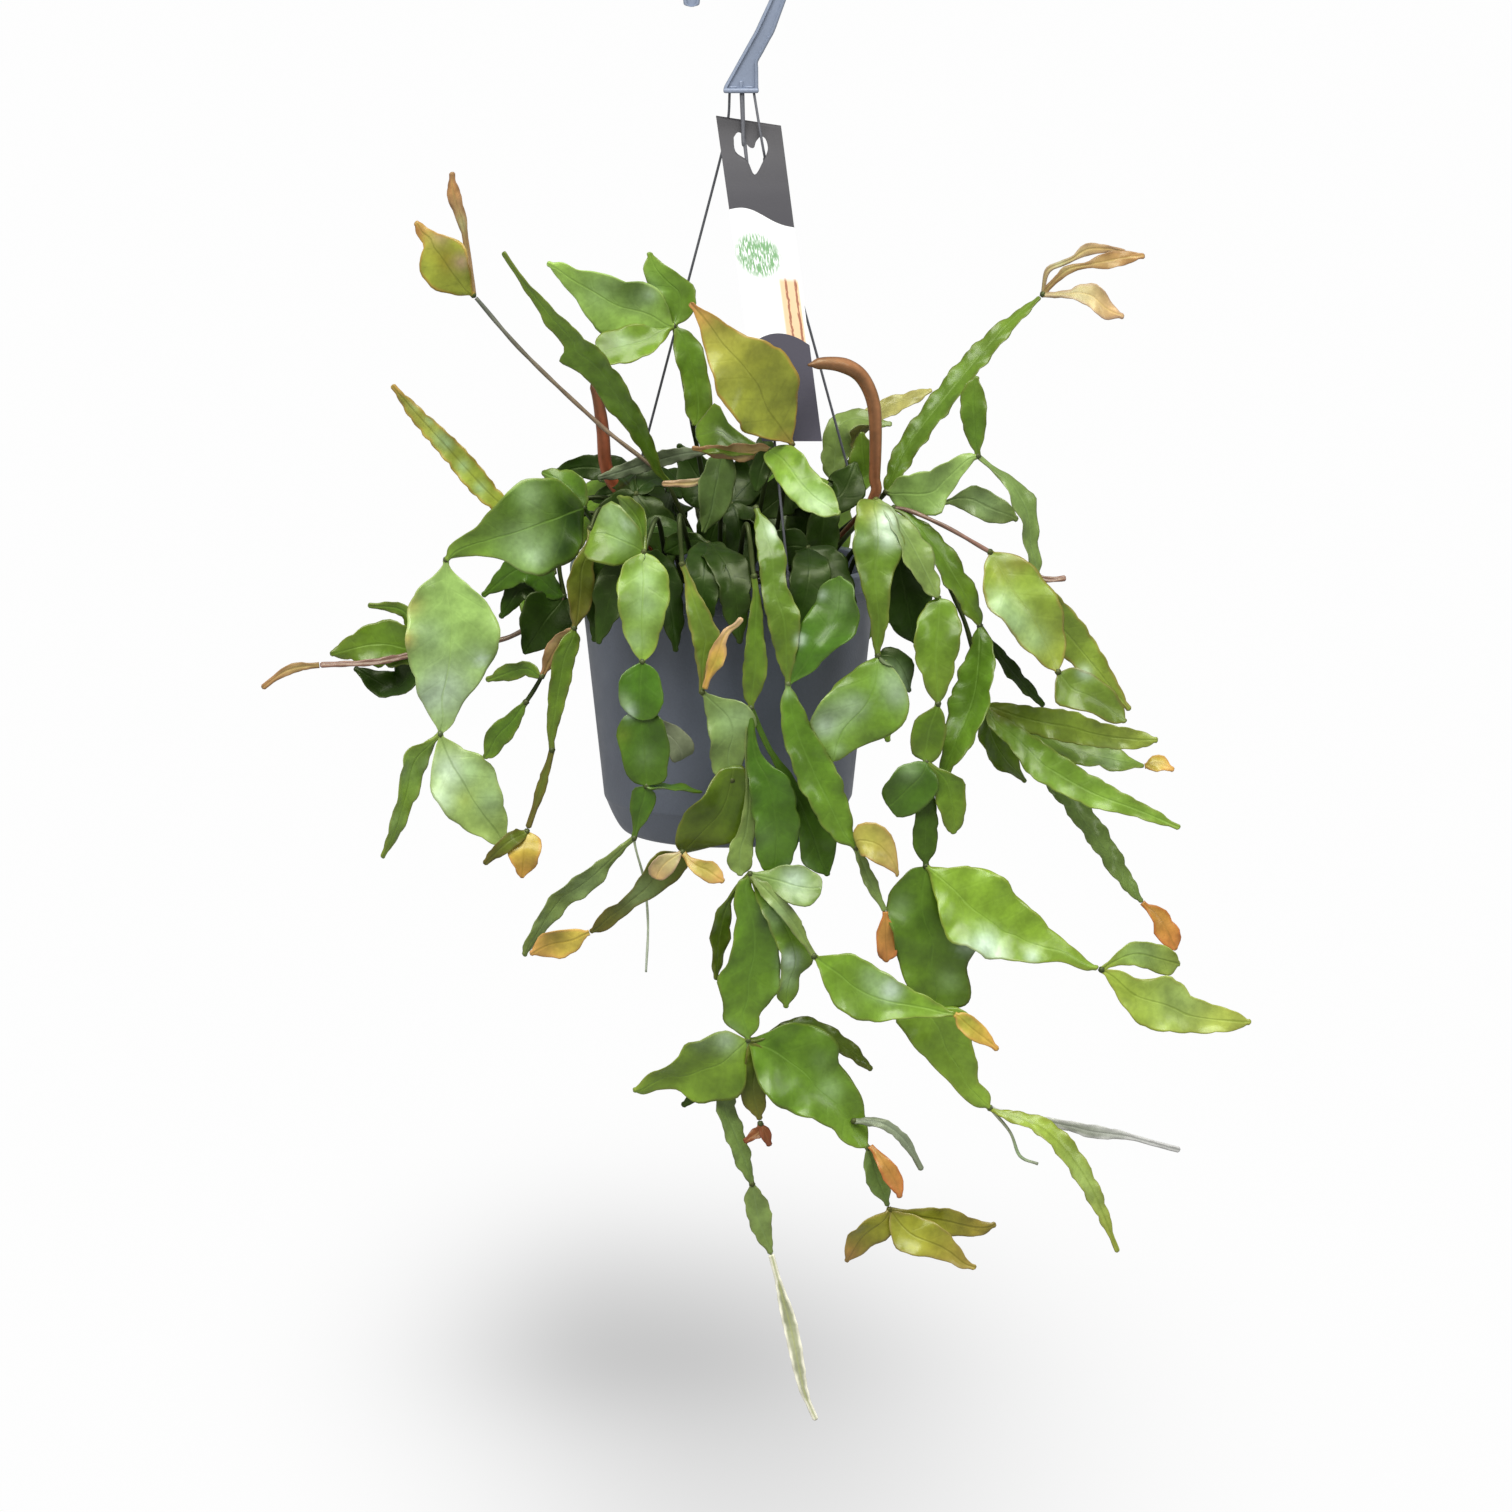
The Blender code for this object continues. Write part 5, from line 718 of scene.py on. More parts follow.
        ("ovate", 22, (20, 20), "366,252,-10 370,268,0 372,290,8"),
    ]),
    "stem_rim_left": ("deep green", (-32, 22), "", [
        ("ovate", 21, (10, 10), "318,268,48 304,281,66 297,321,69"),
        ("ovate", 14, (30, 30), "318,268,48 332,264,44 350,270,42"),
    ]),
    "stem_rim_middle": ("deep green", (-4, 42), "", [
        ("ovate", 19, (10, 10), "354,272,62 352,290,83 350,322,86"),
        ("ovate", 19, (10, 10), "354,272,62 366,290,84 370,322,86"),
        ("late", 12, (30, 30), "354,272,62 344,270,56 332,276,56"),
    ]),
    "stem_rim_right": ("deep green", (27, 41), "", [
        ("ovate", 20, (10, 10), "404,274,62 404,290,80 398,320,84"),
        ("ovate", 22, (10, 10), "404,274,62 416,290,72 424,320,76"),
        ("ovate", 18, (20, 20), "404,274,62 392,274,60 382,286,62"),
    ]),
    "stem_back_right": ("leaf green", (36, -18), "", [
        ("ovate", 16, (10, 20), "416,240,-36 422,212,-38 446,212,-38", "sage"),
        ("ovate", 20, (0, 10), "416,240,-36 431,238,-34 431,216,-34"),
        ("late", 11, (20, 20), "416,240,-36 430,216,-43 442,205,-45 466,195,-46", "straw"),
    ]),
}

# Soft touches of colour on the stems, linear; sheen, light and shade are painted light and shade
TOUCH_COLOURS = {
    # a painted highlight
    "sheen": (0.560, 0.700, 0.540),
    # painted light, in places also a paler tissue
    "light": (0.300, 0.440, 0.200),
    # painted shade
    "shade": (0.010, 0.032, 0.002),
    "yellow": (0.300, 0.340, 0.045),
    "olive": (0.200, 0.160, 0.015),
    "orange": (0.600, 0.290, 0.085),
    "rust": (0.360, 0.120, 0.055),
    "pink": (0.450, 0.280, 0.200),
}

# The touches on each stem: across, down and radius on the sheet in half millimetres, the colour,
# and how strongly it covers; the sheen, light and shade touches paint highlights, light and shade
TOUCHES = {
    "stem_left_arch": "398,770,18,light,0.35 388,820,16,light,0.3 440,690,16,light,0.4 574,522,24,shade,1 "
        "563,548,19,shade,1 565,505,15,shade,0.8 530,495,16,light,0.7 525,545,24,light,0.7 "
        "535,558,10,sheen,0.3 485,500,9,yellow,0.5 410,605,12,orange,0.25 406,640,9,orange,0.45 "
        "430,635,16,light,0.7 445,690,26,sheen,0.55 475,655,12,light,0.6 482,660,6,sheen,0.8 "
        "425,700,14,sheen,0.4 450,770,18,sheen,0.65 440,800,14,sheen,0.5 470,770,12,light,0.7 "
        "490,800,16,light,0.7 465,800,8,yellow,0.3 495,775,10,light,0.5",
    "stem_fan_top": "640,295,18,light,0.6 600,290,22,light,0.5 650,295,7,sheen,0.4 622,341,8,light,0.7 "
        "605,345,14,shade,0.35 630,352,18,shade,0.2 698,370,12,shade,0.15 700,405,12,shade,0.15",
    "stem_front_left": "585,885,24,light,0.3 545,925,16,light,0.45 645,580,12,light,0.7 "
        "645,605,16,light,0.7 636,640,12,light,0.6 612,515,12,light,0.8 628,525,5,sheen,0.6 "
        "620,540,12,light,0.6 622,703,9,light,0.7 630,712,6,sheen,0.6 650,695,16,shade,0.25 "
        "655,740,16,shade,0.35 622,735,9,yellow,0.2 645,757,10,light,0.2",
    "stem_front_right": "1075,1190,40,light,0.3 1022,1150,16,light,0.8 885,520,11,sheen,0.95 "
        "888,538,10,sheen,0.6 870,510,14,yellow,0.5 860,540,8,light,0.5 840,712,16,light,0.85 "
        "825,725,12,sheen,0.6 855,705,12,sheen,0.3 892,680,14,light,0.9 898,695,12,sheen,0.35 "
        "838,750,7,light,0.6 985,945,13,sheen,0.95 998,955,9,sheen,0.6 1032,957,7,sheen,0.7 "
        "965,946,7,sheen,0.5 925,920,14,shade,0.5 900,905,10,light,0.35 950,980,12,light,0.3 "
        "910,770,10,light,0.6 900,810,16,shade,0.5 935,780,12,shade,0.6 945,740,18,shade,0.3",
    "stem_front_chain": "890,990,10,sheen,0.95 875,985,12,light,0.6 870,975,10,light,0.4 "
        "790,960,9,sheen,0.7 788,980,9,light,0.7 775,915,12,light,0.7 795,880,12,sheen,0.7 "
        "800,895,10,light,0.5 765,920,8,shade,0.5 725,1040,12,sheen,0.45 700,1040,10,light,0.6 "
        "830,1090,12,light,0.5 780,1080,10,shade,0.45 740,1085,12,shade,0.4 755,1075,14,shade,0.3 "
        "765,835,14,light,0.1 820,1060,10,light,0.2 775,1045,12,shade,0.6",
    "stem_front_mid": "640,895,24,light,0.35 690,590,8,yellow,0.3 730,720,16,light,0.45 "
        "745,715,10,light,0.4 735,812,18,shade,0.35 690,830,12,shade,0.15",
    "stem_front_upright": "820,503,14,light,0.85 800,490,10,light,0.3 785,462,10,yellow,0.15 "
        "720,430,22,shade,0.5",
    "stem_front_long": "775,530,8,sheen,0.7 800,640,5,sheen,0.8 840,600,12,light,0.35 822,595,5,sheen,0.5 "
        "787,692,6,light,0.7",
    "stem_right_front": "1000,605,14,light,0.9 1015,622,16,light,0.8 1035,640,14,light,0.6 "
        "1000,570,14,olive,0.3 1020,560,12,rust,0.2 1085,672,7,sheen,0.5",
    "stem_right_lime": "1108,762,14,light,0.6 1000,715,12,olive,0.3",
    "young_reach_left": "445,262,13,olive,0.95 462,262,8,pink,0.8 440,236,9,pink,0.5 418,230,10,rust,0.7 "
        "430,270,12,yellow,0.7 454,185,12,orange,0.6 462,225,10,light,0.4",
    "stem_left_yellow": "430,420,5,light,0.6 447,444,6,light,0.8 463,466,6,light,0.8 480,488,6,light,0.8 "
        "440,438,8,light,0.6 415,405,5,light,0.5 395,388,6,orange,0.35",
    "young_right_trio": "1060,262,8,light,0.6 1048,285,8,shade,0.3",
    "young_low_trio": "848,1256,11,orange,0.6 885,1210,10,olive,0.5",
    "young_curl": "718,663,9,yellow,0.6",
    "stem_right_upper": "984,503,22,light,0.4",
    "young_right_pair": "1180,1000,30,light,0.3 1140,950,22,light,0.4",
    "young_olive_node": "720,879,6,orange,0.6 692,862,5,rust,0.5",
    "young_chain_tip": "966,1022,8,yellow,0.7",
    "young_amber_side": "870,838,10,yellow,0.3 878,848,6,olive,0.5",
    "young_leaf_upright": "692,306,10,rust,0.8 704,318,10,orange,0.5 785,440,9,orange,0.3",
}

# The far side's stems: how far from the axis they root, where they crest (out from the axis, below
# the rim), and how far the middle of each segment bows
BACK_ROOT_RADIUS = 0.026
BACK_CREST = (0.045, -0.030)
BACK_BOW_OUT = 0.006
BACK_BOW_UP = 0.012

# Stems on the far side: the angle about the pot's axis in degrees, and for each segment its kind,
# width, end (out from the axis, below the rim, degrees round), whether the next grows from it, tint
BACK_STEMS = {
    "stem_back_1": (50, [
        ("ovate", 30, 0.094, 0.012, 2, True, "bright"),
        ("ovate", 20, 0.11, 0.05, 12, False, "leaf"),
        ("ovate", 28, 0.1, 0.066, 1, True, "leaf"),
        ("lance", 20, 0.094, 0.118, 4, False, "dark"),
        ("ovate", 17, 0.108, 0.104, -9, False, "bright"),
    ]),
    "stem_back_2": (71, [
        ("lance", 26, 0.092, 0.004, 0, True, "leaf"),
        ("ovate", 21, 0.108, 0.036, 13, False, "leaf"),
        ("ovate", 30, 0.097, 0.056, -1, True, "dark"),
        ("ovate", 22, 0.091, 0.108, 0, False, "bright"),
        ("lance", 14, 0.106, 0.09, -10, False, "bright"),
    ]),
    "stem_back_3": (92, [
        ("ovate", 30, 0.096, 0.014, 1, True, "leaf"),
        ("ovate", 19, 0.112, 0.044, 12, False, "dark"),
        ("lance", 26, 0.098, 0.07, -1, True, "bright"),
        ("ovate", 24, 0.092, 0.124, 1, False, "bright"),
        ("lance", 15, 0.108, 0.102, -9, False, "leaf"),
    ]),
    "stem_back_4": (113, [
        ("lance", 28, 0.092, 0.006, 0, True, "dark"),
        ("ovate", 21, 0.11, 0.04, 11, False, "bright"),
        ("ovate", 29, 0.098, 0.054, 2, True, "bright"),
        ("ovate", 22, 0.092, 0.1, 2, False, "leaf"),
        ("lance", 14, 0.108, 0.086, -9, False, "leaf"),
    ]),
    "stem_back_5": (158, [
        ("ovate", 27, 0.095, 0.008, 0, True, "bright"),
        ("ovate", 21, 0.11, 0.036, -10, False, "bright"),
        ("lance", 22, 0.098, 0.044, 2, False, "leaf"),
    ]),
}

# The rolled shoots: the foot on the soil, the places they run through, and the radius
# at each place, in millimetres
COPPER_SHOOTS = {
    "copper_shoot_right": (
        (46, 12),
        "436,251,34 437.5,238,38 438,215,44 436.5,200,48 431,188.5,52 423,183,56 413,181.5,60 "
        "404,182.5,64",
        [2.1, 2.3, 2.8, 3.1, 3.4, 3.7, 4.1, 2.6],
    ),
    "copper_shoot_left": (
        (-34, -10),
        "315,251,-6 307,242,-5 303,232,-4 301.5,215,-3 299,200,-2 296,190,-2",
        [2.6, 3.6, 3.4, 3.6, 3.4, 2.2],
    ),
}

# The camera comes first, so that everything else can be set against what it sees


def add_object(name, data):
    """A new object in the scene."""
    thing = bpy.data.objects.new(name, data)
    bpy.context.scene.collection.objects.link(thing)
    return thing


def aim(thing, place, target):
    """Puts a camera or light at a place, looking at a target."""
    thing.location = place
    thing.rotation_euler = (Vector(target) - Vector(place)).to_track_quat("-Z", "Y").to_euler()


def build_camera():
    """The camera that sees the layout sheet square on."""
    lens = bpy.data.cameras.new("camera")
    lens.sensor_width = SENSOR_WIDTH
    lens.lens = SENSOR_WIDTH * VIEW_DISTANCE / SHEET_ACROSS
    lens.clip_end = 200.0
    camera = add_object("camera", lens)
    back = Vector((0, -math.cos(VIEW_TILT), math.sin(VIEW_TILT))) * VIEW_DISTANCE
    aim(camera, Vector(CAMERA_TARGET) + back, CAMERA_TARGET)
    bpy.context.scene.camera = camera


def add_light(name, kind, power, place, target):
    """A light that faces a target."""
    light = bpy.data.lights.new(name, kind)
    light.energy = power
    aim(add_object(name, light), place, target)
    return light


def build_lights():
    """A wide soft sun from above and in front, softboxes for the sheen, and a pale sky."""
    sun = add_light("sun", "SUN", SUN_STRENGTH, SUN_FROM, (0, 0, 0))
    sun.angle = math.radians(SUN_ANGLE)
    for name, place, size, power in SOFTBOXES:
        softbox = add_light(name, "AREA", power, place, SOFTBOXES_FACE)
        softbox.shape = "RECTANGLE"
        softbox.size, softbox.size_y = size
    world = bpy.data.worlds.new("sky")
    world.use_nodes = True
    sky = world.node_tree.nodes["Background"].inputs
    sky["Color"].default_value = (1.0, 1.0, 1.0, 1.0)
    sky["Strength"].default_value = SKY_STRENGTH
    bpy.context.scene.world = world
    bpy.context.scene.view_settings.view_transform = "Standard"


def unit(vectors):
    """Vectors scaled to length 1."""
    return vectors / np.maximum(np.linalg.norm(vectors, axis=-1, keepdims=True), 1e-12)


def smooth_line(points, leaving=None, samples=24):
    """A fine Catmull-Rom line through points, and the length up to each fine point.

    The first span leaves in the given direction, otherwise straight to the second point.
    """
    path = np.array(points, float)
    first = 2 * path[0] - path[1]
    if leaving is not None:
        first = path[1] - 2 * np.linalg.norm(path[1] - path[0]) * np.asarray(leaving)
    path = np.vstack([first, path, 2 * path[-1] - path[-2]])
    t = (np.arange(samples) / samples)[None, :, None]
    a, b, c, d = (path[k:len(path) - 3 + k, None] for k in range(4))
    fine = 0.5 * (2 * b + (c - a) * t + (2 * a - 5 * b + 4 * c - d) * t ** 2
                  + (3 * b - a - 3 * c + d) * t ** 3)
    fine = np.vstack([fine.reshape(-1, 3), path[-2]])
    steps = np.linalg.norm(np.diff(fine, axis=0), axis=1)
    return fine, np.concatenate([[0], np.cumsum(steps)])


def along(fine, lengths, stations):
    """The points at the given lengths along a fine line."""
    return np.stack([np.interp(stations, lengths, fine[:, k]) for k in range(3)], axis=1)


def smoothstep(low, high, value):
    """Rises from 0 at low to 1 at high without a corner."""
    share = np.clip((value - low) / (high - low), 0, 1)
    return share * share * (3 - 2 * share)


def ring_angles(around, start=0.0):
    """Evenly spaced angles round a ring; the first is start spaces on."""
    return 2 * np.pi * (np.arange(around) + start) / around


def rings_about(centres, side, up, radius, angle):
    """Rings about centres: the radius times side * cos(angle) + up * sin(angle)."""
    return centres[:, None] + radius[..., None] * (side[:, None] * np.cos(angle)[None, :, None]
                                                   + up[:, None] * np.sin(angle)[None, :, None])


def ball_rings(levels, angle, size, squash=1.0):
    """Rings of a ball from its foot at level 0 to its head at pi, with a size at every point."""
    flat = size * np.sin(levels)[:, None]
    height = -size * squash * np.cos(levels)[:, None]
    return np.stack([flat * np.cos(angle), flat * np.sin(angle), height], axis=2)


def round_uv(angle, share):
    """A map of a round piece: once round it, and along it."""
    return np.stack(np.meshgrid(angle / (2 * np.pi), share), axis=2)


def faces_in(places, triangles):
    """Whether a closed shell's triangles face inwards: the volume that they enclose is negative."""
    a, b, c = (places[triangles[:, k]] for k in range(3))
    return np.einsum("ij,ij->i", a, np.cross(b, c)).sum() < 0


def closed_tube(rings, **fields):
    """A closed shell from rings of points, each end closed by a fan, facing outwards.

    rings is (rows, points of a ring, 3). Each field holds a value for every ring point;
    the two end points take the mean of their ring.
    """
    rows, around = rings.shape[:2]
    places = np.vstack([rings.reshape(-1, 3), rings[0].mean(0), rings[-1].mean(0)])
    row, column = np.meshgrid(np.arange(rows - 1), np.arange(around), indexing="ij")
    here = (row * around + column).ravel()
    beside = (row * around + (column + 1) % around).ravel()
    quads = np.stack([here, beside, beside + around, here + around], axis=1)
    ring = np.arange(around)
    after = (ring + 1) % around
    last = (rows - 1) * around
    foot = np.stack([np.full(around, rows * around), after, ring], axis=1)
    head = np.stack([np.full(around, rows * around + 1), last + ring, last + after], axis=1)
    triangles = np.vstack([foot, head])
    if faces_in(places, np.vstack([quads[:, [0, 1, 2]], quads[:, [0, 2, 3]], triangles])):
        quads, triangles = quads[:, ::-1], triangles[:, ::-1]
    shell = {"places": places, "quads": quads, "triangles": triangles}
    for name, values in fields.items():
        shell[name] = np.vstack([values.reshape(rows * around, -1), values[0].mean(0), values[-1].mean(0)])
    return shell


def plain_shell(places, triangles, **fields):
    """A shell of triangles alone."""
    return {"places": places, "quads": np.zeros((0, 4), int), "triangles": triangles, **fields}


def make_piece(name, shells, material, slot, *nodes, crease=None):
    """One object from closed shells. It stands for the CAD nodes; slot is not used.

    Fields named uv become a UV map, those of four numbers colours, and the rest vectors.
    Edges sharper than crease degrees stay sharp.
    """
    starts = np.concatenate([[0], np.cumsum([len(shell["places"]) for shell in shells])])
    places = np.vstack([shell["places"] for shell in shells])
    quads = np.vstack([shell["quads"] + start for shell, start in zip(shells, starts)])
    triangles = np.vstack([shell["triangles"] + start for shell, start in zip(shells, starts)])
    corners = np.concatenate([quads.ravel(), triangles.ravel()]).astype(np.int32)
    first = np.concatenate([4 * np.arange(len(quads)), 4 * len(quads) + 3 * np.arange(len(triangles))])
    mesh = bpy.data.meshes.new(name)
    mesh.vertices.add(len(places))
    mesh.vertices.foreach_set("co", places.astype(np.float32).ravel())
    mesh.loops.add(len(corners))
    mesh.loops.foreach_set("vertex_index", corners)
    mesh.polygons.add(len(first))
    mesh.polygons.foreach_set("loop_start", first.astype(np.int32))
    mesh.update(calc_edges=True)
    mesh.shade_smooth()
    if crease is not None:
        mesh.set_sharp_from_angle(angle=math.radians(crease))
    for field in shells[0]:
        if field in ("places", "quads", "triangles"):
            continue
        values = np.vstack([shell[field] for shell in shells]).astype(np.float32)
        if field == "uv":
            layer = mesh.uv_layers.new(name="uv")
            layer.data.foreach_set("uv", values[corners].ravel())
        elif values.shape[1] == 4:
            mesh.attributes.new(field, "FLOAT_COLOR", "POINT").data.foreach_set("color", values.ravel())
        else:
            mesh.attributes.new(field, "FLOAT_VECTOR", "POINT").data.foreach_set("vector", values.ravel())
    mesh.materials.append(material)
    piece = add_object(name, mesh)
    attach(piece, "root")
    if nodes:
        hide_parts(*nodes)


# Materials


class Wiring:
    """A node tree with short ways to add nodes and links."""

    def __init__(self, tree):
        self.tree = tree

    def node(self, kind, inputs=(), **settings):
        """A node with settings; inputs are (socket, value or another node's socket)."""
        node = self.tree.nodes.new(kind)
        for name, value in settings.items():
            setattr(node, name, value)
        for socket, value in inputs:
            if isinstance(value, bpy.types.NodeSocket):
                self.link(value, node.inputs[socket])
            else:
                node.inputs[socket].default_value = value
        return node

    def math(self, operation, *values):
        """The result of one math node."""
        return self.node("ShaderNodeMath", list(enumerate(values)), operation=operation).outputs[0]

    def times(self, first, second):
        """A product."""
        return self.math("MULTIPLY", first, second)

    def plus(self, first, second):
        """A sum."""
        return self.math("ADD", first, second)

    def minus(self, first, second):
        """A difference."""
        return self.math("SUBTRACT", first, second)

    def ramp(self, value, low, high, at_low=0.0, at_high=1.0):
        """A value mapped smoothly from one range onto another."""
        inputs = [("Value", value), ("From Min", low), ("From Max", high), ("To Min", at_low),
                  ("To Max", at_high)]
        node = self.node("ShaderNodeMapRange", inputs, interpolation_type="SMOOTHSTEP")
        return node.outputs["Result"]

    def mix(self, share, low, high):
        """Two colours mixed."""
        return self.node("ShaderNodeMix", [(0, share), (6, low), (7, high)], data_type="RGBA").outputs[2]

    def vectors(self, operation, *values):
        """One vector math node's results: the vector, and a value such as its length."""
        return self.node("ShaderNodeVectorMath", list(enumerate(values)), operation=operation).outputs

    def link(self, source, target):
        """Joins a result to a socket."""
        self.tree.links.new(source, target)

    def noise(self, scale, detail):
        """Noise on the object's own coordinates."""
        place = self.node("ShaderNodeTexCoord").outputs["Object"]
        inputs = [("Vector", place), ("Scale", scale), ("Detail", detail)]
        return self.node("ShaderNodeTexNoise", inputs).outputs["Fac"]

    def bump(self, height, distance, strength):
        """A normal from a height."""
        inputs = [("Height", height), ("Distance", distance), ("Strength", strength)]
        return self.node("ShaderNodeBump", inputs).outputs["Normal"]


def new_group(name, inputs, outputs):
    """An empty node group with named sockets, and its wiring, input and output nodes."""
    group = bpy.data.node_groups.new(name, "ShaderNodeTree")
    kinds = {"value": "NodeSocketFloat", "colour": "NodeSocketColor", "vector": "NodeSocketVector"}
    for socket, kind in inputs:
        group.interface.new_socket(socket, in_out="INPUT", socket_type=kinds[kind])
    for socket, kind in outputs:
        group.interface.new_socket(socket, in_out="OUTPUT", socket_type=kinds[kind])
    wiring = Wiring(group)
    return group, wiring, wiring.node("NodeGroupInput"), wiring.node("NodeGroupOutput")


def tissue_group():
    """The skin of a segment: mottled tissue, a midrib, side veins, and a coloured margin.

    It reads the tissue, margin and rib colours of each blade, and reach, which holds the
    millimetres to the midrib and to the margin and the count of notches along the margin.
    """
    group, w, given, out = new_group(
        "plant_tissue", [("Coat", "value")],
        [("Colour", "colour"), ("Roughness", "value"), ("Gloss", "value"), ("Normal", "vector")])
    skin = w.node("ShaderNodeAttribute", attribute_name="tissue")
    margin = w.node("ShaderNodeAttribute", attribute_name="margin")
    rib = w.node("ShaderNodeAttribute", attribute_name="rib")
    reach = w.node("ShaderNodeAttribute", attribute_name="reach").outputs["Vector"]
    to_rib, to_margin, notch = w.node("ShaderNodeSeparateXYZ", [(0, reach)]).outputs
    broad = w.noise(70, 3)
    fine = w.noise(420, 2)
    patches = w.noise(160, 2)
    shade = w.times(w.ramp(broad, 0.3, 0.7, 0.80, 1.20), w.ramp(fine, 0.3, 0.7, 0.93, 1.07))
    shaded = w.vectors("MULTIPLY", skin.outputs["Color"], shade)[0]
    slant = w.minus(notch, w.times(to_rib, 0.055))
    vein = w.ramp(w.math("PINGPONG", slant, 0.5), 0.0, 0.09, 1.0, 0.0)
    wide = w.times(w.ramp(to_rib, 0.6, 2.5), w.ramp(to_margin, 0.5, 4.0))
    vein = w.times(vein, wide)
    rib_mask = w.ramp(w.plus(to_rib, w.times(patches, 0.9)), 0.35, 1.30, 1.0, 0.0)
    edge_noise = w.times(patches, 1.6)
    margin_mask = w.ramp(w.minus(to_margin, edge_noise), -0.5, 1.1, 1.0, 0.0)
    veined = w.mix(w.times(vein, 0.08), shaded, rib.outputs["Color"])
    ribbed = w.mix(w.times(rib_mask, rib.outputs["Alpha"]), veined, rib.outputs["Color"])
    edged = w.mix(w.times(margin_mask, margin.outputs["Alpha"]), ribbed, margin.outputs["Color"])
    height = w.plus(w.times(rib_mask, -0.32), w.times(vein, -0.09))
    height = w.plus(height, w.times(fine, 0.015))
    height = w.plus(height, w.times(patches, 0.26))
    rough = w.ramp(patches, 0.3, 0.7, 0.30, 0.46)
    gloss = w.times(skin.outputs["Alpha"], given.outputs["Coat"])
    w.link(gloss, out.inputs["Gloss"])
    w.link(edged, out.inputs["Colour"])
    w.link(rough, out.inputs["Roughness"])
    w.link(w.bump(height, 0.0006, 0.8), out.inputs["Normal"])
    return group


def moulded_group():
    """Moulded plastic: a little unevenness in colour, a fine grain, and soft scuffs."""
    group, w, given, out = new_group(
        "moulded_plastic", [("Colour", "colour"), ("Grain", "value")],
        [("Colour", "colour"), ("Roughness", "value"), ("Normal", "vector")])
    broad = w.noise(22, 2)
    fine = w.noise(900, 2)
    shade = w.times(w.ramp(broad, 0.3, 0.7, 0.93, 1.07), w.ramp(fine, 0.3, 0.7, 0.97, 1.03))
    shaded = w.vectors("MULTIPLY", given.outputs["Colour"], shade)[0]
    rough = w.plus(w.ramp(w.noise(60, 4), 0.35, 0.7, 0.36, 0.47), w.times(fine, 0.04))
    height = w.times(fine, given.outputs["Grain"])
    w.link(shaded, out.inputs["Colour"])
    w.link(rough, out.inputs["Roughness"])
    w.link(w.bump(height, 0.0002, 0.5), out.inputs["Normal"])
    return group


def new_material(name, **values):
    """A material with Principled values set, its wiring and its shader node."""
    material = bpy.data.materials.new(name)
    material.use_nodes = True
    shader = material.node_tree.nodes["Principled BSDF"]
    for socket, value in values.items():
        shader.inputs[socket.replace("_", " ").title().replace("Ior", "IOR")].default_value = value
    return material, Wiring(material.node_tree), shader


def use_group(w, shader, group, inputs):
    """Wires a group with its inputs set: colour, roughness and normal go into a shader."""
    skin = w.node("ShaderNodeGroup", node_tree=group)
    for socket, value in inputs:
        skin.inputs[socket].default_value = value
    for output, socket in (("Colour", "Base Color"), ("Roughness", "Roughness"), ("Normal", "Normal")):
        w.link(skin.outputs[output], shader.inputs[socket])
    return skin


def tissue_material(name, group, coat):
    """Living tissue with a waxy coat over it."""
    material, w, shader = new_material(name, coat_roughness=0.20, coat_ior=1.45, specular_ior_level=0.34,
                                       specular_tint=(0.80, 0.92, 0.45, 1.0))
    skin = use_group(w, shader, group, [("Coat", coat)])
    w.link(skin.outputs["Gloss"], shader.inputs["Coat Weight"])
    return material


def plastic_material(name, group, colour, grain=1.0):
    """Moulded plastic of one colour; the soil and its perlite are the same with a coarse grain."""
    material, w, shader = new_material(name)
    use_group(w, shader, group, [("Colour", (*colour, 1.0)), ("Grain", grain)])
    return material


# The plant


def tints_of(name, rng):
    """A tint's colours at base, tip, margin and rib with a small random shift, and its margin share."""
    *colours, share = TINTS[name]
    shift = rng.uniform(0.90, 1.12) * np.array([rng.uniform(0.94, 1.08), 1.0, rng.uniform(0.9, 1.1)])
    return [np.array(colour) / 1000 * shift for colour in colours] + [share]


def dressed(rings, tint, share, reach, uv, rng):
    """A closed shell of rings with its tissue, margin and rib colours, reach and uv fields."""
    base, tip, margin, rib, amount = tints_of(tint, rng)
    blend = smoothstep(0.35, 1.0, share)[:, None, None]
    tissue = base * (1 - blend) + tip * blend
    whole = np.ones(rings.shape[:2] + (1,))
    return closed_tube(
        rings, tissue=np.concatenate([tissue * whole, DULL.get(tint, 1.0) * whole], axis=2),
        margin=np.concatenate([margin * whole, amount * whole], axis=2),
        rib=np.concatenate([rib * whole, RIB_SHOWS * whole], axis=2), reach=reach, uv=uv)


def margins_of(line, outline, turn):
    """Both margins of a drawn segment, as fine lines in metres.

    Each margin is a smooth line through its places on the sheet. It comes toward the
    viewer as far as the segment's own line does, and the face's turn brings one margin
    nearer and takes the other away. The first is on the right of the way to the tip.
    """
    line = np.array(line, float)
    stations = np.linspace(0, 1, MARGIN_SAMPLES)
    sides = []
    for margin in outline:
        places = [line[0, :2]] + [np.array(place) * 0.5 for place in places_in(margin)] + [line[-1, :2]]
        fine, lengths = smooth_line([(across, down, 0) for across, down in places])
        sides.append(along(fine, lengths, stations * lengths[-1])[:, :2])
    ahead = np.gradient((sides[0] + sides[1]) / 2, axis=0)
    apart = sides[0] - sides[1]
    if (apart[:, 1] * ahead[:, 0] - apart[:, 0] * ahead[:, 1]).sum() < 0:
        sides.reverse()
    reached = np.concatenate([[0], np.cumsum(np.linalg.norm(np.diff(line[:, :2], axis=0), axis=1))])
    toward = np.interp(stations, reached / reached[-1], line[:, 2])
    slope = np.tan(np.radians(turn[0] + (turn[1] - turn[0]) * stations))
    lean = np.clip(slope, -STEEPEST, STEEPEST) * np.linalg.norm(apart, axis=1) / 2
    return [sheet_point(*side.T, toward + sign * lean) for side, sign in zip(sides, (1, -1))]


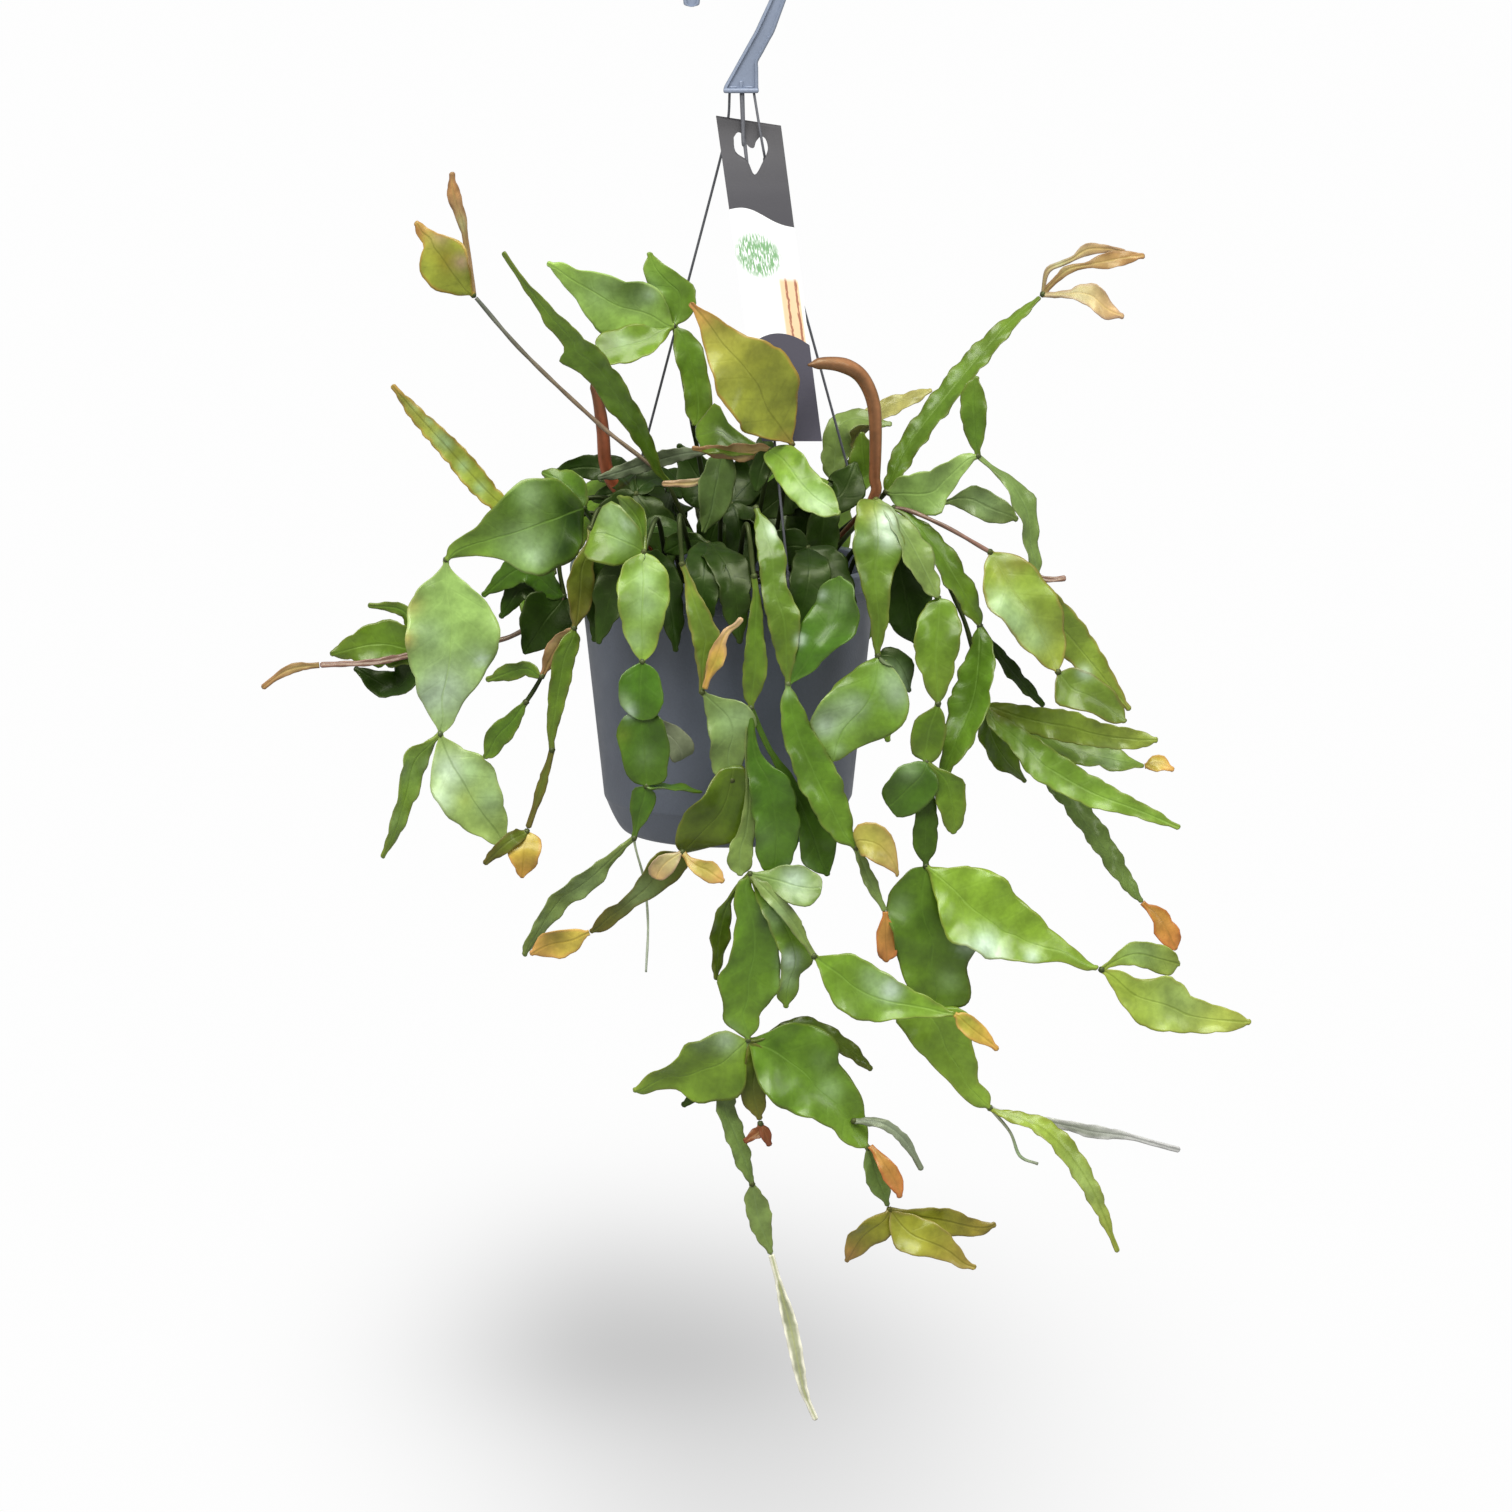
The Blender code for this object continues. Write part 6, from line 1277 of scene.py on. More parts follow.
def frames_along(centres, share, total, turn):
    """The face and edge directions of a segment that faces the viewer.

    The face is turned about the tangent by turn, in degrees at each row.
    """
    tangents = unit(np.gradient(centres, share * total, axis=0))
    facing = np.array([0.0, -math.cos(VIEW_TILT), math.sin(VIEW_TILT) + FACE_UP])
    normals = unit(facing - (tangents @ facing)[:, None] * tangents)
    sides = np.cross(normals, tangents)
    angles = np.radians(turn)[:, None]
    cosine, sine = np.cos(angles), np.sin(angles)
    return normals * cosine + sides * sine, sides * cosine - normals * sine


def bulge(notch):
    """The outline between two notches of the margin: 0 at a notch, rising to 1 between them."""
    return np.sin(np.pi * (notch % 1) ** 1.25) ** 0.7


def outline_of(kind, share):
    """A kind's outline at each share of the length, scaled to a greatest value of 1."""
    rise, fall = KINDS[kind]
    peak = rise / (rise + fall)
    return share ** rise * (1 - share) ** fall / (peak ** rise * (1 - peak) ** fall)


def scalloped(notch, share, full, outline, drawn, is_tip, rng):
    """A margin's half-width: the outline, swelling by a slow wave and drawn in at each notch."""
    swell = 1 + SWELL * np.sin(2 * np.pi * (share * rng.uniform(1.0, 1.8) + rng.random()))
    depth = min(NOTCH_DEPTH, NOTCH_PART * full)
    if drawn:
        swell = 1 + DRAWN_SWELL * (swell - 1)
        depth *= DRAWN_NOTCH
    each = 0.6 + 0.8 * np.interp(notch, np.arange(MOST_NOTCHES), rng.random(MOST_NOTCHES))
    half = full * outline * swell - depth * each * (1 - bulge(notch)) * outline ** 0.5
    half = np.maximum(half, NECK_HALF_WIDTH)
    half[-1] = TIP_HALF_WIDTH if is_tip else NECK_HALF_WIDTH
    return half


def relief(out, notch, full, outline, share, side_phase, phase):
    """How far a blade's face lifts: a trough, waves along the margins, quilting, and a slow arch.

    out runs from 0 at the midrib to 1 at either margin. The margins wave once in two
    notches, and the quilting swells once in each.
    """
    swing = np.sin(np.pi * notch + 2 * np.pi * side_phase)
    wave = (LEAST_WAVE + WAVE * full) * swing * out ** 2.2 * outline[:, None]
    quilt = QUILT * np.sin(2 * np.pi * (notch - 0.6 * out)) * 4 * out * (1 - out) * outline[:, None]
    cup = CUP * full * (outline * np.sin(np.pi * share))[:, None] * out ** 1.25
    arch = ARCH * full * np.cos(np.pi * out * 0.5)
    arch = arch * np.sin(2 * np.pi * share * 1.3 + 6.28 * phase)[:, None]
    return cup + wave + quilt + arch


def half_thickness(distance, half, out):
    """Thickest at the rib by e^-(d / spread)^2 at a distance d from it, and thin at the margins."""
    ribbed = (RIB_HALF_THICKNESS - BLADE_HALF_THICKNESS) * np.exp(-(distance / RIB_SPREAD) ** 2)
    thick = BLADE_HALF_THICKNESS + ribbed
    thick = EDGE_HALF_THICKNESS + (thick - EDGE_HALF_THICKNESS) * (1 - out ** 6)
    return np.minimum(thick, 0.75 * half)


def blade(kind, width, turn, points, leaving, is_tip, tint, rng, margins=None):
    """One flat segment as a closed shell.

    Where its margins are drawn, it spans them, with its midrib halfway. Otherwise its
    half-width is its kind's outline times half the width. The notches of its margins
    alternate left and right.
    """
    fine, lengths = smooth_line(points, leaving)
    total = lengths[-1]
    rows = max(12, int(total / ROW_SPACING))
    share = np.linspace(0, 1, rows)
    share = share - ROWS_CROWD * np.sin(2 * np.pi * share)
    drawn = margins is not None
    if drawn:
        first, second = (along(side, np.linspace(0, 1, MARGIN_SAMPLES), share) for side in margins)
        shift = (points[0] - first[0]) * ((1 - share) ** 2)[:, None]
        centres = (first + second) / 2 + shift
    else:
        centres = along(fine, lengths, share * total)
    sway = rng.uniform(3, 8) * np.sin(2 * np.pi * (share * rng.uniform(0.6, 1.3) + rng.random()))
    face = turn[0] + (turn[1] - turn[0]) * share + sway * smoothstep(0, 0.25, share)
    outward, edge = frames_along(centres, share, total, face)
    if drawn:
        edge = unit(second - first)
        edge[0], edge[-1] = edge[1], edge[-2]
        ahead = np.gradient(centres, axis=0) + 0.3 * (centres[-1] - centres[0]) / rows
        outward = unit(np.cross(ahead, edge))
        given = np.linalg.norm(second - first, axis=1) / 2
        full = given.max()
        outline = given / full
    else:
        full = width * MM / 2
        outline = outline_of(kind, share)

    left = share * max(2.0, total / np.interp(full, *NOTCH_SPACINGS)) + rng.random()
    right = left + 0.5
    halves = [scalloped(notch, share, full, outline, drawn, is_tip, rng) for notch in (left, right)]
    across = np.linspace(-1, 1, COLUMNS)
    across = 0.55 * across + 0.45 * np.sin(across * np.pi / 2)
    out = np.abs(across)[None, :]
    on_left = (across < 0)[None, :]
    half = np.where(on_left, halves[0][:, None], halves[1][:, None])
    notch = np.where(on_left, left[:, None], right[:, None])
    phase = rng.random(2)
    lift = relief(out, notch, full, outline, share, np.where(on_left, phase[0], phase[1]), phase[0])
    distance = out * half
    thick = half_thickness(distance, half, out)
    flat = centres[:, None] + edge[:, None] * (across[None, :] * half)[..., None]
    front = flat + outward[:, None] * (lift + thick)[..., None]
    back = flat + outward[:, None] * (lift - thick)[..., None]
    rings = np.concatenate([front, back[:, ::-1]], axis=1)
    reach = np.stack([distance / MM, (half - distance) / MM, notch + 0 * out], axis=2)
    uv = np.stack([0.5 + 0.5 * across[None, :] + 0 * half, share[:, None] + 0 * half], axis=2)
    reach, uv = (np.concatenate([field, field[:, ::-1]], axis=1) for field in (reach, uv))
    return dressed(rings, tint, share, reach, uv, rng)


def rod(points, width, tint, rng, leaving, foot=None):
    """A round stalk through points, as a closed shell with low swellings along it."""
    fine, lengths = smooth_line(points, leaving)
    total = lengths[-1]
    rows = max(8, int(total / ROW_SPACING))
    share = np.linspace(0, 1, rows)
    centres = along(fine, lengths, share * total)
    if foot is not None:
        centres = np.vstack([foot, centres])
        share = np.linspace(0, 1, rows + 1)
    outward, edge = frames_along(centres, share, total, np.zeros(len(share)))
    angle = ring_angles(STALK_COLUMNS)
    uneven = 1 + 0.08 * np.sin(share[:, None] * total / 0.0031 + 2 * angle[None] + rng.random() * 6)
    rings = rings_about(centres, edge, outward, width * MM / 2 * uneven, angle)
    reach = np.full(rings.shape, FAR_REACH)
    return dressed(rings, tint, share, reach, round_uv(angle, share), rng)


def knot(place, radius, tint, rng):
    """The small uneven knot that the segments of one node grow from."""
    levels = np.linspace(0.12, 0.88, KNUCKLE_ROWS) * np.pi
    angle = ring_angles(STALK_COLUMNS)
    size = radius * (1 + 0.12 * np.sin(3 * angle[None] + 5 * levels[:, None] + rng.random() * 6))
    rings = ball_rings(levels, angle, size) + place
    share = np.linspace(0, 1, KNUCKLE_ROWS)
    return dressed(rings, tint, share, np.full(rings.shape, FAR_REACH), round_uv(angle, share), rng)


def key(place):
    """A place rounded to a micrometre, to look segments' ends up by."""
    return tuple(round(float(value), 6) for value in place)


def back_segments(angle, steps):
    """A chain of segments that hangs down the pot's far side, with side segments."""
    at = (*BACK_CREST, 0.0)
    segments = []
    for kind, width, out, below, lean, carries_on, tint in steps:
        line = []
        for share, bow in ((0, 0), (0.5, 1), (1, 0)):
            radius = at[0] + share * (out - at[0]) + bow * BACK_BOW_OUT
            height = RIM_Z - at[1] - share * (below - at[1]) + bow * BACK_BOW_UP
            turn = math.radians(angle + at[2] + share * (lean - at[2]))
            line.append(np.array([POT_AXIS[0] + radius * math.cos(turn), radius * math.sin(turn), height]))
        segments.append((kind, width, (180, 180), line, tint, None))
        if carries_on:
            at = (out, below, lean)
    return segments


def foot_at(right, toward):
    """The foot of a stalk in the soil, from its place on the soil in metres."""
    return np.array([POT_AXIS[0] + right, -toward, SOIL_Z - STEM_HOLE_DEPTH])


def stem_layout():
    """Every stem: name, colour, the stalk's foot and bends, and its segments, in metres.

    A segment has its kind, width, turn, line, tint, and its margins where they are drawn.
    """
    layout = []
    for name, (colour, root, bends, segments) in STEMS.items():
        foot = root and foot_at(root[0] * MM, root[1] * MM)
        placed = []
        for kind, *fields in segments:
            width = 0 if kind == "drawn" else fields.pop(0)
            turn, line, *fields = fields
            line = places_in(line)
            margins = margins_of(line, [fields.pop(0), fields.pop(0)], turn) if kind == "drawn" else None
            tint = fields[0] if fields else SLOTS[colour][1]
            placed.append((kind, width, turn, [sheet_point(*place) for place in line], tint, margins))
        layout.append((name, colour, foot, [sheet_point(*bend) for bend in places_in(bends)], placed))
    for name, (angle, steps) in BACK_STEMS.items():
        turn = math.radians(angle)
        foot = foot_at(BACK_ROOT_RADIUS * math.cos(turn), -BACK_ROOT_RADIUS * math.sin(turn))
        layout.append((name, "leaf green", foot, [], back_segments(angle, steps)))
    return layout


def stalk_line(foot, bends, node):
    """The stalk's line from just above the soil to the stem's first node."""
    return [foot + np.array([0, 0, STEM_HOLE_DEPTH + SOIL_CROWN + STALK_STRAIGHT])] + bends + [node]


def growth_directions(layout):
    """The direction in which each segment ends, by the place where it ends."""
    directions = {}
    for _, _, foot, bends, segments in layout:
        lines = [segment[3] for segment in segments]
        if foot is not None:
            lines = [stalk_line(foot, bends, lines[0][0])] + lines
        for line in lines:
            directions[key(line[-1])] = unit(line[-1] - line[-2])
    return directions


def on_sheet(places):
    """Where places show on the layout sheet: across and down, in millimetres."""
    x, y, z = (places + sheet_origin()).T
    sine, cosine = math.sin(VIEW_TILT), math.cos(VIEW_TILT)
    nearness = VIEW_DISTANCE / (VIEW_DISTANCE + y * cosine - z * sine)
    return SHEET_MIDDLE + x * nearness / MM, SHEET_MIDDLE - (y * sine + z * cosine) * nearness / MM


def touch_up(shell, touches):
    """Soft round touches of colour, e^-(d / radius)^2 strong at a distance d from the middle."""
    # The sheen, light and shade touches are painted highlights, painted light and painted shade on the
    # tissue colour
    across, down = on_sheet(shell["places"])
    tissue = shell["tissue"][:, :3]
    for touch in touches.split():
        right, below, radius, colour, strength = touch.split(",")
        apart = np.hypot(2 * across - float(right), 2 * down - float(below)) / float(radius)
        share = (float(strength) * np.exp(-apart ** 2))[:, None]
        tissue += share * (np.array(TOUCH_COLOURS[colour]) - tissue)


def build_stem(number, stem, directions, materials):
    """One leafy stem or young shoot: stalk, knuckles and blades in one piece."""
    name, colour, foot, bends, segments = stem
    slot = SLOTS[colour][0]
    rng = np.random.default_rng(SEED + number)
    starts = [key(segment[3][0]) for segment in segments]
    base = segments[0][3][0]
    crowded = starts.count(starts[0]) > 1
    if foot is None:
        ahead = directions.get(starts[0], unit(segments[0][3][1] - base))
        base = base + ahead * (YOUNG_GAP + (KNUCKLE_RADIUS if crowded else 0))
    shells = []
    if foot is not None:
        stalk = stalk_line(foot, bends, base)
        # The stalk takes the near-black stalk tint, partly painted shade
        shells.append(rod(stalk, STALK_WIDTH, "stalk", rng, (0, 0, 1), foot))
    for index, (kind, width, turn, line, tint, margins) in enumerate(segments):
        if starts[index] == starts[0]:
            line = [base] + line[1:]
        if starts[index] not in starts[:index] and (index > 0 or foot is not None or crowded):
            shells.append(knot(line[0], KNUCKLE_RADIUS, "knuckle", rng))
        own = unit(line[1] - line[0])
        leaving = unit(own + directions.get(starts[index], own) * FOLLOWS_PARENT)
        if kind == "stalk":
            shells.append(rod(line, width, tint, rng, leaving))
        else:
            is_tip = key(line[-1]) not in starts
            shells.append(blade(kind, width, turn, line, leaving, is_tip, tint, rng, margins))
    # The touches paint highlights, light and shade into each shell's tissue colour, besides tints
    for shell in shells:
        touch_up(shell, TOUCHES.get(name, ""))
    make_piece(name + "_leaves", shells, materials[slot], slot, name)


def build_copper_shoots(material):
    """The two thick copper-brown shoots, each rolled into a tube whose edge laps over itself.

    The radius shrinks once round from the outer lap to the inner one, with low ridges.
    """
    angle = ring_angles(ROLL_COLUMNS, 0.5)
    share = np.linspace(0, 1, ROLL_ROWS + 1)
    roll = 1.02 - 0.20 * (angle / (2 * np.pi))
    ridge = 0.03 * np.sin(3 * angle)[None] * np.sin(9 * share)[:, None]
    for name, (root, line, radii) in COPPER_SHOOTS.items():
        foot = foot_at(root[0] * MM, root[1] * MM)
        points = [sheet_point(*place) for place in places_in(line)]
        fine, lengths = smooth_line(stalk_line(foot, points[:-1], points[-1]), (0, 0, 1))
        total = lengths[-1]
        centres = np.vstack([foot, along(fine, lengths, np.linspace(0, 1, ROLL_ROWS) * total)])
        outward, edge = frames_along(centres, share, total, 40 + 70 * share)
        wide = [STALK_WIDTH / 2 * 0.95] + radii
        radius = np.interp(share, np.linspace(0, 1, len(wide)), wide) * MM
        radius *= 1 - 0.75 * smoothstep(0.965, 1.0, share)
        rings = rings_about(centres, edge, outward, radius[:, None] * (roll[None] + ridge), angle)
        channels = zip(*COPPER_COLOURS[name])
        tint = np.stack([np.interp(share, COPPER_STATIONS, channel) for channel in channels], axis=1)
        streak = 1 + 0.22 * np.sin(4 * angle)[None, :, None] + 0 * tint[:, None, :]
        tissue = np.concatenate([tint[:, None] * streak, np.ones(rings.shape[:2] + (1,))], axis=2)
        blank = np.zeros(rings.shape[:2] + (4,))
        blank[..., :3] = 0.2
        shell = closed_tube(rings, tissue=tissue, margin=blank, rib=blank,
                            reach=np.full(rings.shape, FAR_REACH), uv=round_uv(angle, share))
        make_piece(name + "_roll", [shell], material, "copper_shoot", name)


# The pot and the soil


def rounded(corners, radii):
    """A profile whose corners are rounded: each by a quadratic curve that starts a radius away."""
    corners = np.array(corners, float)
    line = [corners[0]]
    for before, corner, after, radius in zip(corners, corners[1:], corners[2:], radii):
        reach_in = min(radius, np.linalg.norm(before - corner) * 0.49)
        reach_out = min(radius, np.linalg.norm(after - corner) * 0.49)
        start = corner + unit(before - corner) * reach_in
        end = corner + unit(after - corner) * reach_out
        for t in np.linspace(0, 1, CORNER_STEPS):
            line.append((1 - t) ** 2 * start + 2 * t * (1 - t) * corner + t * t * end)
    line.append(corners[-1])
    return np.array(line)


def turned(profile, around, centre):
    """A solid of revolution about an upright axis, from a profile of (radius, height) that ends on it."""
    radius, height = profile[1:-1, 0, None], profile[1:-1, 1, None]
    angle = ring_angles(around)
    rings = np.stack([radius * np.cos(angle), radius * np.sin(angle), height + 0 * angle], axis=2)
    shell = closed_tube(rings + centre)
    shell["places"][-2] = np.array([0, 0, profile[0, 1]]) + centre
    shell["places"][-1] = np.array([0, 0, profile[-1, 1]]) + centre
    return shell


def build_pot(material):
    """The round pot: rolled lip with a band below it, tapered wall, drawn-in foot with a ring."""
    band = RIM_RADIUS - WALL_STEP
    foot_z = POT_FLOOR_Z + FOOT_HEIGHT
    floor = POT_FLOOR_Z + FOOT_RECESS + POT_WALL
    lip = RIM_RADIUS + RIM_LIP
    corners = [
        (0, floor), (FLOOR_RADIUS - POT_WALL, floor), (WALL_FOOT_RADIUS - POT_WALL, foot_z + 0.001),
        (band - POT_WALL - 0.0004, RIM_Z - 0.004), (band - POT_WALL, RIM_Z), (lip, RIM_Z),
        (lip, RIM_Z - RIM_BAND), (lip - 0.0012, RIM_Z - RIM_BAND), (band, RIM_Z - RIM_BAND + 0.0004),
        (band - 0.0007, RIM_Z - RIM_BAND - 0.006), (band - 0.0012, RIM_Z - RIM_BAND - 0.0063),
        (WALL_FOOT_RADIUS, foot_z + 0.001), (WALL_FOOT_RADIUS - 0.0008, foot_z - 0.0002),
        (WALL_FOOT_RADIUS - 0.0040, foot_z - 0.0080), (FLOOR_RADIUS + 0.0030, POT_FLOOR_Z + 0.0015),
        (FLOOR_RADIUS, POT_FLOOR_Z), (FLOOR_RADIUS - FOOT_RING, POT_FLOOR_Z),
        (FLOOR_RADIUS - FOOT_RING - 0.001, POT_FLOOR_Z + FOOT_RECESS), (0, POT_FLOOR_Z + FOOT_RECESS),
    ]
    radii = [0.002, 0.002, 0.001, 0.0012, 0.0016, 0.0012, 0.0004, 0.0003, 0.0004, 0.0003, 0.0012, 0.0004,
             0.006, 0.004, 0.0012, 0.0010, 0.0010]
    shell = turned(rounded(corners, radii), POT_COLUMNS, POT_MIDDLE)
    make_piece("pot_shell", [shell], material, "pot", "pot", crease=50)


def inner_radius(height):
    """The pot's inner radius at a height between its foot and its rim."""
    foot_z = POT_FLOOR_Z + FOOT_HEIGHT + WALL_STEP
    share = (height - foot_z) / (RIM_Z - foot_z)
    low = WALL_FOOT_RADIUS - POT_WALL
    return low + share * (RIM_RADIUS - WALL_STEP - POT_WALL - low)


def soil_height(x, y):
    """The soil's surface: a low crown with soft lumps, as a sum of crossing waves."""
    lumps = (np.sin(x * 310 + 1.3) * np.sin(y * 270 + 0.4) + 0.6 * np.sin(x * 640 - y * 500)
             + 0.45 * np.sin(x * 1300 + y * 900 + 2.0))
    radius = np.hypot(x, y)
    crown = SOIL_CROWN * (1 - (radius / inner_radius(SOIL_Z)) ** 2)
    return SOIL_Z + crown - SOIL_SUNK + SOIL_LUMP * lumps


def crumb(place, size, rng):
    """A rough grain: a small ball of three rings with each point moved in or out."""
    levels = np.array([0.2, 0.5, 0.8]) * np.pi
    angle = ring_angles(6) + rng.random()
    radius = size * rng.uniform(0.65, 1.2, (3, 6))
    return closed_tube(ball_rings(levels, angle, radius, rng.uniform(0.6, 1.0)) + place)


def build_soil(soil_finish, perlite_finish):
    """The potting mix: a lumpy filling, dark crumbs, and white perlite grains on top."""
    rng = np.random.default_rng(SEED + 500)
    floor = POT_FLOOR_Z + FOOT_RECESS + POT_WALL + GAP
    foot_z = POT_FLOOR_Z + FOOT_HEIGHT + WALL_STEP
    levels = np.linspace(0.0006, 1, SOIL_ROWS)
    edge = inner_radius(SOIL_Z) - SOIL_CLEAR
    angle = ring_angles(SOIL_COLUMNS)
    rings = []
    for radius in levels * edge:
        x, y = radius * np.cos(angle), radius * np.sin(angle)
        rings.append(np.stack([x, y, soil_height(x, y)], axis=1))
    for radius, height in ((inner_radius(foot_z), foot_z), (FLOOR_RADIUS - POT_WALL, floor)):
        radius -= SOIL_CLEAR
        rings.append(np.stack([radius * np.cos(angle), radius * np.sin(angle), height + 0 * angle], axis=1))
    filling = closed_tube(np.array(rings) + POT_MIDDLE)
    dark, pale = [filling], []
    for _ in range(CRUMBS):
        radius = (edge - 0.003) * math.sqrt(rng.random())
        turn = rng.random() * 2 * math.pi
        x, y = radius * math.cos(turn), radius * math.sin(turn)
        size = rng.uniform(*CRUMB_SIZES)
        place = POT_MIDDLE + np.array([x, y, soil_height(x, y) + size * 0.3])
        (pale if rng.random() < PERLITE_SHARE else dark).append(crumb(place, size, rng))
    make_piece("soil_filling", dark, soil_finish, "soil", "soil", crease=60)
    make_piece("soil_perlite", pale, perlite_finish, "soil", "soil", crease=60)


# The hook, its strands and the label


def ribbon(left, right, depth):
    """A flat moulded bar between two edge lines, as a closed shell.

    Each face has a raised flange along both edges and a groove between them, and the
    edges are rounded.
    """
    left, right = np.array(left), np.array(right)
    wide = np.linalg.norm(right - left, axis=1)
    insets = np.array([0.0, 0.0003, 0.0008, 0.0015, 0.0019])
    levels = np.array([0.0009, 0.0003, 0.0, 0.0, HOOK_GROOVE])
    stations = np.stack([insets + 0 * wide[:, None], wide[:, None] - insets], axis=2)
    across = np.concatenate([stations[..., 0], stations[:, ::-1, 1]], axis=1) / wide[:, None]
    drop = np.concatenate([levels, levels[::-1]])
    flat = left[:, None] + (right - left)[:, None] * across[..., None]
    front, back = flat.copy(), flat.copy()
    front[..., 1] -= depth / 2 - drop
    back[..., 1] += depth / 2 - drop
    return closed_tube(np.concatenate([front, back[:, ::-1]], axis=1))


def hook_edges():
    """The hook's two edge lines: up the slanted arm, round the crown, down to the rounded free tip."""
    downs = np.array([44.6, 42.9, 38.0, 34.0, 30.8, 26.0, 20.0, 15.6, 8.0, 0.0])
    lefts = np.interp(downs, [0, 15.6, 42.9, 44.6], [384.7, 377.5, 362.3, 361.8])
    rights = np.interp(downs, [0, 15.6, 30.8, 44.6], [393.0, 387.3, 379.1, 379.2])
    left = [sheet_point(across, down, 0) for across, down in zip(lefts, downs)]
    right = [sheet_point(across, down, 0) for across, down in zip(rights, downs)]
    centre = np.array([0, 0, -HOOK_INNER_RADIUS])
    for turn in np.radians(np.linspace(-8, 180, 56)):
        ray = np.array([math.cos(turn), 0, math.sin(turn)])
        left.append(centre + ray * HOOK_INNER_RADIUS)
        right.append(centre + ray * (HOOK_INNER_RADIUS + HOOK_WIDTH))
    for step in (0.4, 0.8, 0.93, 1.0):
        shrink = HOOK_WIDTH * 0.5 * (1 - math.sqrt(1 - max(0.0, (step - 0.8) / 0.2) ** 2)) * 0.8
        below = np.array([0, 0, -HOOK_TIP_DROP * step])
        left.append(centre + np.array([-HOOK_INNER_RADIUS - shrink, 0, 0]) + below)
        right.append(centre + np.array([-HOOK_INNER_RADIUS - HOOK_WIDTH + shrink, 0, 0]) + below)
    return [smooth_line(side, samples=3)[0] for side in (left, right)]


def bar(corner, size, bevel):
    """A block with rounded edges between a low corner and corner + size, as a closed shell."""
    low, high = np.array(corner), np.array(corner) + np.array(size)
    arc = np.linspace(0, np.pi / 2, 4)
    section = []
    for quarter in range(4):
        y = high[1] - bevel if quarter in (0, 3) else low[1] + bevel
        z = high[2] - bevel if quarter in (0, 1) else low[2] + bevel
        for turn in arc + quarter * np.pi / 2:
            section.append((y, z, math.cos(turn), math.sin(turn)))
    section = np.array(section)
    rings = []
    for x, grow in ((low[0], 0.0), (low[0] + bevel * 0.3, 0.7), (low[0] + bevel, 1.0),
                    (high[0] - bevel, 1.0), (high[0] - bevel * 0.3, 0.7), (high[0], 0.0)):
        places = section[:, :2] + section[:, 2:] * bevel * grow
        rings.append(np.column_stack([np.full(len(places), x), places]))
    return closed_tube(np.array(rings))


def build_hook(material):
    """The flat moulded hook with grooved faces, its foot bar, and the ridges on that."""
    left, right = hook_edges()
    arm = ribbon(left, right, HOOK_THICKNESS)
    base = sheet_point(361.7, 46.3, 0)
    top = sheet_point(379.4, 43.9, 0)
    size = (top[0] - base[0], YOKE_DEPTH, top[2] - base[2])
    shells = [arm, bar((base[0], -YOKE_DEPTH / 2, base[2]), size, 0.0009)]
    deep = HOOK_THICKNESS / 2 - 0.0002
    for across, half, low, high in YOKE_RIDGES:
        a, b = sheet_point(across - half, low, 0), sheet_point(across + half, high, 0)
        shells.append(bar((a[0], -deep, a[2]), (b[0] - a[0], 2 * deep, b[2] - a[2]), 0.0004))
    make_piece("hook_moulding", shells, material, "hook", "hook", crease=35)


def rim_point(angle):
    """Where a clip sits on the lip's top face, at an angle about the pot's axis."""
    middle = RIM_RADIUS + RIM_LIP - CLIP_SEAT_IN
    return np.array([POT_AXIS[0] + middle * math.cos(angle), middle * math.sin(angle), RIM_Z])


def wire(points, radii):
    """A round plastic wire through points, its radius running through radii, as a closed shell."""
    fine, lengths = smooth_line(points, samples=10)
    tangents = unit(np.gradient(fine, axis=0))
    side = unit(np.cross(tangents, [0.0, 1.0, 0.0]))
    up = np.cross(side, tangents)
    radius = np.interp(lengths / lengths[-1], np.linspace(0, 1, len(radii)), radii)
    return closed_tube(rings_about(fine, side, up, radius[:, None], ring_angles(STRAND_COLUMNS)))


def clip_rings(angle):
    """The clip that straddles the lip: outlines of an inverted U, side by side across its width."""
    seat = rim_point(angle)
    width, depth, height = CLIP_SIZE
    top = seat[2] + GAP + height - CLIP_LEG
    outer = 0.5 * depth
    slot = (RIM_LIP + WALL_STEP + POT_WALL) / 2 + GAP
    shift = CLIP_SEAT_IN - slot + GAP
    low = top - height
    outline = [
        (-outer - 0.0006, low), (-outer - 0.0006, top - 0.0012), (-outer + 0.0008, top),
        (outer - 0.0002, top), (outer + 0.0008, top - 0.0012), (outer + 0.0008, low),
        (shift + slot, low + 0.0004), (shift + slot, seat[2] + GAP), (shift - slot, seat[2] + GAP),
        (shift - slot, low + 0.0004),
    ]
    ray = np.array([math.cos(angle), math.sin(angle), 0])
    side = np.array([-math.sin(angle), math.cos(angle), 0])
    rings = []
    for step, grow in ((-1.0, 0.982), (-0.9, 1.0), (0.9, 1.0), (1.0, 0.982)):
        across = side * step * width / 2
        rings.append([np.array([seat[0], seat[1], up]) + ray * out * grow + across for out, up in outline])
    return np.array(rings)


def flat_solid(outline_rings):
    """A closed shell from matching outline rings, whose end faces are filled as polygons."""
    shape = bmesh.new()
    rows = [[shape.verts.new(tuple(place)) for place in ring] for ring in outline_rings]
    count = len(rows[0])
    for here, there in zip(rows, rows[1:]):
        for k in range(count):
            shape.faces.new((here[k], here[(k + 1) % count], there[(k + 1) % count], there[k]))
    shape.faces.new(rows[0][::-1])
    shape.faces.new(rows[-1])
    bmesh.ops.recalc_face_normals(shape, faces=shape.faces)
    bmesh.ops.triangulate(shape, faces=shape.faces)
    shape.verts.index_update()
    places = np.array([tuple(vertex.co) for vertex in shape.verts])
    triangles = np.array([[vertex.index for vertex in face.verts] for face in shape.faces])
    shape.free()
    return plain_shell(places, triangles)


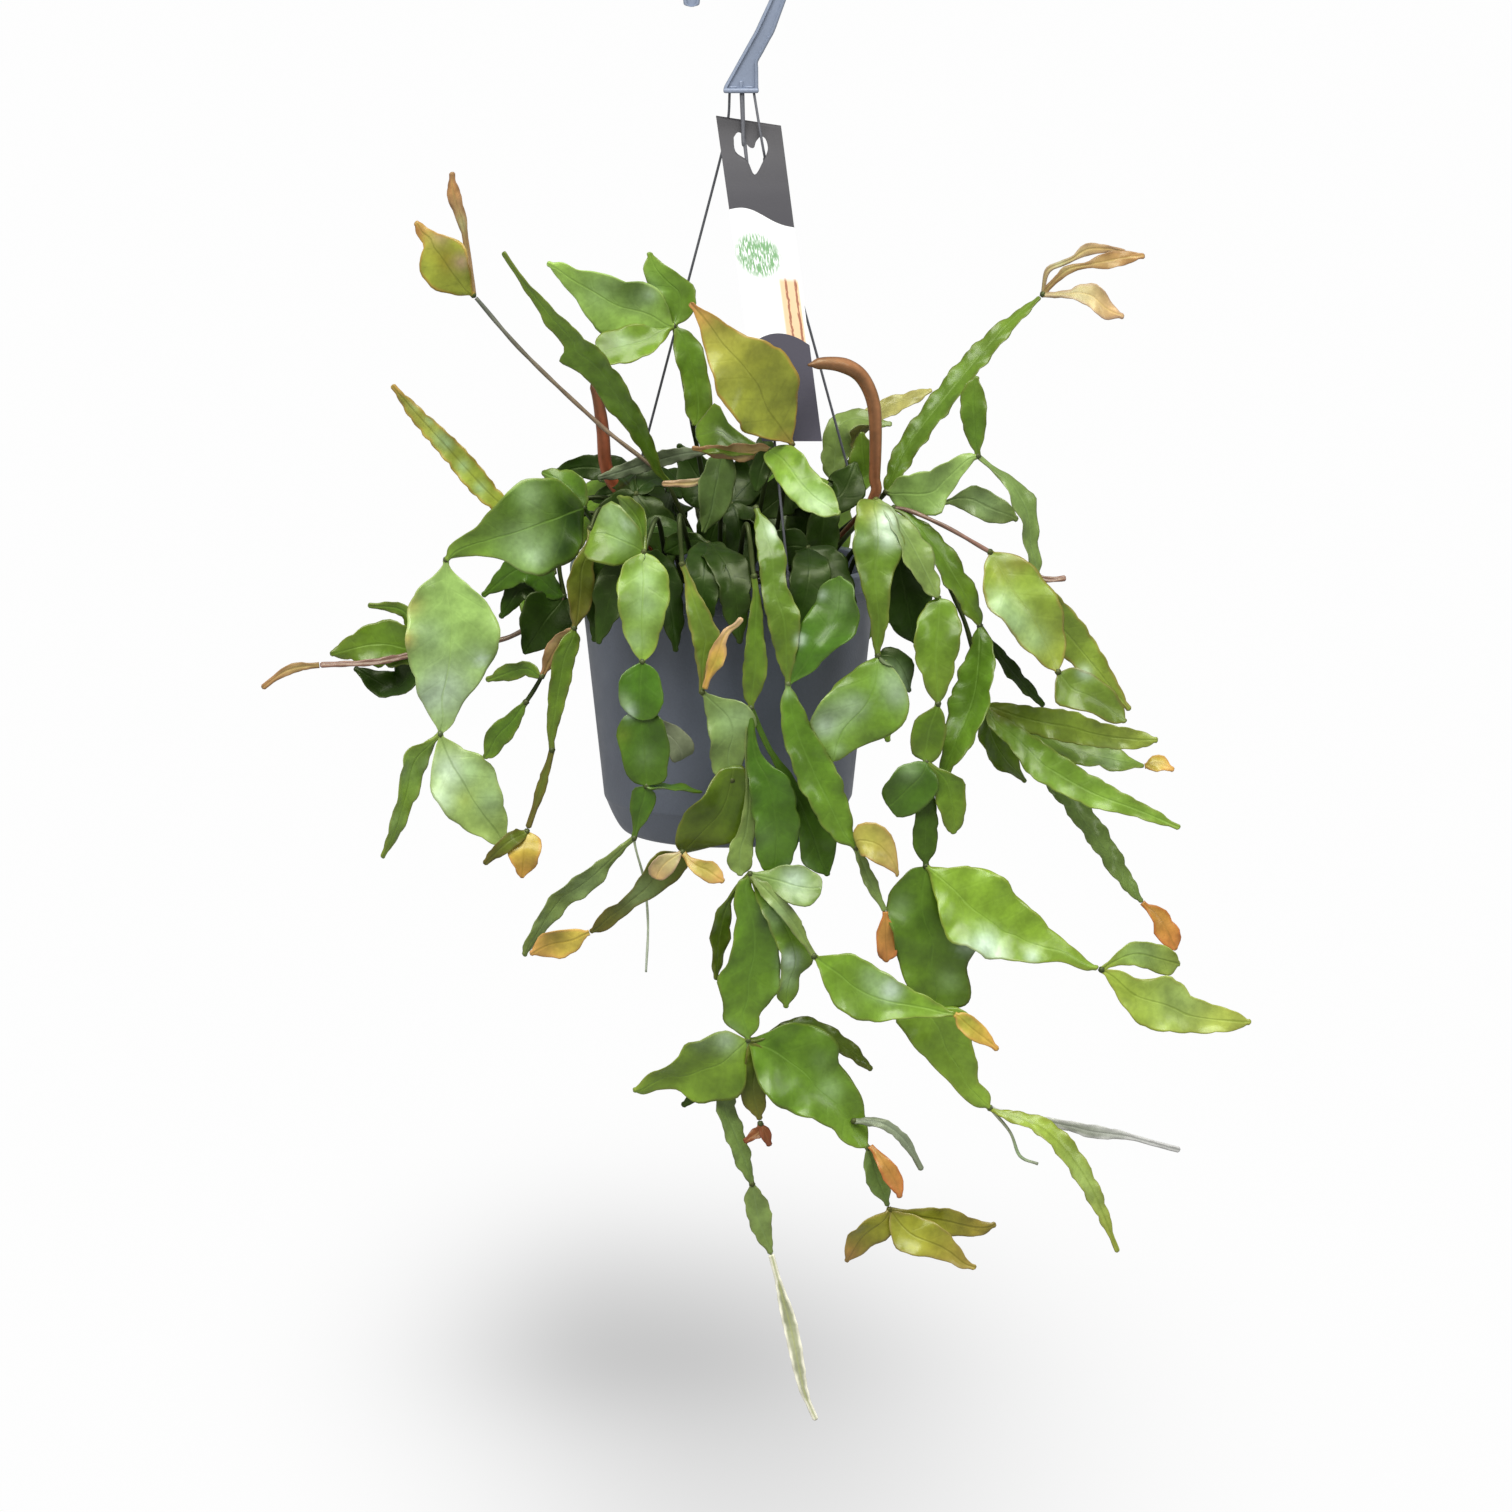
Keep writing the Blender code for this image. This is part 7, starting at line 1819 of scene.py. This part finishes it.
def build_strands(material):
    """The three strands from the hook's foot to their clips on the pot's lip."""
    for name, angle in STRAND_ANGLES.items():
        angle = math.radians(angle)
        seat = rim_point(angle)
        clip_top = seat[2] + GAP + CLIP_SIZE[2] - CLIP_LEG
        start = [sheet_point(*place) for place in places_in(STRAND_STARTS[name])]
        start[0][2] -= 2 * GAP
        end = np.array([seat[0], seat[1], clip_top - STRAND_RADIUS])
        line = start + [0.5 * (start[-1] + end), end]
        thin = STRAND_THIN * STRAND_RADIUS
        first = STRAND_THICK_START * STRAND_RADIUS if name == "strand_front" else thin
        radii = [first] + [thin] * 4
        collar = wire([end + (0, 0, COLLAR_HEIGHT), end], [thin, COLLAR_RADIUS])
        shells = [wire(line, radii), collar, flat_solid(clip_rings(angle))]
        make_piece(name + "_wire", shells, material, "strand", name, crease=40)


def inside(outline, places):
    """Whether each place lies inside a closed outline, by counting the edges it is left of."""
    x, y = places[:, 0][:, None], places[:, 1][:, None]
    a, b = outline, np.roll(outline, -1, axis=0)
    spans = (a[None, :, 1] > y) != (b[None, :, 1] > y)
    rise = np.where(b[:, 1] == a[:, 1], 1e-12, b[:, 1] - a[:, 1])
    crossing = a[None, :, 0] + (y - a[None, :, 1]) / rise[None] * (b - a)[None, :, 0]
    return (spans & (x < crossing)).sum(1) % 2 == 1


def dense(outline, step):
    """A closed outline with a point at least every step."""
    line = []
    for a, b in zip(outline, np.roll(outline, -1, axis=0)):
        count = max(1, int(np.ceil(np.linalg.norm(b - a) / step)))
        line += [a + (b - a) * k / count for k in range(count)]
    return np.array(line)


def card_share(down):
    """How far down the card a place is, from 0 at its head to 1 at its foot."""
    return (down - LABEL_HEAD) / (LABEL_FOOT - LABEL_HEAD)


def card_left(down):
    """The card's left edge at a height on the sheet."""
    return LABEL_TOP[0] + card_share(down) * (LABEL_BOTTOM[0] - LABEL_TOP[0])


def on_card(card):
    """Sheet across and down for places on the card: 0 to 1 across, and down. Its head slopes."""
    share = card_share(card[:, 1])
    left = card_left(card[:, 1])
    right = LABEL_TOP[1] + share * (LABEL_BOTTOM[1] - LABEL_TOP[1])
    slope = LABEL_TOP_SLOPE * (1 - share) * card[:, 0]
    return left + card[:, 0] * (right - left), card[:, 1] + slope


def label_face():
    """The card's flat face as places on the card and triangles: a grid between its edge and its hole."""
    flat = (LABEL_WIDE, 1)
    corners = [(0, LABEL_HEAD), (1, LABEL_HEAD), (1, LABEL_FOOT), (0, LABEL_FOOT)]
    outline = dense(np.array(corners) * flat, 2.0) / flat
    fine, _ = smooth_line([(x, y, 0) for x, y in LABEL_HOLE + LABEL_HOLE[:1]], samples=4)
    across, down = fine[:-1, 0], fine[:-1, 1]
    over = (across - card_left(down)) / LABEL_WIDE
    hole = np.stack([over, down - LABEL_TOP_SLOPE * (1 - card_share(down)) * over], axis=1)
    grid = np.meshgrid(np.linspace(0.06, 0.94, 14), np.arange(LABEL_HEAD + 1.5, LABEL_FOOT - 1, 2.2))
    grid = np.stack(grid, axis=-1).reshape(-1, 2)
    grid = grid[~inside(hole, grid)]
    near = np.min(np.linalg.norm((grid[:, None] - hole[None]) * flat, axis=2), axis=1)
    points = np.vstack([outline, hole, grid[near > 0.8]])
    count, cut = len(outline), len(hole)
    edges = [(k, (k + 1) % count) for k in range(count)]
    edges += [(count + k, count + (k + 1) % cut) for k in range(cut)]
    result = delaunay_2d_cdt([Vector((x * LABEL_WIDE, y)) for x, y in points], edges, [], 0, 1e-6)
    places = np.array([tuple(place) for place in result[0]]) / flat
    faces = np.array([face for face in result[2] if len(face) == 3])
    middles = places[faces].mean(1)
    return places, faces[inside(outline, middles) & ~inside(hole, middles)]


def build_label(material):
    """The long card, bowed forward by the strands, with a clover-shaped hole in its head."""
    places, faces = label_face()
    across, down = on_card(places)
    curve, _ = smooth_line([(x, y, 0) for x, y in LABEL_LINE])
    middle = sheet_point(across, down, np.interp(down, curve[:, 0], curve[:, 1]))
    lean = np.interp(down, curve[:, 0], np.gradient(curve[:, 1], curve[:, 0]))
    normal = unit(np.stack([0 * lean, -np.ones(len(lean)), -lean], axis=1))
    both = np.vstack([middle + normal * LABEL_THICKNESS / 2, middle - normal * LABEL_THICKNESS / 2])
    total = len(places)
    sides = np.concatenate([faces[:, [0, 1]], faces[:, [1, 2]], faces[:, [2, 0]]])
    _, first, count = np.unique(np.sort(sides, axis=1), axis=0, return_index=True, return_counts=True)
    here, there = sides[first[count == 1]].T
    triangles = np.vstack([faces, faces[:, ::-1] + total, np.stack([there, here, here + total], axis=1),
                           np.stack([there, here + total, there + total], axis=1)])
    if faces_in(both, triangles):
        triangles = triangles[:, ::-1]
    uv = np.stack([places[:, 0], 1 - card_share(places[:, 1])], axis=1)
    shell = plain_shell(both, triangles, uv=np.vstack([uv, uv]))
    make_piece("label_card", [shell], material, "label", "hanging_label", crease=40)


def label_material():
    """Coated card: dark head and foot, a white middle with a soft green tint and ochre strokes."""
    material, w, shader = new_material("label_print", roughness=0.45, specular_ior_level=0.3)
    uv = w.node("ShaderNodeUVMap", uv_map="uv").outputs["UV"]
    across, up, _ = w.node("ShaderNodeSeparateXYZ", [(0, uv)]).outputs
    wave = w.times(w.math("SINE", w.times(across, 6.0)), 0.012)
    head_edge = w.plus(w.times(across, -0.005), w.plus(wave, 0.713))
    fall = w.times(w.math("POWER", across, 3.0), 0.026)
    head_edge = w.minus(head_edge, fall)
    arch = w.times(w.math("POWER", w.minus(across, 0.55), 2.0), -0.16)
    foot_edge = w.plus(arch, 0.338)
    head = w.math("GREATER_THAN", up, head_edge)
    foot = w.math("LESS_THAN", up, foot_edge)
    speckle = w.node("ShaderNodeTexNoise", [("Vector", uv), ("Scale", 42.0), ("Detail", 3.0)]).outputs["Fac"]
    body = w.vectors("SUBTRACT", uv, (0.36, 0.579, 0.0))[0]
    body = w.vectors("MULTIPLY", body, (2.0, 10.6, 0.0))[0]
    away = w.vectors("LENGTH", body)["Value"]
    blot = w.times(w.ramp(away, 0.55, 0.85, 1.0, 0.0), w.ramp(speckle, 0.38, 0.55))
    stroke = w.times(w.ramp(across, 0.62, 0.67), w.ramp(across, 0.93, 0.97, 1.0, 0.0))
    stroke = w.times(stroke, w.ramp(up, 0.52, 0.50))
    lines = w.plus(w.times(across, 42.0), w.times(speckle, 3.0))
    ripple = w.times(stroke, w.ramp(w.math("SINE", lines), 0.55, 0.9))
    colour = w.mix(blot, (0.83, 0.84, 0.83, 1.0), (0.18, 0.36, 0.16, 1.0))
    colour = w.mix(stroke, colour, (0.80, 0.54, 0.32, 1.0))
    colour = w.mix(ripple, colour, (0.34, 0.14, 0.08, 1.0))
    colour = w.mix(foot, colour, (0.062, 0.058, 0.076, 1.0))
    dark = w.mix(w.ramp(up, 0.72, 1.0), (0.060, 0.058, 0.064, 1.0), (0.026, 0.024, 0.026, 1.0))
    colour = w.mix(head, colour, dark)
    w.link(colour, shader.inputs["Base Color"])
    w.link(w.bump(w.noise(900, 2), 0.0001, 0.3), shader.inputs["Normal"])
    return material


def build_floor():
    """The pale ground far below the hanging plant, wide enough to fill every view."""
    mesh = bpy.data.meshes.new("ground")
    corners = [(x * GROUND_SPAN, y * GROUND_SPAN, FLOOR_Z) for x, y in ((-1, -1), (1, -1), (1, 1), (-1, 1))]
    mesh.from_pydata(corners, [], [(0, 1, 2, 3)])
    material, w, shader = new_material("ground", roughness=0.9, specular_ior_level=0.0,
                                       emission_strength=1.0)
    seen = w.node("ShaderNodeLightPath").outputs["Is Camera Ray"]
    place = w.node("ShaderNodeTexCoord").outputs["Object"]
    across, along_y, _ = w.node("ShaderNodeSeparateXYZ", [(0, place)]).outputs
    # Camera rays see the ground glow pale, less a painted shadow of soft lobes; other rays see plain grey
    pale = GROUND_PALE
    for (centre_x, centre_y), (left, right, near, far), dark in GROUND_SHADOWS:
        sides = w.minus(across, centre_x)
        depth = w.minus(along_y, centre_y)
        sides = w.math("MAXIMUM", w.math("DIVIDE", sides, right), w.math("DIVIDE", sides, -left))
        depth = w.math("MAXIMUM", w.math("DIVIDE", depth, far), w.math("DIVIDE", depth, -near))
        reach = w.plus(w.times(sides, sides), w.times(depth, depth))
        painted_shadow = w.times(w.math("EXPONENT", w.times(reach, -1.0)), dark)
        pale = w.minus(pale, painted_shadow)
    pale = w.node("ShaderNodeCombineColor", [("Red", pale), ("Green", pale), ("Blue", pale)]).outputs[0]
    black = (0.0, 0.0, 0.0, 1.0)
    w.link(w.mix(seen, (0.34, 0.34, 0.34, 1.0), black), shader.inputs["Base Color"])
    w.link(w.mix(seen, black, pale), shader.inputs["Emission Color"])
    mesh.materials.append(material)
    floor = add_object("ground", mesh)


def build_plant():
    """Every stem and young shoot, and the two rolled shoots."""
    tissue = tissue_group()
    materials = {slot: tissue_material(slot + "_tissue", tissue, WAXY_COATS.get(slot, FULL_COAT))
                 for slot, _ in SLOTS.values()}
    layout = stem_layout()
    directions = growth_directions(layout)
    for number, stem in enumerate(layout):
        build_stem(number, stem, directions, materials)
    build_copper_shoots(tissue_material("copper_tissue", tissue, COPPER_COAT))


def build_pot_and_hanger():
    """The pot with its soil, the hook, the strands and the label."""
    moulded = moulded_group()
    build_pot(plastic_material("pot_plastic", moulded, POT_COLOUR))
    build_hook(plastic_material("hook_plastic", moulded, HOOK_COLOUR))
    build_strands(plastic_material("strand_plastic", moulded, STRAND_COLOUR))
    build_label(label_material())
    build_soil(plastic_material("potting_mix", moulded, SOIL_COLOUR, 4.0),
               plastic_material("perlite", moulded, PERLITE_COLOUR, 3.0))


build_camera()
build_lights()
build_floor()
build_pot_and_hanger()
build_plant()
